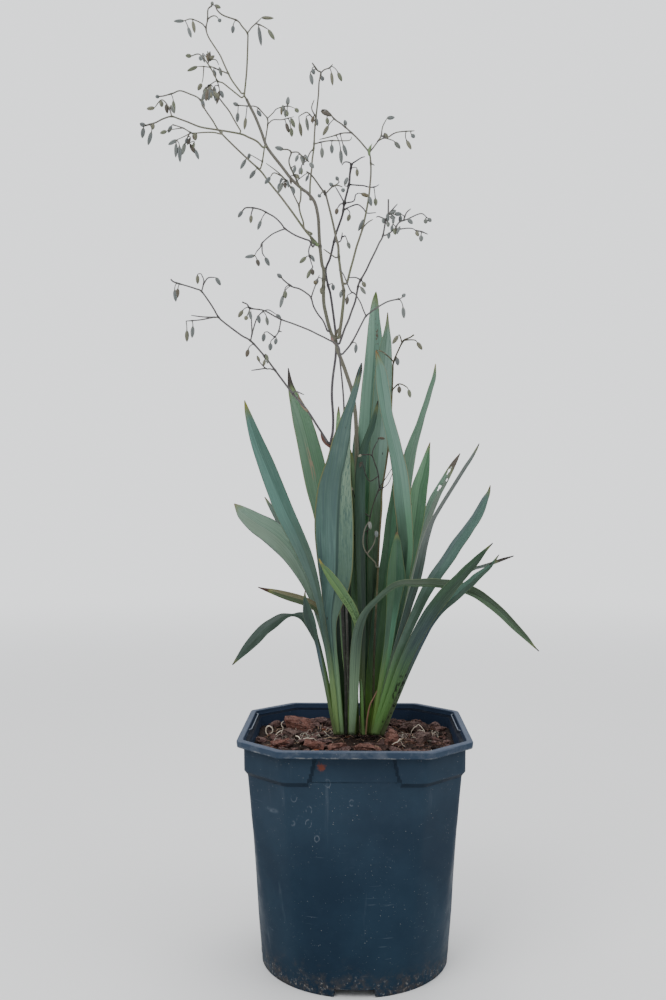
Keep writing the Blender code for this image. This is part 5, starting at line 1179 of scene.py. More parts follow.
def line_of(points: Any, start: float, end: float, step: float) -> Line:
    """Smooth line through drawn points, with a depth that changes evenly along it.

    Args:
        points: (x, z) points to pass through.
        start: depth at its first end.
        end: depth at its last end.
        step: distance between rows in mm.

    Returns:
        Rows of (x, z, y).
    """
    rows = np.array(points, float)
    length = float(np.linalg.norm(np.diff(rows, axis=0), axis=1).sum())
    count = max(6, int(length / step))
    return np.column_stack([smooth_curve(rows, count)[0], np.linspace(start, end, count)])


def nearest_on(lines: list[Line], x: float, z: float) -> tuple[np.ndarray, int, float]:
    """Nearest row on some lines, as seen from the front.

    Args:
        lines: the lines.
        x: place across.
        z: its height.

    Returns:
        The row (x, z, y), its line's number and how far off it is.
    """
    best = (lines[0][0], 0, math.inf)
    for number, line in enumerate(lines):
        gaps = np.hypot(line[:, 0] - x, line[:, 1] - z)
        at = int(np.argmin(gaps))
        if gaps[at] < best[2]:
            best = (line[at], number, float(gaps[at]))
    return best


def stalk_rows(root: np.ndarray, hang: np.ndarray, tip: np.ndarray) -> Line:
    """Arched stalk from its root up and over to the hanging end of a bud.

    A quadratic curve p = (1 - t)^2 root + 2 t (1 - t) m + t^2 hang whose middle point m stands above both
    ends, on the line of the bud.

    Args:
        root: (x, z, y) where it leaves the twig.
        hang: (x, z) where the bud hangs.
        tip: (x, z) of the bud's tip.

    Returns:
        Rows of (x, z, y), at the depth of the root.
    """
    away = hang - tip
    middle = hang + away / (math.hypot(*away) + TINY) * math.dist(root[:2], hang) * 0.55
    t = np.linspace(0, 1, STALK_ROWS)[:, None]
    flat = (1 - t) ** 2 * root[:2] + 2 * t * (1 - t) * middle + t**2 * hang
    return np.column_stack([flat, np.full(STALK_ROWS, root[2])])


def bud(hang: np.ndarray, tip: np.ndarray, y: float, rng: np.random.Generator, size: float = 1.0,
        palette: tuple[str, ...] = ()) -> MeshData:
    """One closed flower bud from the end on its stalk to its tip: striped, blunt and a little ridged.

    Args:
        hang: (x, z) of the end on its stalk.
        tip: (x, z) of its tip.
        y: its depth.
        rng: random source.
        size: its size as a share of a full one.
        palette: its colours, or none for a usual bud, brown now and then.

    Returns:
        Tube whose radius follows BUD_SHAPE.
    """
    share, shape = BUD_SHAPE.T[:, :, None]
    radius = BUD_RADIUS * size * rng.uniform(0.9, 1.12)
    rows = np.column_stack([hang + (tip - hang) * share * BUD_REACH, y + rng.uniform(-0.25, 0.25) * share])
    palette = palette or (BROWN_BUDS if rng.random() < BROWN_BUD_SHARE else BUD_COLOURS)
    body = shade_of(palette[rng.integers(len(palette))], rng, 0.14, 1.0)
    neck = shade_of("#67634f", rng, 0.1, 0.3)
    point = shade_of("#6c6f5c", rng, 0.15, 0.5)
    colours = body + (neck - body) * np.maximum(0.0, 1 - share / 0.16)
    colours = colours + (point - colours) * np.maximum(0.0, (share - 0.8) / 0.2) * 0.6
    return tube(rows, radius * shape[:, 0], colours, 12, 1.0, 0.035)


def bract(foot: tuple[float, float], tip: tuple[float, float], width: float, hex_colour: str, y: float,
          rng: np.random.Generator) -> MeshData:
    """Papery leaflet that hugs a fork: a flattened tube that is widest low down and bends by a tenth.

    Args:
        foot: (x, z) of its foot.
        tip: (x, z) of its tip.
        width: its greatest width.
        hex_colour: its colour.
        y: depth of the stem behind it.
        rng: random source.

    Returns:
        The leaflet.
    """
    t = np.linspace(0, 1, 9)
    dx, dz = tip[0] - foot[0], tip[1] - foot[1]
    bow = 0.10 * np.sin(math.pi * t)
    rows = np.column_stack([foot[0] + dx * t - dz * bow, foot[1] + dz * t + dx * bow, y - 1.2 + 0.8 * t])
    radii = width / 2 * np.sin(np.clip(0.12 + t * 0.95, 0, 1) * math.pi) ** 0.8 + 0.12
    return tube(rows, radii, np.array([shade_of(hex_colour, rng, 0.08) for _ in t]), 8, 0.16)


def stem(rows: Line, radii: np.ndarray, skin: tuple[str, ...], forks: list[np.ndarray], sides: int,
         rng: np.random.Generator) -> MeshData:
    """Stem with slow colour changes, shade low among the leaves, and a swelling and dark ring at each fork.

    Args:
        rows: (x, z, y) rows.
        radii: radius at each row.
        skin: its two colours and the colour of its thin end.
        forks: where others leave it; near = exp(-(distance / 1.3 mm) ** 2) swells and darkens it.
        sides: points in each ring.
        rng: random source.

    Returns:
        The tube.
    """
    a, b, c = (np.array(pigment(h)) for h in skin)
    t = np.linspace(0, 1, len(rows))[:, None]
    wave = 0.5 + 0.5 * np.sin(t * rng.uniform(5, 9) * math.pi + rng.uniform(0, 6))
    colours = a + (b - a) * wave
    colours = colours + (c - colours) * t**1.5 * 0.6
    gloom = 1.0 - np.interp(rows[:, 1:2], LEAF_SHADE_Z, LEAF_SHADE)
    colours[:, :3] *= 1.0 - gloom * np.array([1.0, 0.93, 1.07])
    colours[:, 3] = 0.0
    for fork in forks:
        near = np.exp(-((np.linalg.norm(rows - fork, axis=1) / 1.3) ** 2))
        radii = radii * (1 + 0.28 * near)
        colours[:, :3] *= (1 - 0.45 * near)[:, None]
    return tube(rows, radii, colours, sides)


@dataclass(frozen=True)
class Spray:
    """One stem of the flower head with its side twigs and buds.

    Args:
        name: the solid it stands for.
        path: (x, z) points in mm as seen from the front, thick end first.
        depth: depth y at the thick end and at the thin end.
        radius: radius at the thick end and at the thin end.
        twigs: each (points, change of depth); the first point lies on an earlier line of the same spray.
        buds: (x, z) of the end that hangs from its stalk, then (x, z) of the bud's tip.
        skin: colours of the stem.
        extra: (x, z) round which more small buds hang, how many, and how far they spread.
        bracts: (x, z) of the foot and of the tip, width, and colour, of the papery leaflets at the forks.
    """

    name: str
    path: list[tuple[float, float]]
    depth: tuple[float, float]
    radius: tuple[float, float]
    twigs: list[tuple[list[tuple[float, float]], float]]
    buds: list[tuple[float, float, float, float]]
    skin: tuple[str, str, str]
    extra: tuple[tuple[float, float, int, float], ...] = ()
    bracts: tuple[tuple[Any, ...], ...] = ()

    def stem_line(self) -> Line:
        """Stem line as drawn."""
        return line_of(self.path, *self.depth, STEM_STEP)

    def lines(self, stem_rows: Line) -> tuple[list[Line], list[list[np.ndarray]]]:
        """Stem and twig lines.

        Args:
            stem_rows: rows of the stem's line.

        Returns:
            The lines as (x, z, y) rows, and the places on each line where twigs leave it.
        """
        lines, forks = [stem_rows], [[]]
        for points, change in self.twigs:
            root, number, _ = nearest_on(lines, *points[0])
            forks[number].append(root)
            lines.append(line_of([root[:2], *points[1:]], root[2], root[2] + change, TWIG_STEP))
            forks.append([])
        return lines, forks

    def joined_line(self, others: list["Spray"]) -> Line:
        """Stem line, led back to the nearest line of another spray, so that it grows out of it.

        The lead is a quadratic curve p = (1 - t)^2 other + 2 t (1 - t) m + t^2 start, with m on the stem's
        own line. A stem whose foot is in the soil stays as drawn.

        Args:
            others: the other sprays.

        Returns:
            Rows of (x, z, y).
        """
        rows = self.stem_line()
        start = rows[0]
        if self.path[0][1] < FOOT + 2:
            return rows
        best, near = None, JOIN_REACH
        for other in others:
            for line in other.lines(other.stem_line())[0]:
                gaps = np.hypot(*(line[:, :2] - start[:2]).T) + 0.25 * np.abs(line[:, 2] - start[2])
                gaps = gaps + 2.0 * (line[:, 1] > start[1] + 0.5)
                at = int(np.argmin(gaps))
                if gaps[at] < near:
                    best, near = line[at], float(gaps[at])
        if best is None:
            log.warning("%s joins no other stem", self.name)
            return rows
        back = start - rows[1]
        t = np.linspace(0, 1, 8)[:-1, None]
        middle = start + back / (np.linalg.norm(back) + TINY) * 0.35 * near
        return np.vstack([(1 - t) ** 2 * best + 2 * t * (1 - t) * middle + t**2 * start, rows])

    def hanging(self, rng: np.random.Generator) -> list[tuple[np.ndarray, np.ndarray, float]]:
        """Places of all buds: the drawn ones, then small ones in the dense places.

        Args:
            rng: random source.

        Returns:
            The hanging end, the tip and the size of each.
        """
        hung = [(np.array(row[:2]), np.array(row[2:]), 1.0) for row in self.buds]
        for x, z, count, spread in self.extra:
            for _ in range(count):
                hang = np.array([x + rng.normal(0, spread), z + rng.normal(0, spread)])
                lean = rng.uniform(-0.45, 0.45)
                long = rng.uniform(4.0, 6.4)
                tip = hang + long * np.array([math.sin(lean), -math.cos(lean)])
                hung.append((hang, tip, rng.uniform(0.7, 0.9)))
        return hung

    def mesh(self, seed: int, others: list["Spray"]) -> MeshData:
        """Whole spray: arched stalks with their buds, stem and twigs, and leaflets at the forks.

        Args:
            seed: number for its random draws.
            others: the other sprays.

        Returns:
            All of it as one piece.
        """
        rng = np.random.default_rng(seed)
        lines, forks = self.lines(self.joined_line(others))
        ink = self.skin is INK
        stalk_tone = "#3a322e" if ink else "#74716c"
        data = MeshData(maps={"share": []})
        for hang, tip, size in self.hanging(rng):
            root, number, gap = nearest_on(lines, *hang)
            if gap > 1.0:
                rows = stalk_rows(root, hang, tip)
                t = np.linspace(0, 1, STALK_ROWS)
                tone = np.array([shade_of(stalk_tone, rng, 0.08)] * STALK_ROWS)
                data.join(tube(rows, STALK_RADIUS * (1.15 - 0.2 * t + 0.5 * t**6), tone, 6))
                forks[number].append(root)
            size, palette = (INK_BUD_SIZE * size, INK_BUDS) if ink else (size, ())
            data.join(bud(hang, tip, root[2], rng, size, palette))
        thick, thin = 1.08 * self.radius[0], 1.25 * self.radius[1]
        twig = min(TWIG_RADIUS, 1.1 * self.radius[1])
        for number, line in enumerate(lines):
            t = np.linspace(0, 1, len(line))
            if number == 0:
                data.join(stem(line, thick + (thin - thick) * t**0.8, self.skin, forks[0], 10, rng))
            else:
                radii = twig * (1.15 - 0.3 * t - 0.35 * t**12)
                data.join(stem(line, radii, self.skin[1:] + self.skin[:1], forks[number], 7, rng))
        for foot, tip, width, colour in self.bracts:
            data.join(bract(foot, tip, width, colour, nearest_on(lines, *foot)[0][2], rng))
        return data


SPRAYS = (
    Spray("flower_stem_main", [(7, 178.6), (6, 250), (4, 300), (2.5, 350), (1.8, 400), (1.5, 420),
     (0.8, 439), (-1.7, 457), (-5, 468), (-9.5, 481), (-13.7, 492), (-15.7, 500), (-19, 506), (-21.5, 514),
     (-23.4, 522), (-25, 530), (-25.4, 540), (-25.2, 557), (-26.7, 563), (-28.3, 577.5), (-28.8, 585),
     (-29.2, 593), (-29.8, 601.5), (-32.5, 613), (-38, 620.5), (-43.3, 624.5), (-51.7, 632.5), (-59, 642),
     (-68.4, 654), (-72.5, 660.5), (-76, 670.5), (-81, 683), (-86, 693), (-88.4, 698)], (-1.4, 3),
     (2.1, 0.95), [([(-15.7, 500), (-14, 502.6)], -1), ([(-28.3, 577.5), (-33, 580), (-36.5, 584)], -1)],
     [(-27, 543.5, -27, 538.5), (-30.3, 550.5, -31.7, 546)], OLIVE, bracts=(((-15.7, 497), (-18.5, 508), 3.0,
     "#a3857c"), ((-28.3, 577.5), (-36.5, 584.5), 3.0, "#7f9468"))),
    Spray("flower_stem_second", [(-7, 178.6), (-7, 220), (-9, 260), (-11, 300), (-14, 340), (-17, 380),
     (-19.5, 413), (-17.9, 425.5), (-17.5, 437), (-18.5, 454), (-18.3, 463), (-17.5, 472), (-15.4, 488),
     (-15.3, 503), (-17, 519), (-19.7, 538), (-22, 546.7), (-23.5, 558), (-20, 567.5), (-17.5, 578),
     (-15, 588), (-10, 602.5), (-8.3, 612.5), (-4.6, 627.5), (-3.8, 636), (-2.5, 644.3)], (-3.2, 19),
     (1.3, 0.75), [([(-2.5, 644.3), (-5, 645.8), (-8.3, 645.8), (-10.4, 643.3)], 4), ([(-2.5, 644.3),
     (1.7, 647), (5.8, 649.5), (8.6, 650.2)], -3), ([(-4.6, 627.5), (1.7, 627), (7.5, 626.5), (12.5, 625.2),
     (16.7, 625.6), (20, 627.3)], 12), ([(-8.3, 612.5), (-11.7, 619), (-15.8, 626)], 6), ([(-8.3, 612.5),
     (-11.7, 611.5), (-13.3, 609)], -4), ([(-9, 606), (-4.2, 609.2), (2.5, 611.2), (7.5, 607.5), (10, 604.2),
     (17.5, 604.5)], 10), ([(-8.3, 612.5), (-0.8, 614), (0.8, 619), (3.3, 620.5)], -6), ([(-16.5, 581),
     (-12, 581), (-10.4, 584.7), (-10, 588.5)], -6), ([(-10.4, 584.7), (-7.5, 585.8)], 2)],
     [(2, 640, 2.2, 634.5), (-8, 627.5, -6, 633), (16.9, 616, 17.3, 610.5), (-14.2, 608, -15, 603.5),
     (-4, 603, -5.4, 598), (5.5, 620, 11.5, 617.8), (-5.6, 580.5, -4, 575.5), (-17.8, 546, -17.3, 541.5)],
     SMOKY, bracts=(((-19.5, 413), (-28, 427), 3.2, "#7c5348"), ((-15.3, 503), (-12.4, 511), 2.2,
     "#6f6a58"))),
    Spray("flower_stem_third", [(-2, 178.8), (-4.5, 220), (-6, 260), (-7, 300), (-8, 340), (-8, 380),
     (-8.2, 420), (-8.7, 446), (-9.7, 462), (-11.2, 477), (-12, 484), (-13.2, 495.5), (-22.6, 501.6),
     (-30, 505.3), (-37.2, 508.9), (-50, 514), (-59.8, 517.5), (-66.3, 520.8), (-70.5, 523.3),
     (-75.5, 525.4), (-85.6, 527), (-87.7, 530), (-92, 532)], (-5.8, -26), (1.05, 0.5), [([(-59.8, 517.5),
     (-62, 508), (-65, 503.5), (-68, 500.5)], -4), ([(-62, 508), (-59.5, 507.5)], 2), ([(-65, 503.5),
     (-71, 507.5)], -5)], [(-74, 506, -74.7, 500), (-68.7, 498, -69, 492.7), (-64, 502, -64.8, 497.5),
     (-91.5, 525, -94.8, 520), (-86, 524, -84.5, 518), (-88, 520.5, -89.4, 517.5)], DARK),
    Spray("spray_pale_centre", [(-12.6, 503.4), (-11.7, 510), (-10.6, 517.5), (-8.8, 535), (-8.8, 541),
     (-9.5, 545), (-11, 554), (-12.9, 569), (-13.3, 577), (-15.4, 585.7), (-18.3, 599), (-22.5, 615.8),
     (-23.8, 619.5), (-28.3, 626), (-32.5, 632), (-35.8, 636), (-39.4, 638.4)], (0.6, -22), (1.45, 0.55),
     [([(-23.8, 619.5), (-18.3, 625.8), (-15, 627.5), (-12.5, 629.5)], -8), ([(-18.3, 625.8), (-14, 627),
     (-9.8, 625.5)], 4), ([(-23.8, 619.5), (-24.2, 623), (-26.3, 621.5), (-28, 619.5)], -4), ([(-12.9, 569),
     (-15.5, 568), (-19.7, 571), (-25.4, 575)], -8)], [(-17.5, 626.7, -20.5, 628.7), (-13.3, 631, -15, 634),
     (-9.8, 624.5, -9, 621.5), (-28, 619.5, -29.5, 617.5), (-11, 540.5, -11.5, 535.5)], OLIVE),
    Spray("spray_centre_right", [(-6, 547.4), (-3.4, 558), (-0.9, 567), (1.6, 576.5), (4.1, 584), (6.6, 592),
     (9.6, 605.6), (11.8, 619), (12.6, 627), (13.3, 636), (13.2, 645), (12, 653), (7.7, 659), (2.5, 665),
     (-2.7, 670), (-10, 676.5), (-16.3, 681), (-22.5, 688), (-26.7, 688.5)], (-5, 4), (0.95, 0.52),
     [([(12, 653), (16, 658.5), (19.2, 663), (21.6, 667), (22.9, 674.5), (26.5, 681.5)], -14), ([(21.6, 667),
     (26.5, 665.7), (31.7, 668.8), (37, 670.3), (48.9, 671)], -8), ([(19.2, 663), (24.4, 665.2),
     (30.7, 663.5)], 6), ([(13.2, 645), (16.3, 643)], 2), ([(6.6, 592), (10.8, 596.5), (15, 599)], 6),
     ([(-2.7, 670), (-10, 669.5), (-18.4, 667), (-28.8, 664.5)], 8)], [(26.5, 681.5, 32.2, 682),
     (25, 669, 26.3, 665.5), (42.5, 663, 45.8, 656.5), (46.5, 668, 48.8, 665.5), (32.8, 662, 36.8, 657),
     (-7, 676, -8, 680), (-27, 687, -19, 684), (-22.5, 682, -22, 677), (-21.5, 675.5, -25.5, 668.5),
     (-9.3, 660, -6.5, 651.5), (-11.4, 655.5, -10.8, 645.5), (12, 617.5, 13.5, 610.5),
     (7.5, 599, 3.5, 590.5)], OLIVE, bracts=(((12, 651), (14.5, 661), 2.6, "#7f9468"),)),
    Spray("spray_right", [(-12, 498.6), (-8, 510), (-5, 516.7), (-2.2, 524.7), (0.7, 532.7), (3, 545),
     (5, 549.5), (9.5, 557.5), (13, 565), (17.5, 574), (20, 579.5), (23, 585.3), (25.5, 598.4), (27.3, 602),
     (27.6, 615.5)], (-4.5, -34), (0.95, 0.52), [([(23, 585.3), (27, 586.7), (33, 591), (37.2, 591),
     (43, 591.6), (47.4, 591.2), (49.6, 589.8)], -10), ([(33, 591), (36.5, 596.5), (43, 599), (51, 602.7),
     (55.4, 603.3), (59, 600)], 8), ([(40.3, 598), (42.3, 604.2), (46, 607.5)], 3), ([(25.5, 598.4),
     (19.7, 601.3), (17.5, 600.6)], 4), ([(27.3, 602), (31, 607), (35, 611.5)], -4), ([(49.6, 589.8),
     (55, 588.6), (59.8, 586.5)], 2), ([(5, 549.5), (1, 551.6), (-5, 551.5)], -5)],
     [(32.8, 603, 37.8, 603.5), (28.5, 604, 33.5, 606), (29, 601, 33, 600), (27, 597, 27.5, 593),
     (32, 591.5, 33.3, 586.7), (50, 589, 52, 585.3), (54.2, 585.6, 54.2, 581), (60, 599.5, 62.3, 597),
     (57.8, 599, 58, 595.5), (37.5, 602, 37, 596.5), (43.5, 599, 47, 595.5), (6.6, 548, 8.7, 544),
     (5, 543.7, 8.7, 538.5)], DARK, extra=((27.3, 603, 4, 2.6), (33, 592, 4, 2.6))),
    Spray("spray_low_right", [(-9.2, 489.8), (-3.6, 496.5), (0.7, 503.8), (6.6, 515.4), (9.1, 519.8),
     (12.4, 522.7), (17.5, 526.4), (23.3, 530), (28.4, 532.3), (36.4, 534)], (-9.5, -22), (0.8, 0.52),
     [([(9.1, 519.8), (7.3, 524.8), (4.4, 532), (-0.7, 539), (-5.8, 537.2)], -10), ([(-0.7, 539),
     (-3.6, 541.5), (-9.5, 555), (-13, 558)], 2)], [(39, 535.5, 41.2, 538), (39.5, 527, 40.2, 519),
     (-5.9, 536, -6.3, 530), (1.3, 497, 0.8, 490.5)], DARK),
    Spray("spray_low_left", [(-22.4, 508.4), (-25.5, 516), (-30, 522), (-33.5, 528.3), (-35.7, 535.5),
     (-39.7, 539.3), (-45.3, 542.7), (-51.2, 544.5), (-57.9, 549.7), (-59.6, 551.8)], (-3, -36),
     (0.75, 0.52), [([(-35.7, 535.5), (-33.5, 541.3), (-28.8, 553.7)], 10)], [(-59.6, 551.8, -62.9, 554.7),
     (-58.5, 537, -60.7, 528), (-57, 541, -56.5, 535.3), (-31, 546.5, -33, 549)], DARK),
    Spray("spray_long_left", [(-31.4, 580.4), (-40, 590), (-50, 604), (-60, 617.5), (-70, 630), (-76.7, 639),
     (-86.7, 648.3), (-100, 661), (-111, 672.4), (-116.2, 680.7), (-122.4, 689.8), (-127, 698.5),
     (-135.5, 702.8), (-143, 705.3), (-148.8, 703.3), (-156.4, 701.2), (-160, 700.8)], (6, 52), (1.0, 0.52),
     [], [(-160, 700.8, -163, 700.5), (-148.5, 697, -147.8, 687.5), (-125, 698, -123.4, 691),
     (-81.3, 639.5, -85.5, 633.5)], OLIVE),
    Spray("spray_left_small", [(-34.6, 577.4), (-36.7, 581.7), (-40, 583), (-48.3, 586.3), (-56.7, 591.7),
     (-60, 596), (-65, 601), (-70.4, 604.2), (-76.7, 607.5), (-83.3, 609), (-89.2, 609), (-91.7, 606.5)],
     (-3, -24), (0.75, 0.52), [([(-56.7, 591.7), (-61.7, 590), (-68.3, 586.7), (-75.8, 580), (-76.9, 577),
     (-80, 573.3), (-81.7, 570)], -12), ([(-75.8, 580), (-75.4, 572.5), (-73, 568.3)], 5), ([(-83.3, 609),
     (-84.5, 604), (-85, 599)], -3), ([(-35.5, 580), (-37.5, 573.5), (-36, 566), (-34, 560)], -6)],
     [(-91.7, 606.5, -95, 601.7), (-84.5, 603, -85, 597), (-76.5, 598.5, -79, 591.7),
     (-81.7, 570, -89, 568.7), (-79.8, 566.7, -78.3, 561.7), (-73, 568.3, -70, 562),
     (-39.7, 568.5, -44.5, 564), (-36, 558, -38.7, 551.5), (-34.6, 558.5, -34, 554), (-35.5, 570, -33, 565)],
     DARK),
    Spray("spray_upper_middle", [(-35.4, 588), (-40.8, 591.4), (-42, 597.5), (-44.2, 604), (-45.4, 610.8),
     (-44.2, 615), (-43.9, 622.5), (-45.5, 627.5), (-53.4, 645), (-51.8, 653.7), (-54.2, 656.3),
     (-58.3, 656.7)], (-6, -30), (0.8, 0.52), [([(-45.4, 610.8), (-50, 620), (-53.3, 627.5), (-59, 634.5),
     (-64.2, 639.3), (-72.5, 645.5)], -10), ([(-51.8, 653.7), (-46.7, 654.3), (-44, 652), (-37, 646)], -6),
     ([(-59, 634.5), (-65.8, 637.5), (-69, 634)], 3)], [(-58.3, 656.7, -64.5, 658.3), (-69, 634, -73, 629),
     (-58.8, 629, -62.3, 621.5), (-51, 626, -49.5, 620.5), (-48, 636, -45.5, 633),
     (-36.5, 645.5, -33.7, 641.5), (-44, 651, -41, 646)], OLIVE, extra=((-55.8, 632, 5, 3.0),
     (-43, 640, 4, 2.4), (-42, 650, 3, 2.2))),
    Spray("spray_upper_right", [(-36.4, 615.9), (-36.3, 628.3), (-35, 640.8), (-34.6, 647.5), (-33.3, 657.5),
     (-32.7, 669), (-31.9, 679), (-29.6, 700), (-29, 711), (-27.5, 719), (-30.3, 721), (-34.5, 727)],
     (10, 34), (0.8, 0.52), [([(-33.3, 657.5), (-36.7, 653.3), (-38.8, 647.5)], 4), ([(-27.5, 719),
     (-24.6, 721.5), (-20.4, 723), (-17.8, 726)], -8), ([(-31.9, 679), (-38.2, 686.5), (-42.3, 685.5),
     (-45.5, 683.5)], 8), ([(-31.5, 683), (-35, 690), (-33, 697)], -5), ([(-33, 660.5), (-26.7, 662.5),
     (-19.4, 663.5), (-4.8, 663.5), (-2.2, 666.5)], 16)], [(-34.5, 722, -33, 718), (-36, 718, -34.5, 710),
     (-13.5, 719, -10.7, 712.5), (-19, 719, -18, 709.5), (-26.5, 716, -26, 712.5), (-45, 678, -43.5, 668),
     (-39.5, 682, -38, 672.5), (-26.7, 657.5, -26.5, 650), (-18.7, 660, -18.5, 653.5)], OLIVE,
     extra=((-32, 680, 4, 2.4),)),
    Spray("spray_top_centre", [(-76.6, 642), (-75.4, 646.7), (-73.8, 657.5), (-72.9, 664.3), (-71, 677),
     (-71.3, 682), (-73.4, 684.7), (-80, 691.5), (-87.6, 692.3), (-95.2, 693)], (24, 12), (0.7, 0.42),
     [([(-71.3, 682), (-66.7, 686.5), (-63.3, 690), (-54.8, 692), (-48.5, 690)], -10), ([(-71, 677),
     (-66.7, 680.8), (-59.2, 681), (-49.6, 683.3)], -6), ([(-75.4, 646.7), (-81.7, 650.5), (-86, 653)], 8)],
     [(-95.2, 693, -99, 694.8), (-95.5, 686.7, -96, 679.8), (-89, 682.5, -90, 674),
     (-79.5, 688.5, -76.7, 684), (-48.5, 690, -46, 687), (-52, 682, -49.2, 675), (-56, 678, -54, 671),
     (-52, 674, -51.3, 667.5), (-54.8, 693, -54.2, 699), (-86, 653.5, -86.5, 649.5),
     (-89, 648.5, -93, 641.5)], OLIVE, extra=((-57, 690, 4, 2.8),)),
    Spray("spray_top_right", [(-90.1, 702), (-89, 712.5), (-88, 725), (-87.3, 746), (-87.7, 752),
     (-92, 757.5), (-96, 762.3), (-107, 766.5), (-112, 770.5), (-114, 775)], (0, -16), (0.75, 0.52),
     [([(-87.7, 752), (-84.3, 756.5), (-80.5, 760), (-76, 764.5)], 10), ([(-80.5, 760), (-76, 758),
     (-71.7, 755.5)], -4)], [(-99.3, 758, -99.8, 752.5), (-76, 764.5, -67, 764), (-70.5, 754.5, -65.9, 747),
     (-78.5, 757, -76.5, 743)], OLIVE),
    Spray("spray_top_left", [(-93, 703.4), (-100, 713), (-103.2, 719), (-107, 727.3), (-110, 734),
     (-114.5, 741), (-119.5, 749), (-121.6, 756), (-120.3, 763.3), (-120, 771.5), (-117, 774.6)], (10, 30),
     (0.75, 0.52), [([(-121.6, 756), (-125.4, 760.5), (-133.8, 764), (-139.7, 762.5)], -10),
     ([(-120.3, 763.3), (-117, 766), (-113.7, 766.2), (-111.2, 763.7)], 4), ([(-103.2, 719), (-106, 720),
     (-115.3, 724), (-119.5, 726), (-119, 730), (-113.6, 730.4), (-111, 726)], 12)],
     [(-116.5, 775.2, -116.5, 778), (-114.5, 775, -110, 773), (-139.7, 762.5, -147.3, 762.3),
     (-132.5, 762, -131, 753.5), (-136.3, 757, -134, 749.5), (-111.2, 763.7, -109.7, 761.5),
     (-110.6, 724, -109, 717.5), (-115.3, 722, -114, 716.5), (-119, 731, -115, 733.5)], OLIVE,
     extra=((-119.5, 736, 4, 2.6),)),
    Spray("spray_top_far_left", [(-93.4, 699.8), (-103.5, 708), (-108, 711.5), (-112.3, 713),
     (-114.4, 717.5), (-120.3, 727.5), (-127, 735), (-133.7, 733.7)], (-6, -20), (0.65, 0.42),
     [([(-112.3, 713), (-115.3, 712), (-120, 708.5)], -3), ([(-112.3, 713), (-111, 708), (-110, 704)], 3),
     ([(-118, 723.6), (-123.6, 725), (-128.7, 725)], 5), ([(-123.6, 725), (-124, 716), (-124.9, 711.5)], 2)],
     [(-133.7, 733.7, -138, 734), (-126, 733.5, -126, 730), (-128.7, 725, -136.3, 721.7),
     (-125.2, 711, -128, 706), (-121, 707, -125, 697), (-120, 706, -121.5, 697.5), (-118, 707, -119.4, 698),
     (-114.6, 708, -114, 697.5), (-110.6, 705, -112.7, 695), (-109.6, 705, -107.7, 699.5)], OLIVE,
     extra=((-120, 709, 6, 3.4),)),
    Spray("spray_left_link", [(-93.4, 672.4), (-97.8, 679.8), (-102.4, 688), (-107, 694), (-110.8, 699)],
     (-14, -24), (0.6, 0.52), [], [(-110.8, 699, -115, 704)], OLIVE),
    Spray("spray_left_upper", [(-75.6, 659), (-80, 663.5), (-86.8, 666.8), (-92.7, 669.4), (-106, 672),
     (-115.3, 673.5), (-126.6, 675.6), (-137, 679.8), (-143.8, 682.3), (-150, 684.3), (-157.2, 682.3),
     (-163, 679.4), (-171.5, 677)], (-4, -30), (0.85, 0.52), [([(-150, 684.3), (-152.5, 692.3), (-158, 698),
     (-164, 691.5)], 12), ([(-152.5, 690.5), (-150.5, 693.5)], 2)], [(-171.5, 677, -175.7, 678.5),
     (-173, 675, -174, 667.5), (-165, 678.5, -165.5, 674), (-166.5, 671.5, -169, 662),
     (-154.5, 694, -153.5, 687.5), (-158.5, 697, -158, 692.5), (-164, 691.5, -169.8, 690.7),
     (-150.5, 693.5, -148, 687.5)], OLIVE),
    Spray("spray_left_lower", [(-109.6, 669.6), (-115.3, 670.9), (-122.8, 671), (-130.4, 670.5),
     (-133.7, 670.7), (-140.4, 674.7), (-148.8, 677.5)], (-20, 8), (0.65, 0.42), [([(-133.7, 670.7),
     (-137.9, 668.6), (-145.8, 665)], -8), ([(-133.7, 670.7), (-137, 666.5), (-135.8, 662)], 6),
     ([(-140.4, 674.7), (-147, 674), (-153, 673)], 4)], [(-150, 676.5, -152.5, 671.5),
     (-154, 672.3, -158.9, 670.7), (-145.8, 665, -152, 661.5), (-134.6, 661, -131.2, 654.7),
     (-130.6, 657, -127.8, 649.7), (-132, 670, -129.6, 666.5), (-146.2, 662, -146.5, 651.7),
     (-139, 662, -141, 653.7), (-143.5, 660, -143, 648)], OLIVE, extra=((-134, 668, 5, 3.2),)),
    Spray("spray_low_far_left", [(-22.2, 417.6), (-24.6, 421.5), (-30.7, 431), (-39.5, 444.5),
     (-50.3, 456.7), (-61.2, 471), (-73.4, 487.3), (-84.8, 500), (-92.4, 504.6), (-105.8, 514.6),
     (-111.3, 519.6), (-115, 526), (-119.2, 532.6), (-125.5, 541), (-130, 543), (-136, 545), (-147.6, 548.5),
     (-150.6, 551)], (4.5, -22), (0.95, 0.52), [([(-84.8, 500), (-83, 509), (-79, 520), (-71.4, 525.5),
     (-63.8, 521.7)], -10), ([(-83.7, 506), (-84.4, 518.5), (-84.8, 525)], 5), ([(-125.5, 541),
     (-123.4, 549.3), (-125.5, 555.2)], 6), ([(-123.9, 547), (-120, 551.8), (-113.7, 552.2)], 8),
     ([(-111.3, 519.6), (-124.2, 520), (-134, 521.3)], -6), ([(-115, 519.6), (-126.7, 517.5), (-138, 516.6)],
     6), ([(-50.3, 456.7), (-48, 458.8), (-41.2, 456)], -4), ([(-65.3, 476.5), (-69, 477.3), (-72.8, 477.8),
     (-79.5, 485)], -4), ([(-72.8, 477.8), (-84.5, 476)], -1)], [(-63.8, 521.7, -60.5, 518),
     (-72, 519.5, -71, 513.3), (-79, 521, -77.8, 515), (-137.3, 508.7, -137.3, 500.5),
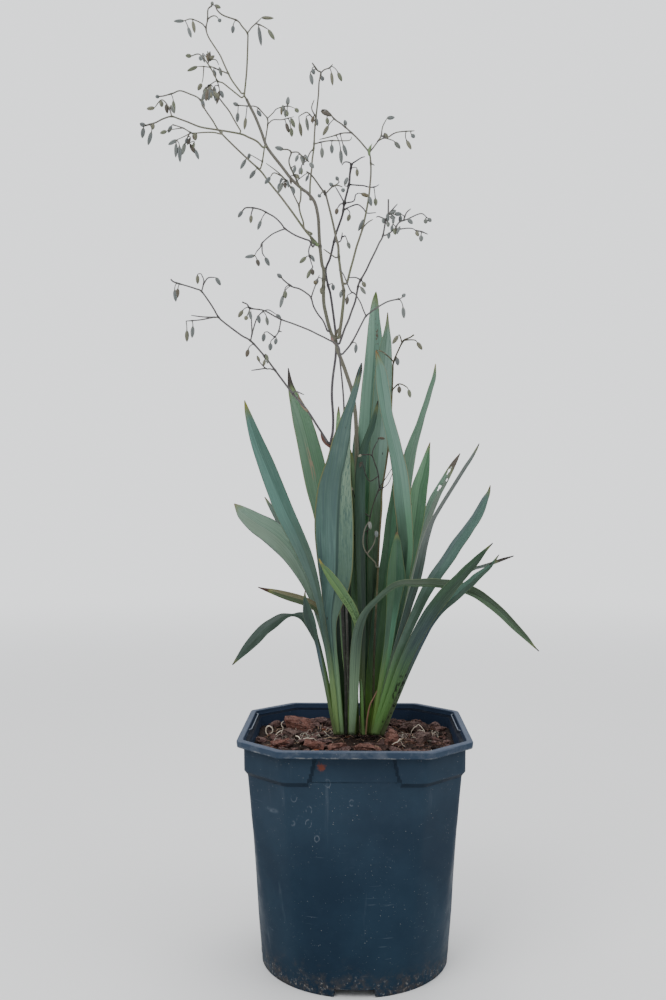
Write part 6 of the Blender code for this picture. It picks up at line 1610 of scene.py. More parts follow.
     (-132.4, 512, -133, 503.7), (-147.3, 542, -146.5, 533.5), (-144.7, 543, -145.5, 536),
     (-128.6, 554, -128.5, 547.5), (-113.5, 552, -110, 546.3), (-72.5, 489, -71, 483.7),
     (-87, 493, -88.3, 487.5)], DARK, extra=((-77, 489, 3, 2.5),), bracts=(((-38, 442), (-46, 458), 2.6,
     "#a08a72"),)),
    Spray("flower_stem_right_small", [(15.5, 178.8), (15.5, 220), (16.5, 260), (18.5, 300), (20, 335),
     (22, 362), (22.5, 378), (26, 400), (29, 425), (30.3, 449.7), (31.3, 474.7), (31.8, 482.2), (35.7, 492),
     (40, 500), (45.2, 502.5), (48.5, 504.8)], (-1.8, -3), (0.95, 0.52), [([(40, 500), (45.6, 500.6),
     (49.6, 500.2), (51, 498.5)], 6), ([(38.6, 498.4), (36.8, 504.4), (35.4, 504)], -4), ([(31.8, 482.2),
     (28, 486.7), (22.6, 491), (18.2, 492)], -26), ([(31.3, 460), (36.2, 464.6), (42, 462.5), (44, 460)],
     -6)], [(51, 498.5, 54.7, 493), (35.4, 504, 31.3, 498), (34.5, 486, 35.3, 480.3),
     (36.3, 462.5, 36.5, 457.5), (44, 460, 45.3, 454)], MOSSY),
    Spray("spray_inner_dark", [(20.4, 380.6), (18.9, 393), (16.4, 400.5), (13.9, 406.5), (8.9, 407),
     (5.6, 407)], (-7.5, -20), (0.47, 0.36), [([(13.9, 406.5), (15.5, 412), (19.3, 419)], 2), ([(18.9, 389),
     (11.4, 386), (6, 402)], -3), ([(20.4, 380.6), (25, 387), (31.5, 397.5)], 6), ([(20.4, 380.6), (14, 362),
     (10.2, 340), (10.6, 326)], 4), ([(19, 377), (27, 383), (31, 392)], 5), ([(12.6, 356), (3, 364),
     (-1.4, 378)], -3), ([(10.6, 345), (1, 340), (-2, 350)], -2)], [(20, 420.6, 24.5, 420),
     (5.6, 407, 3.2, 405.4), (5.4, 401, 4.3, 397), (-1.4, 378, -3.6, 380.5), (1.4, 370, 3.4, 366)], INK),
    Spray("spray_inner_pale", [(17.6, 316), (16.4, 319.5), (10.6, 325.5), (7, 333.7), (8, 345), (11.4, 352)],
     (-9.5, -19), (0.5, 0.42), [([(10.6, 325.5), (16, 335), (17.5, 345)], -1)], [(12, 352.5, 13, 346.5),
     (17.5, 345, 18, 340)], OLIVE),
)


@dataclass(frozen=True)
class FlowerHead:
    """All flower stems with their twigs, buds and leaflets.

    Args:
        sprays: its sprays.
        seed: number for the random draws of the first spray.
        olive: finish of the olive stems.
        dark: finish of the others.
    """

    sprays: tuple[Spray, ...] = SPRAYS
    seed: int = 300
    olive: SkinFinish = SkinFinish("olive stalk and striped bud skin", 0.55, 0.5)
    dark: SkinFinish = SkinFinish("purple-brown stalk and striped bud skin", 0.5, 0.5)

    def build(self) -> None:
        """Build every spray in place of its solid."""
        olive, dark = self.olive.material(), self.dark.material()
        for number, spray in enumerate(self.sprays):
            others = [other for other in self.sprays if other is not spray]
            mesh = spray.mesh(self.seed + number, others)
            finish = olive if spray.skin is OLIVE else dark
            place(mesh.build(f"{spray.name}_twigs", finish), Slot.STEM, spray.name)


# Pot

RIM_HALF = 90.0
RIM_FLAT = 56.1
LIP_SOFTNESS = 130.0
Profile = tuple[tuple[float, ...], ...]


def corner_reach(angle: np.ndarray, half: float, softness: float = LIP_SOFTNESS) -> np.ndarray:
    """Distance from the axis to a square with cut, softened corners.

    r = (sum over the eight sides of (max(0, cos(a - a_i)) / d_i) ** p) ** (-1 / p), which nears the smallest
    of d_i / cos(a - a_i) as the softness p grows.

    Args:
        angle: angles about the axis.
        half: half-width of the square.
        softness: p.

    Returns:
        The distance at each angle.
    """
    cut = (half + half * RIM_FLAT / RIM_HALF) / math.sqrt(2)
    total = np.zeros_like(angle)
    for side in range(8):
        away = np.maximum(np.cos(angle - side * math.pi / 4), 0.0)
        total += (away / (half if side % 2 == 0 else cut)) ** softness
    return total ** (-1.0 / softness)


@dataclass(frozen=True)
class Pot:
    """Nursery pot: one closed skin from the middle of its underside round to its inside, and two thin ribs.

    Args:
        height: height of the rim.
        around: points in each ring.
        outside: (z, half-width as a square, radius as a circle, roundness) of the body, from the foot up.
        lip: (z, half-width) of the lip, from outside over the top to the inner wall.
        inside: the same for the inner wall.
        softness: softness of the body's corners, low and high up.
        softness_z: heights of those two.
        foot_half: half-width of the foot.
        foot_ring: (z, radius) of the inner side of the foot.
        floor_z: height of the underside between the feet.
        floor_radii: radii of its first rings, up to the edge of the centre pad and past it.
        pad: radii between which the centre pad rises.
        drains: circle on which the six drain holes lie, where each begins and ends, and its depth.
        notch: half-width and height of the notches between the feet.
        panel: lower and upper height of the corner panels.
        panel_gap: half the gap between two panels at the top, and how much wider it is at the bottom.
        panel_stand: how far they stand out.
        rib_span: where each rib begins and ends.
        rib: distance from the middle, inset, height and radius of a rib.
        wave: scale of the moulding waves level and upright, and their height.
    """

    height: float = 186.7
    around: int = 504
    outside: Profile = (
        (0.0, 74.7, 74.7, 1.0), (0.25, 75.1, 75.1, 1.0), (0.8, 75.4, 75.4, 1.0), (3.0, 75.6, 75.6, 1.0),
        (14.0, 76.0, 76.2, 0.96), (40.0, 77.2, 78.4, 0.78), (70.0, 78.6, 80.3, 0.60),
        (100.0, 80.2, 82.4, 0.42), (125.0, 81.4, 83.6, 0.25), (145.0, 81.8, 83.2, 0.1),
        (160.0, 82.1, 83.0, 0.0), (181.9, 82.4, 82.4, 0.0),
    )
    lip: Profile = (
        (181.1, 88.2), (181.12, 89.5), (181.4, 89.95), (182.2, 90.15), (184.3, 90.4), (185.5, 90.5),
        (186.1, 90.3), (186.5, 89.9), (186.66, 89.3), (186.7, 88.4), (186.7, 86.6), (186.62, 85.9),
        (186.2, 85.5), (185.4, 85.35), (183.6, 85.2), (182.95, 84.9), (182.7, 83.9), (182.45, 82.3),
        (181.7, 81.5), (178.5, 81.3), (177.0, 81.2),
    )
    inside: Profile = ((174.0, 81.1), (168.0, 80.8), (160.0, 80.4))
    softness: tuple[float, float] = (34.0, 76.0)
    softness_z: tuple[float, float] = (30.0, 150.0)
    foot_half: float = 75.6
    foot_ring: Profile = ((5.0, 72.8), (2.0, 72.6), (0.3, 72.5), (0.0, 72.9), (0.0, 74.2))
    floor_z: float = 7.0
    floor_radii: tuple[float, ...] = (1.5, 6.0, 12.4, 13.0, 13.6, 16.0, *np.arange(20, 71, 1.25), 72.2)
    pad: tuple[float, float] = (12.9, 13.7)
    drains: tuple[float, float, float, float] = (42.0, 5.4, 6.6, 2.1)
    notch: tuple[float, float] = (15.6, 6.5)
    panel: tuple[float, float] = (162.0, 182.4)
    panel_gap: tuple[float, float] = (28.0, 4.6)
    panel_stand: float = 2.9
    rib_span: tuple[float, float] = (-13.0, 50.0)
    rib: tuple[float, float, float, float] = (85.3, 2.1, 185.0, 0.42)
    wave: tuple[float, float, float] = (0.03, 0.02, 0.28)
    finish: PotFinish = PotFinish()
    rib_finish: SkinFinish = SkinFinish("pale highlighted polypropylene edge", 0.5)

    def build(self) -> None:
        """Build the skin in place of its solid, and the ribs."""
        place(self.skin().build("nursery_pot_skin", self.finish.material(), sharp=24), Slot.POT, "pot")
        place(self.ribs().build("rim_slot_ribs", self.rib_finish.material()), Slot.POT)

    def underside(self, angle: np.ndarray, lift: np.ndarray) -> list[np.ndarray]:
        """Rings of the underside with its centre pad and drain holes, and of the inner side of the foot.

        Each step is an eased one: the pad's in the radius, a hole's in the distance from its middle.

        Args:
            angle: angles about the axis.
            lift: height of the notches at each angle.

        Returns:
            Rings of (x, y, z).
        """
        circle, begin, end, depth = self.drains
        rings = []
        for radius in self.floor_radii:
            x, y = radius * np.cos(angle), radius * np.sin(angle)
            z = np.full(self.around, self.floor_z * smooth(radius, *self.pad))
            for turn in np.radians(np.arange(6) * 60):
                off = np.hypot(x - circle * math.cos(turn), y - circle * math.sin(turn))
                z = z + depth * (1 - smooth(off, begin, end))
            rings.append(np.stack([x, y, z], -1))
        for z, radius in self.foot_ring:
            rings.append(self.ring(angle, radius, np.maximum(z, np.minimum(lift, self.floor_z - 0.4))))
        return rings

    @staticmethod
    def ring(angle: np.ndarray, reach: Any, z: Any) -> np.ndarray:
        """Ring of (x, y, z) at a distance from the axis and a height."""
        return np.stack([reach * np.cos(angle), reach * np.sin(angle), np.broadcast_to(z, angle.shape)], -1)

    def body(self, angle: np.ndarray, lift: np.ndarray) -> list[np.ndarray]:
        """Rings of the outside, round at the foot and square at the top, with raised corner panels.

        r = (1 - roundness) square + roundness circle + stand, where the stand eases in across the panel's
        side and within 0.8 mm above its lower edge.

        Args:
            angle: angles about the axis.
            lift: height of the notches at each angle.

        Returns:
            Rings of (x, y, z).
        """
        low, high = self.panel
        foot_heights, edge_heights = [0.0, 0.25, 0.8, 1.6, 3.0, 5.0, 6.3, 6.7], [-0.1, 0.0, 0.12, 0.35, 0.8]
        heights = [*foot_heights, *np.arange(8.5, 162.0, 3.2), 162.6, *(low + np.array(edge_heights)),
                   *np.arange(165.5, 181.0, 1.6), 181.1]
        table = np.array(self.outside)
        rings = []
        for z in heights:
            half, radius, roundness = (float(np.interp(z, table[:, 0], table[:, k])) for k in (1, 2, 3))
            softness = float(np.interp(z, self.softness_z, self.softness))
            square = corner_reach(angle, half * 2 ** (0.6 / softness), softness)
            reach = (1 - roundness) * square + roundness * radius
            gap = self.panel_gap[0] + self.panel_gap[1] * (high - z) / (high - low)
            near = np.minimum(np.abs(reach * np.cos(angle)), np.abs(reach * np.sin(angle)))
            step = float(np.interp(z - low, [0.0, 0.12, 0.35, 0.8], [0.0, 0.8, 0.95, 1.0]))
            reach = reach + self.panel_stand * smooth(near, gap - 0.45, gap + 0.6) * step
            foot = np.maximum(z, np.minimum(lift, self.floor_z - 0.4)) if z < self.floor_z else z
            rings.append(self.ring(angle, reach, foot))
        return rings

    def skin(self) -> MeshData:
        """Closed skin, moved in and out by slow noise as moulded plastic is.

        Returns:
            Rings from the middle of the underside up the outside, over the lip and down the inside.
        """
        angle = np.linspace(0, FULL_TURN, self.around, endpoint=False)
        to_side = np.minimum(np.abs(np.cos(angle)), np.abs(np.sin(angle))) * self.foot_half
        half, high = self.notch
        lift = high * (1 - smooth(to_side, half - 0.5, half + 0.4)) * (to_side < half + 0.6)
        rings = self.underside(angle, lift) + self.body(angle, lift)
        for z, width in self.lip + self.inside:
            rings.append(self.ring(angle, corner_reach(angle, width), z))
        points = np.concatenate(rings)
        moved = (points[:, 2] > 8) & (points[:, 2] < self.height - 1)
        level, upright, wave = self.wave
        shift = noise_at(points[moved] * (level, level, upright)) * wave
        radius = np.hypot(points[moved, 0], points[moved, 1])
        points[moved, :2] *= (1 + shift / radius)[:, None]
        top = (len(rings) - 1) * self.around
        ends = [list(range(self.around))[::-1], list(range(top, top + self.around))]
        return MeshData(points, strips(len(rings), self.around) + ends)

    def ribs(self) -> MeshData:
        """Thin ribs inside the left and right lip that bow inwards, with eased ends 3 mm long, pale as a
        painted highlight.

        Returns:
            Both as one piece.
        """
        wall, inset, z, radius = self.rib
        y = np.linspace(*self.rib_span, 40)
        inward = inset * smooth(y, y[0], y[0] + 3) * (1 - smooth(y, y[-1] - 3, y[-1]))
        data = MeshData(maps={"share": []})
        for side in (-1, 1):
            rows = np.column_stack([side * (wall - inward), y, np.full(40, z)])
            # Painted highlight: the ribs' pale colour stands for light on the slot's edge
            data.join(space_tube(rows, np.full(40, radius), pigment("#8d96a4")[:3], 8))
        return data


# Soil, bark and roots

def space_tube(points: np.ndarray, radii: np.ndarray, colour: Any, sides: int) -> MeshData:
    """Closed tube of one colour along points in space.

    Args:
        points: rows of (x, y, z).
        radii: radius at each row.
        colour: (r, g, b).
        sides: points in each ring.

    Returns:
        The tube.
    """
    x, y, z = points.T
    k = 1.0 + y / VIEW_DISTANCE
    drawn = np.column_stack([x / k, VIEW_HEIGHT + (z - VIEW_HEIGHT) / k, y])
    return tube(drawn, radii, np.tile([*colour, 0.0], (len(points), 1)), sides)


@dataclass(frozen=True)
class Soil:
    """Peat and bark mix that fills the pot, with a lumpy top.

    Args:
        top: height of its middle.
        half: half-width of its top.
        rings: rings of points on its top.
        around: points in each ring.
        relief: size and height of its lumps and crumbs.
        sides: (z, half-width, radius, roundness) of the rings down its side.
    """

    top: float = 176.0
    half: float = 81.0
    rings: int = 96
    around: int = 300
    relief: Profile = ((11.0, 1.0), (5.2, 0.8), (2.6, 0.55), (1.4, 0.3))
    sides: Profile = ((160.0, 78.0, 78.4, 0.0), (125.0, 77.0, 79.0, 0.25), (70.0, 74.6, 76.5, 0.6),
                      (9.6, 72.2, 72.6, 0.96))
    finish: EarthFinish = EarthFinish("moist peat and composted bark", ("#1a1311", "#33261f", "#5f4a40"),
                                      3.2, 0.95, 0.5)

    def smooth_height(self, x: Any, y: Any) -> Any:
        """Smooth height, a little higher round the plant, with two slow ripples, as the solid has it."""
        near = np.exp(-((x / 34.0) ** 2 + (y / 30.0) ** 2))
        ripple = 0.55 * np.sin(x / 7.3 + 1.1) * np.cos(y / 8.9 - 0.4) + 0.4 * np.sin((x + 2 * y) / 17.0)
        return self.top - 2.6 + 2.4 * near + ripple * (1 - near)

    def at(self, x: Any, y: Any) -> np.ndarray:
        """Lumpy surface: the smooth one plus height * (1.7 |noise| - 0.45) for each size of lumps.

        Args:
            x: places across.
            y: their depths.

        Returns:
            The heights.
        """
        x, y = np.atleast_1d(x), np.atleast_1d(y)
        total = self.smooth_height(x, y)
        for cell, height in self.relief:
            value = noise_at(np.column_stack([x / cell, y / cell, np.full(len(x), cell)]))
            total = total + height * (np.abs(value) * 1.7 - 0.45)
        return total

    def on_top(self, x: np.ndarray, y: np.ndarray, lift: Any) -> np.ndarray:
        """Points in space at a height over the surface."""
        return np.column_stack([x, y, self.at(x, y) + lift])

    def inside(self, x: Any, y: Any, margin: float) -> bool:
        """Whether all places lie at least a margin inside the edge."""
        reach = corner_reach(np.arctan2(y, x), self.half)
        return not np.any(np.hypot(x, y) > reach - margin)

    def build(self) -> None:
        """Build the mix in place of its solid: the top as rings round its middle, the side and the base."""
        angle = np.linspace(0, FULL_TURN, self.around, endpoint=False)
        reach = np.outer(np.linspace(0, 1, self.rings + 1)[1:], corner_reach(angle, self.half))
        x, y = (reach * np.cos(angle)).ravel(), (reach * np.sin(angle)).ravel()
        points = [self.on_top(np.zeros(1), np.zeros(1), 0.0), self.on_top(x, y, 0.0)]
        for z, half, radius, roundness in self.sides:
            ring = (1 - roundness) * corner_reach(angle, half) + roundness * radius
            points.append(Pot.ring(angle, ring, z))
        rows = self.rings + len(self.sides)
        last = 1 + (rows - 1) * self.around
        fan = [[0, 1 + j, 1 + (j + 1) % self.around] for j in range(self.around)]
        faces = fan + strips(rows, self.around, 1) + [list(range(last, last + self.around))]
        place(MeshData(np.vstack(points), faces).build("peat_mix", self.finish.material()), Slot.SOIL, "soil")


def arrays_of(mesh: bmesh.types.BMesh) -> tuple[np.ndarray, np.ndarray, list[list[int]]]:
    """Read a mesh of triangles, and free it.

    Args:
        mesh: the mesh.

    Returns:
        Its points, their normals and its faces.
    """
    draft = bpy.data.meshes.new("draft")
    mesh.to_mesh(draft)
    mesh.free()
    points, normals = np.empty((2, len(draft.vertices) * 3), np.float32)
    corners = np.empty(len(draft.loops), np.int32)
    draft.vertices.foreach_get("co", points)
    draft.vertices.foreach_get("normal", normals)
    draft.loops.foreach_get("vertex_index", corners)
    bpy.data.meshes.remove(draft)
    points, normals = points.reshape(-1, 3).astype(float), normals.reshape(-1, 3).astype(float)
    return points, normals, corners.reshape(-1, 3).tolist()


@dataclass(frozen=True)
class Chip:
    """Layered, broken piece of bark on the soil.

    Args:
        name: the solid it stands for.
        x: centre across, as seen.
        y: depth of the centre.
        size: length, depth and height.
        turn: degrees about the upright axis.
        tilt: degrees out of the level.
        tones: dark, middle and light colour.
    """

    name: str
    x: float
    y: float
    size: tuple[float, float, float]
    turn: float
    tilt: float
    tones: tuple[str, str, str]

    def shell(self, rng: np.random.Generator) -> bmesh.types.BMesh:
        """Hull of 22 scattered points near the surface of a box, cut up to edges of about 1.1 mm.

        Args:
            rng: random source.

        Returns:
            The hull, in triangles.
        """
        mesh = bmesh.new()
        for _ in range(22):
            corner = rng.uniform(-1, 1, 3)
            corner /= max(abs(corner))
            corner *= rng.uniform(0.82, 1.0)
            mesh.verts.new(corner * np.array(self.size) / 2)
        hull = bmesh.ops.convex_hull(mesh, input=mesh.verts)
        inner = hull["geom_interior"] + hull["geom_unused"]
        spare = list(dict.fromkeys(v for v in inner if isinstance(v, bmesh.types.BMVert)))
        bmesh.ops.delete(mesh, geom=spare, context="VERTS")
        for _ in range(4):
            bmesh.ops.triangulate(mesh, faces=mesh.faces)
            edges = [e for e in mesh.edges if e.calc_length() > 1.1]
            bmesh.ops.subdivide_edges(mesh, edges=edges, cuts=1)
        bmesh.ops.triangulate(mesh, faces=mesh.faces)
        return mesh

    def build(self, soil: Soil, seed: int) -> None:
        """Build the chip in place of its solid, roughened by noise and sunk a little into the soil.

        Each point moves along its normal by -0.25 - 1.1 |layers| + 0.45 pits + 0.175 grit, in mm.

        Args:
            soil: what it lies on.
            seed: number for its random draws.
        """
        points, normals, faces = arrays_of(self.shell(np.random.default_rng(seed)))
        off = (seed * 3.1, seed * 1.7, 0.0)
        layers = np.abs(noise_at(points * (0.07, 0.09, 0.9) + off))
        pits = 0.9 * noise_at(points * 0.33 + off) + 0.35 * noise_at(points * 0.9 + off)
        points = points + normals * (-0.25 - 1.1 * layers + 0.5 * pits)[:, None]
        points = turned(points, math.radians(self.turn), math.radians(self.tilt))
        points[:, 0] += self.x * (1 + self.y / VIEW_DISTANCE)
        points[:, 1] += self.y
        low = points[points[:, 2] < 0.3]
        points[:, 2] += max(soil.smooth_height(low[:, 0], low[:, 1]) + 0.35 - low[:, 2]) - 0.6
        finish = EarthFinish(f"{self.name} flaked bark", self.tones, 4.0, 0.9, 0.5).material()
        place(MeshData(points, faces, smooth=False).build(f"{self.name}_flake", finish), Slot.BARK, self.name)


@lru_cache(maxsize=None)
def ball(detail: int) -> tuple[np.ndarray, list[list[int]]]:
    """Unit icosphere.

    Args:
        detail: its subdivisions.

    Returns:
        Its points and faces.
    """
    mesh = bmesh.new()
    bmesh.ops.create_icosphere(mesh, subdivisions=detail, radius=1.0)
    points, _, faces = arrays_of(mesh)
    return points, faces


@dataclass(frozen=True)
class Scatter:
    """Loose bits of one kind on the soil.

    Args:
        name: name of the piece.
        count: how many.
        low: smallest diameter in mm.
        high: largest diameter in mm.
        flat: height as a share of the diameter.
        tones: dark, middle and light colour.
        side: which half they lie on, -1 left, 1 right, 0 both.
    """

    name: str
    count: int
    low: float
    high: float
    flat: float
    tones: tuple[str, str, str]
    side: int = 0

    @staticmethod
    def lump(size: np.ndarray, detail: int, rng: np.random.Generator, seed: int) -> MeshData:
        """Irregular closed lump about the origin: a blocky ball of unequal sides, pushed in and out by noise.

        A point p of the ball grows by (0.72 + 0.224 / b)(1 + 0.4 n(1.6 p)) + 0.1 n(4.5 p), with b the
        greatest of its coordinates and n the noise, and is then turned and tilted at random.

        Args:
            size: its three diameters.
            detail: icosphere subdivisions.
            rng: random source.
            seed: number added to the noise place.

        Returns:
            The lump, flat-sided.
        """
        turn, tilt = rng.uniform(0, 6.3), rng.uniform(-0.5, 0.5)
        off = (rng.uniform(-50, 50), seed * 1.7, rng.uniform(-50, 50))
        points, faces = ball(detail)
        blocky = np.abs(points).max(axis=1)
        grow = (0.72 + 0.28 / blocky * 0.8) * (1 + 0.4 * noise_at(points * 1.6 + off))
        grow += 0.1 * noise_at(points * 4.5 + off)
        points = turned(points * grow[:, None] * size / 2, turn, tilt)
        return MeshData(points, faces, smooth=False)

    def build(self, soil: Soil, seed: int) -> None:
        """Build all bits as one piece. Large ones stay clear of the plant's foot.

        Args:
            soil: what they lie on.
            seed: number for their random draws.
        """
        rng = np.random.default_rng(seed)
        data = MeshData(smooth=False)
        made = 0
        while made < self.count:
            x, y = rng.uniform(-77, 77, 2)
            size = self.low + (self.high - self.low) * rng.random() ** 2.2
            if not soil.inside(np.array([x]), np.array([y]), size * 0.6) or (self.side and x * self.side < 0):
                continue
            if size > 5 and (x + 1) ** 2 / 26**2 + (y + 2) ** 2 / 22**2 < 1:
                continue
            wide = size * rng.uniform(0.5, 0.95)
            tall = size * self.flat * rng.uniform(0.6, 1.1)
            bit = self.lump(np.array([size, wide, tall]), 1 if size < 3 else 2, rng, made)
            bit.points = bit.points + (x, y, soil.at(x, y)[0] + tall * (0.22 if size < 5 else 0.34))
            data.join(bit)
            made += 1
        finish = EarthFinish(f"{self.name} matter", self.tones, 1.6, 0.95, 0.3).material()
        place(data.build(self.name, finish), Slot.SOIL)


def thread(x: float, y: float, turn: float, long: float, bend: float, t: np.ndarray) -> tuple[Any, Any]:
    """Level places of a bent line through (x, y): long t ahead and long bend t ** 2 aside."""
    ahead, aside = long * t, long * bend * t**2
    return (x + ahead * math.cos(turn) - aside * math.sin(turn),
            y + ahead * math.sin(turn) + aside * math.cos(turn))


@dataclass(frozen=True)
class Roots:
    """Pale roots that loop out of the soil, tangles of fine ones, and thin peat fibres.

    Args:
        loops: rows of (x, y, height over the soil) and a radius.
        tangles: (x, y) of the middle, how many, and how far they spread.
        fibres: how many peat fibres are tried.
        seed: number for the random draws.
        pale: finish of the roots.
        brown: finish of the fibres.
    """

    loops: tuple[tuple[Profile, float], ...] = (
        (((-57, 8, 1.0), (-54, 3, 3.6), (-50, 0, 4.6), (-46, -3, 3.4), (-43, -6, 1.0)), 0.55),
        (((-46, -12, 0.6), (-41, -9, 2.8), (-36, -8, 3.2), (-31, -5, 1.4), (-26, -4, 0.4)), 0.4),
        (((47, 20, 0.5), (48.5, 20, 5.0), (52.5, 21, 9.0), (57, 20, 7.0), (60, 19, 0.6)), 0.42),
        (((-71.5, 17, 0.5), (-74.2, 17.5, 3.0), (-74.5, 18, 6.2), (-71.4, 18.3, 8.4), (-68.2, 18.4, 6.4),
          (-68.6, 18, 3.4), (-71.2, 17.4, 2.2)), 0.6),
        (((-61, 22, 0.3), (-60.2, 22, 4.0), (-61.3, 22.5, 7.5), (-60.0, 22.5, 10.5)), 0.42),
        (((30, -28, 2.8), (33, -29, 6.0), (36, -28, 8.2), (38, -25, 3.0), (40, -22, 0.4)), 0.45),
        (((-66, 20, 0.5), (-62, 24, 2.4), (-57, 26, 2.0), (-52, 30, 0.3)), 0.4),
        (((18, -50, 0.5), (24, -53, 2.4), (32, -52, 2.6), (40, -49, 0.5)), 0.35),
        (((60, 20, 0.4), (56, 28, 2.6), (50, 33, 0.5)), 0.4),
        (((-20, 52, 0.4), (-8, 56, 2.4), (4, 54, 0.5)), 0.45),
        (((-28, -48, 0.4), (-20, -53, 2.0), (-10, -52, 0.4)), 0.35),
        (((62, -35, 0.4), (58, -42, 2.2), (50, -46, 0.4)), 0.4),
    )
    tangles: Profile = ((-50, 2, 26, 7.0), (-38, 8, 16, 6.0), (34, 4, 18, 4.0), (52, 8, 16, 8.0),
                        (66, 20, 10, 5.0), (-20, 20, 8, 8.0))
    fibres: int = 330
    seed: int = 77
    pale: SkinFinish = SkinFinish("dry pale root", 0.75)
    brown: SkinFinish = SkinFinish("peat fibre", 0.85)

    def build(self, soil: Soil) -> None:
        """Build the roots as one piece and the fibres as another.

        Args:
            soil: what they grow out of.
        """
        rng = np.random.default_rng(self.seed)
        roots = self.looping(soil, rng)
        roots.join(self.tangled(soil, rng))
        place(roots.build("pale_roots", self.pale.material()), Slot.SOIL)
        place(self.fibrous(soil, rng).build("peat_fibres", self.brown.material()), Slot.SOIL)

    def looping(self, soil: Soil, rng: np.random.Generator) -> MeshData:
        """Thick roots that loop out of the soil, each with a small sideways wave and thinner ends.

        Args:
            soil: what they lie on.
            rng: random source.

        Returns:
            All of them.
        """
        data = MeshData(maps={"share": []})
        for rows, radius in self.loops:
            x, y, lift = smooth_curve(rows, 30)[0].T
            line = soil.on_top(x, y, lift)
            line[:, 0] += 0.5 * np.sin(np.linspace(0, 9, 30) + radius * 40)
            taper = radius * (0.65 + 0.35 * np.sin(np.linspace(0.3, 2.9, 30)))
            colour = np.array(linear("#d2c6b4")[:3]) * rng.uniform(0.75, 1.1)
            data.join(space_tube(line, taper, colour, 7))
        return data

    def tangled(self, soil: Soil, rng: np.random.Generator) -> MeshData:
        """Fine roots that arch over the soil, an arch being h (1 - (2 t) ** 2) high.

        Args:
            soil: what they lie on.
            rng: random source.

        Returns:
            All of them.
        """
        data = MeshData(maps={"share": []})
        t = np.linspace(-0.5, 0.5, 9)
        for x0, y0, count, spread in self.tangles:
            for _ in range(count):
                turn, long = rng.uniform(0, 6.3), rng.uniform(3.5, 9.0)
                x, y = x0 + rng.normal(0, spread), y0 + rng.normal(0, spread)
                px, py = thread(x, y, turn, long, rng.uniform(-0.9, 0.9), t)
                px = px + 0.4 * np.sin(t * 17 + turn)
                line = soil.on_top(px, py, 0.3 + rng.uniform(0.4, 4.2) * (1 - (2 * t) ** 2))
                colour = np.array(pigment("#d6ccbc")[:3]) * rng.uniform(0.6, 1.15)
                data.join(space_tube(line, np.full(9, rng.uniform(0.13, 0.26)), colour, 6))
        return data

    def fibrous(self, soil: Soil, rng: np.random.Generator) -> MeshData:
        """Thin fibres, two of three on the right half, that arch as the fine roots do.

        Args:
            soil: what they lie on.
            rng: random source.

        Returns:
            All of them.
        """
        data = MeshData(maps={"share": []})
        t = np.linspace(-0.5, 0.5, 8)
        for number in range(self.fibres):
            right = number % 3 != 0
            x, y = rng.uniform(4 if right else -74, 74 if right else 10), rng.uniform(-74, 74)
            turn, long = rng.uniform(0, 6.3), rng.uniform(4, 15)
            px, py = thread(x, y, turn, long, rng.uniform(-0.35, 0.35), t)
            if not soil.inside(px, py, 1.0):
                continue
            line = soil.on_top(px, py, 0.25 + rng.uniform(0.2, 2.6) * (1 - (2 * t) ** 2))
            colour = np.array(linear("#6b4c3c" if number % 4 else "#a58c74")[:3]) * rng.uniform(0.6, 1.2)
            data.join(space_tube(line, np.full(8, rng.uniform(0.12, 0.28)), colour, 5))
        return data


FRESH = ("#50352e", "#875f54", "#bb998c")
RUST = ("#4a2f29", "#7f554a", "#b6938a")
BROWN = ("#3b2b28", "#655049", "#9f8a82")


@dataclass(frozen=True)
class Bed:
    """What fills the pot: the soil, the bark chips, loose bits and roots.

    Args:
        soil: the mix.
        chips: larger chips with a solid each.
        scatters: kinds of loose bits.
        roots: roots and fibres.
        chip_seed: number for the random draws of the first chip.
        scatter_seed: the same for the first kind of bits.
    """

    soil: Soil = Soil()
    chips: tuple[Chip, ...] = (
        Chip("bark_chip_large", -45, 34, (30, 17, 10), 12, 8, RUST),
        Chip("bark_chip_stepped", -52, 4, (14, 12, 8), -30, 10, BROWN),
        Chip("bark_chip_left", -60, -22, (17, 13, 7), 20, -8, RUST),
        Chip("bark_chip_front_left", -33, -30, (19, 11, 7), -14, 6, RUST),
        Chip("bark_chip_front_middle", -14, -38, (16, 10, 7), 8, -6, FRESH),
        Chip("bark_chip_front_long", 10, -40, (25, 12, 7), -4, 5, FRESH),
        Chip("bark_chip_upright", 30, -22, (9, 11, 16), 25, 14, FRESH),
        Chip("bark_chip_right", 55, -6, (17, 12, 7), 34, -7, BROWN),
        Chip("bark_chip_back_right", 47, 36, (20, 13, 8), -22, 7, BROWN),
    )
    scatters: tuple[Scatter, ...] = (
        Scatter("dark_crumbs", 260, 1.5, 5.0, 0.6, ("#15100e", "#271d19", "#4c3c33"), 1),
        Scatter("peat_crumbs", 560, 1.1, 3.4, 0.7, ("#1f1613", "#3d2c26", "#6f564a")),
        Scatter("bark_crumbs", 330, 2.6, 9.5, 0.5, ("#3a2a27", "#6a4e48", "#a68d84")),
        Scatter("bark_flakes", 100, 6.0, 13.0, 0.5, ("#3a2b29", "#6b524e", "#ab958d")),
        Scatter("dark_flakes", 60, 5.0, 11.0, 0.5, ("#241a18", "#493630", "#7c6358")),
        Scatter("pale_bits", 90, 0.9, 2.4, 0.6, ("#8a8072", "#b9ae9c", "#ddd6c8")),
        Scatter("orange_chips", 19, 3.0, 6.5, 0.4, ("#5e3524", "#935a3e", "#bb8a6a"), -1),
    )
    roots: Roots = Roots()
    chip_seed: int = 40
    scatter_seed: int = 500

    def build(self) -> None:
        """Build the soil and all that lies on it."""
        self.soil.build()
        for number, chip in enumerate(self.chips):
            chip.build(self.soil, self.chip_seed + number)
        for number, kind in enumerate(self.scatters):
            kind.build(self.soil, self.scatter_seed + number)
        self.roots.build(self.soil)


# Floor, light and camera

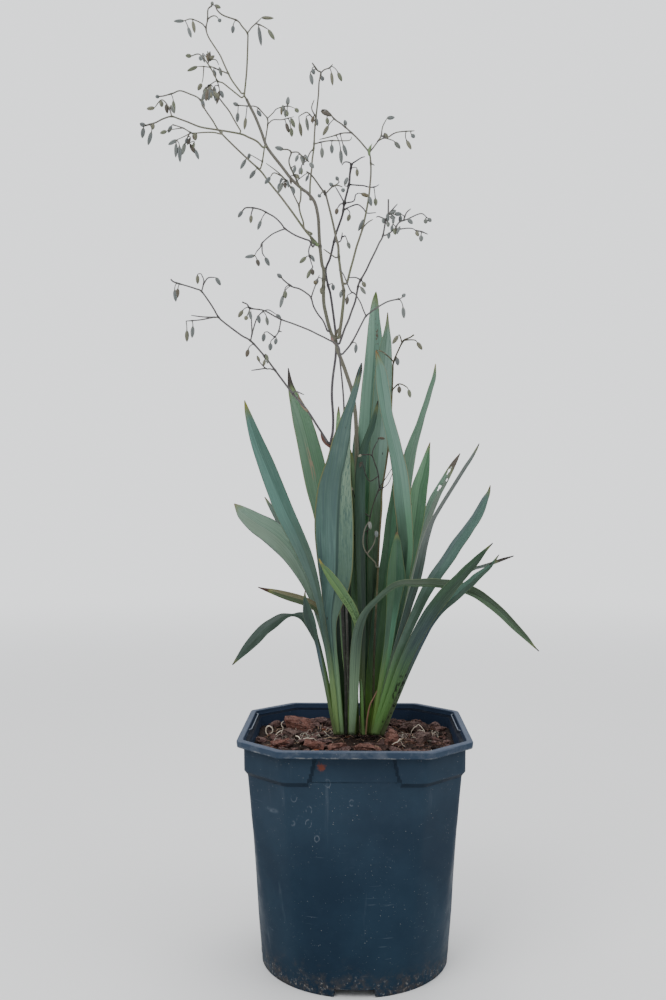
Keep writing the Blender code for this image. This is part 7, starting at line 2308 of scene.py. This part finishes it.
@dataclass(frozen=True)
class Lamp:
    """Soft square light that looks at a point: name, place, aim and size in metres, and power in watts."""

    name: str
    place_m: tuple[float, float, float]
    aim_m: tuple[float, float, float]
    size_m: float
    watts: float

    def build(self) -> None:
        """Add the light to the scene."""
        lamp = bpy.data.lights.new(self.name, "AREA")
        lamp.shape = "SQUARE"
        lamp.size = self.size_m
        lamp.energy = self.watts
        obj = bpy.data.objects.new(self.name, lamp)
        obj.location = self.place_m
        obj.rotation_euler = (Vector(self.aim_m) - Vector(self.place_m)).to_track_quat("-Z", "Y").to_euler()
        obj.visible_camera = False
        bpy.context.scene.collection.objects.link(obj)


@dataclass(frozen=True)
class Studio:
    """Pale floor and backdrop, soft light and the camera at the photograph's viewing point.

    Args:
        focal_mm: focal length.
        sensor_mm: height of the sensor.
        turn: radians that the camera is turned left.
        backdrop: colour of the backdrop.
        backdrop_strength: its strength.
        sky: strength of the soft light from low down and from above.
        floor: two colours of the floor.
        floor_half: half-width of the floor in mm.
        lamps: key, fill and top light.
    """

    focal_mm: float = 36.42
    sensor_mm: float = 36.0
    turn: float = 0.0213
    backdrop: str = "#eceef0"
    backdrop_strength: float = 1.85
    sky: tuple[float, float] = (0.38, 1.25)
    floor: tuple[str, str] = ("#efefee", "#e6e6e5")
    floor_half: float = 60000.0
    lamps: tuple[Lamp, ...] = (
        Lamp("key", (-1.0, -1.4, 2.0), (0.0, 0.0, 0.4), 1.3, 26.0),
        Lamp("fill", (1.6, -0.8, 1.5), (0.0, 0.0, 0.35), 1.3, 10.0),
        Lamp("top", (0.2, 0.7, 2.2), (0.0, 0.0, 0.3), 1.2, 16.0),
    )

    def build(self) -> None:
        """Build camera, light and floor."""
        self.build_camera()
        self.build_sky()
        for lamp in self.lamps:
            lamp.build()
        self.build_floor()

    def build_floor(self) -> None:
        """Large matt floor that runs into the backdrop's colour far from the plant."""
        s = Shading("matt pale studio floor", 0.9, 0.1)
        place_m = s.add(Step.PLACE)
        cloud = s.add(Step.NOISE, place_m, scale_of(454.5), 2.0, 0.55)
        s.start(s.add(Step.TIMES, cloud, 0.25), linear(self.floor[0]), linear(self.floor[1]))
        s.link("Base Color", s.colour)
        glow = s.add(Step.GLOW, linear(self.backdrop), self.backdrop_strength)
        far = s.add(Step.EASE, s.add(Step.LENGTH, place_m), 0.45, 3.2)
        both = s.add(Step.BLEND, far, s.shader.outputs[0], glow)
        s.tree.links.new(both, s.tree.nodes["Material Output"].inputs["Surface"])
        mesh = bpy.data.meshes.new("studio_floor")
        half = self.floor_half * MM
        corners = [(-half, -half, 0), (half, -half, 0), (half, half, 0), (-half, half, 0)]
        mesh.from_pydata(corners, [], [(0, 1, 2, 3)])
        mesh.materials.append(s.material)
        obj = bpy.data.objects.new("studio_floor", mesh)
        bpy.context.scene.collection.objects.link(obj)

    def build_sky(self) -> None:
        """Backdrop that the camera sees, and a soft light that grows evenly towards the top for all else."""
        world = bpy.data.worlds.new("pale studio")
        world.use_nodes = True
        tree = world.node_tree
        seen_back = tree.nodes["Background"]
        seen_back.inputs["Color"].default_value = linear(self.backdrop)
        seen_back.inputs["Strength"].default_value = self.backdrop_strength
        up = add(tree, Step.Z, add(tree, Step.SKY_WAY))
        soft = add(tree, Step.SKY, linear("#f4f6fa"), add(tree, Step.EVEN, up, -0.1, 0.9, *self.sky))
        both = add(tree, Step.BLEND, add(tree, Step.CAMERA_RAY), soft, seen_back.outputs[0])
        tree.links.new(both, tree.nodes["World Output"].inputs["Surface"])
        bpy.context.scene.world = world

    def build_camera(self) -> None:
        """Level camera, turned slightly left."""
        lens = bpy.data.cameras.new("view")
        lens.lens = self.focal_mm
        lens.sensor_fit = "VERTICAL"
        lens.sensor_height = self.sensor_mm
        lens.clip_end = 200.0
        obj = bpy.data.objects.new("view", lens)
        obj.location = (0.0, -VIEW_DISTANCE * MM, VIEW_HEIGHT * MM)
        obj.rotation_euler = (math.radians(90), 0.0, self.turn)
        bpy.context.scene.collection.objects.link(obj)
        bpy.context.scene.camera = obj


def main() -> None:
    """Load the frame, dress every solid, and set floor, light and camera."""
    logging.basicConfig(level=logging.INFO)
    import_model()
    for part in (Studio(), Pot(), Bed(), Foliage(), FlowerHead()):
        part.build()
        log.info("%s is built", type(part).__name__)


if __name__ == "__main__":
    main()
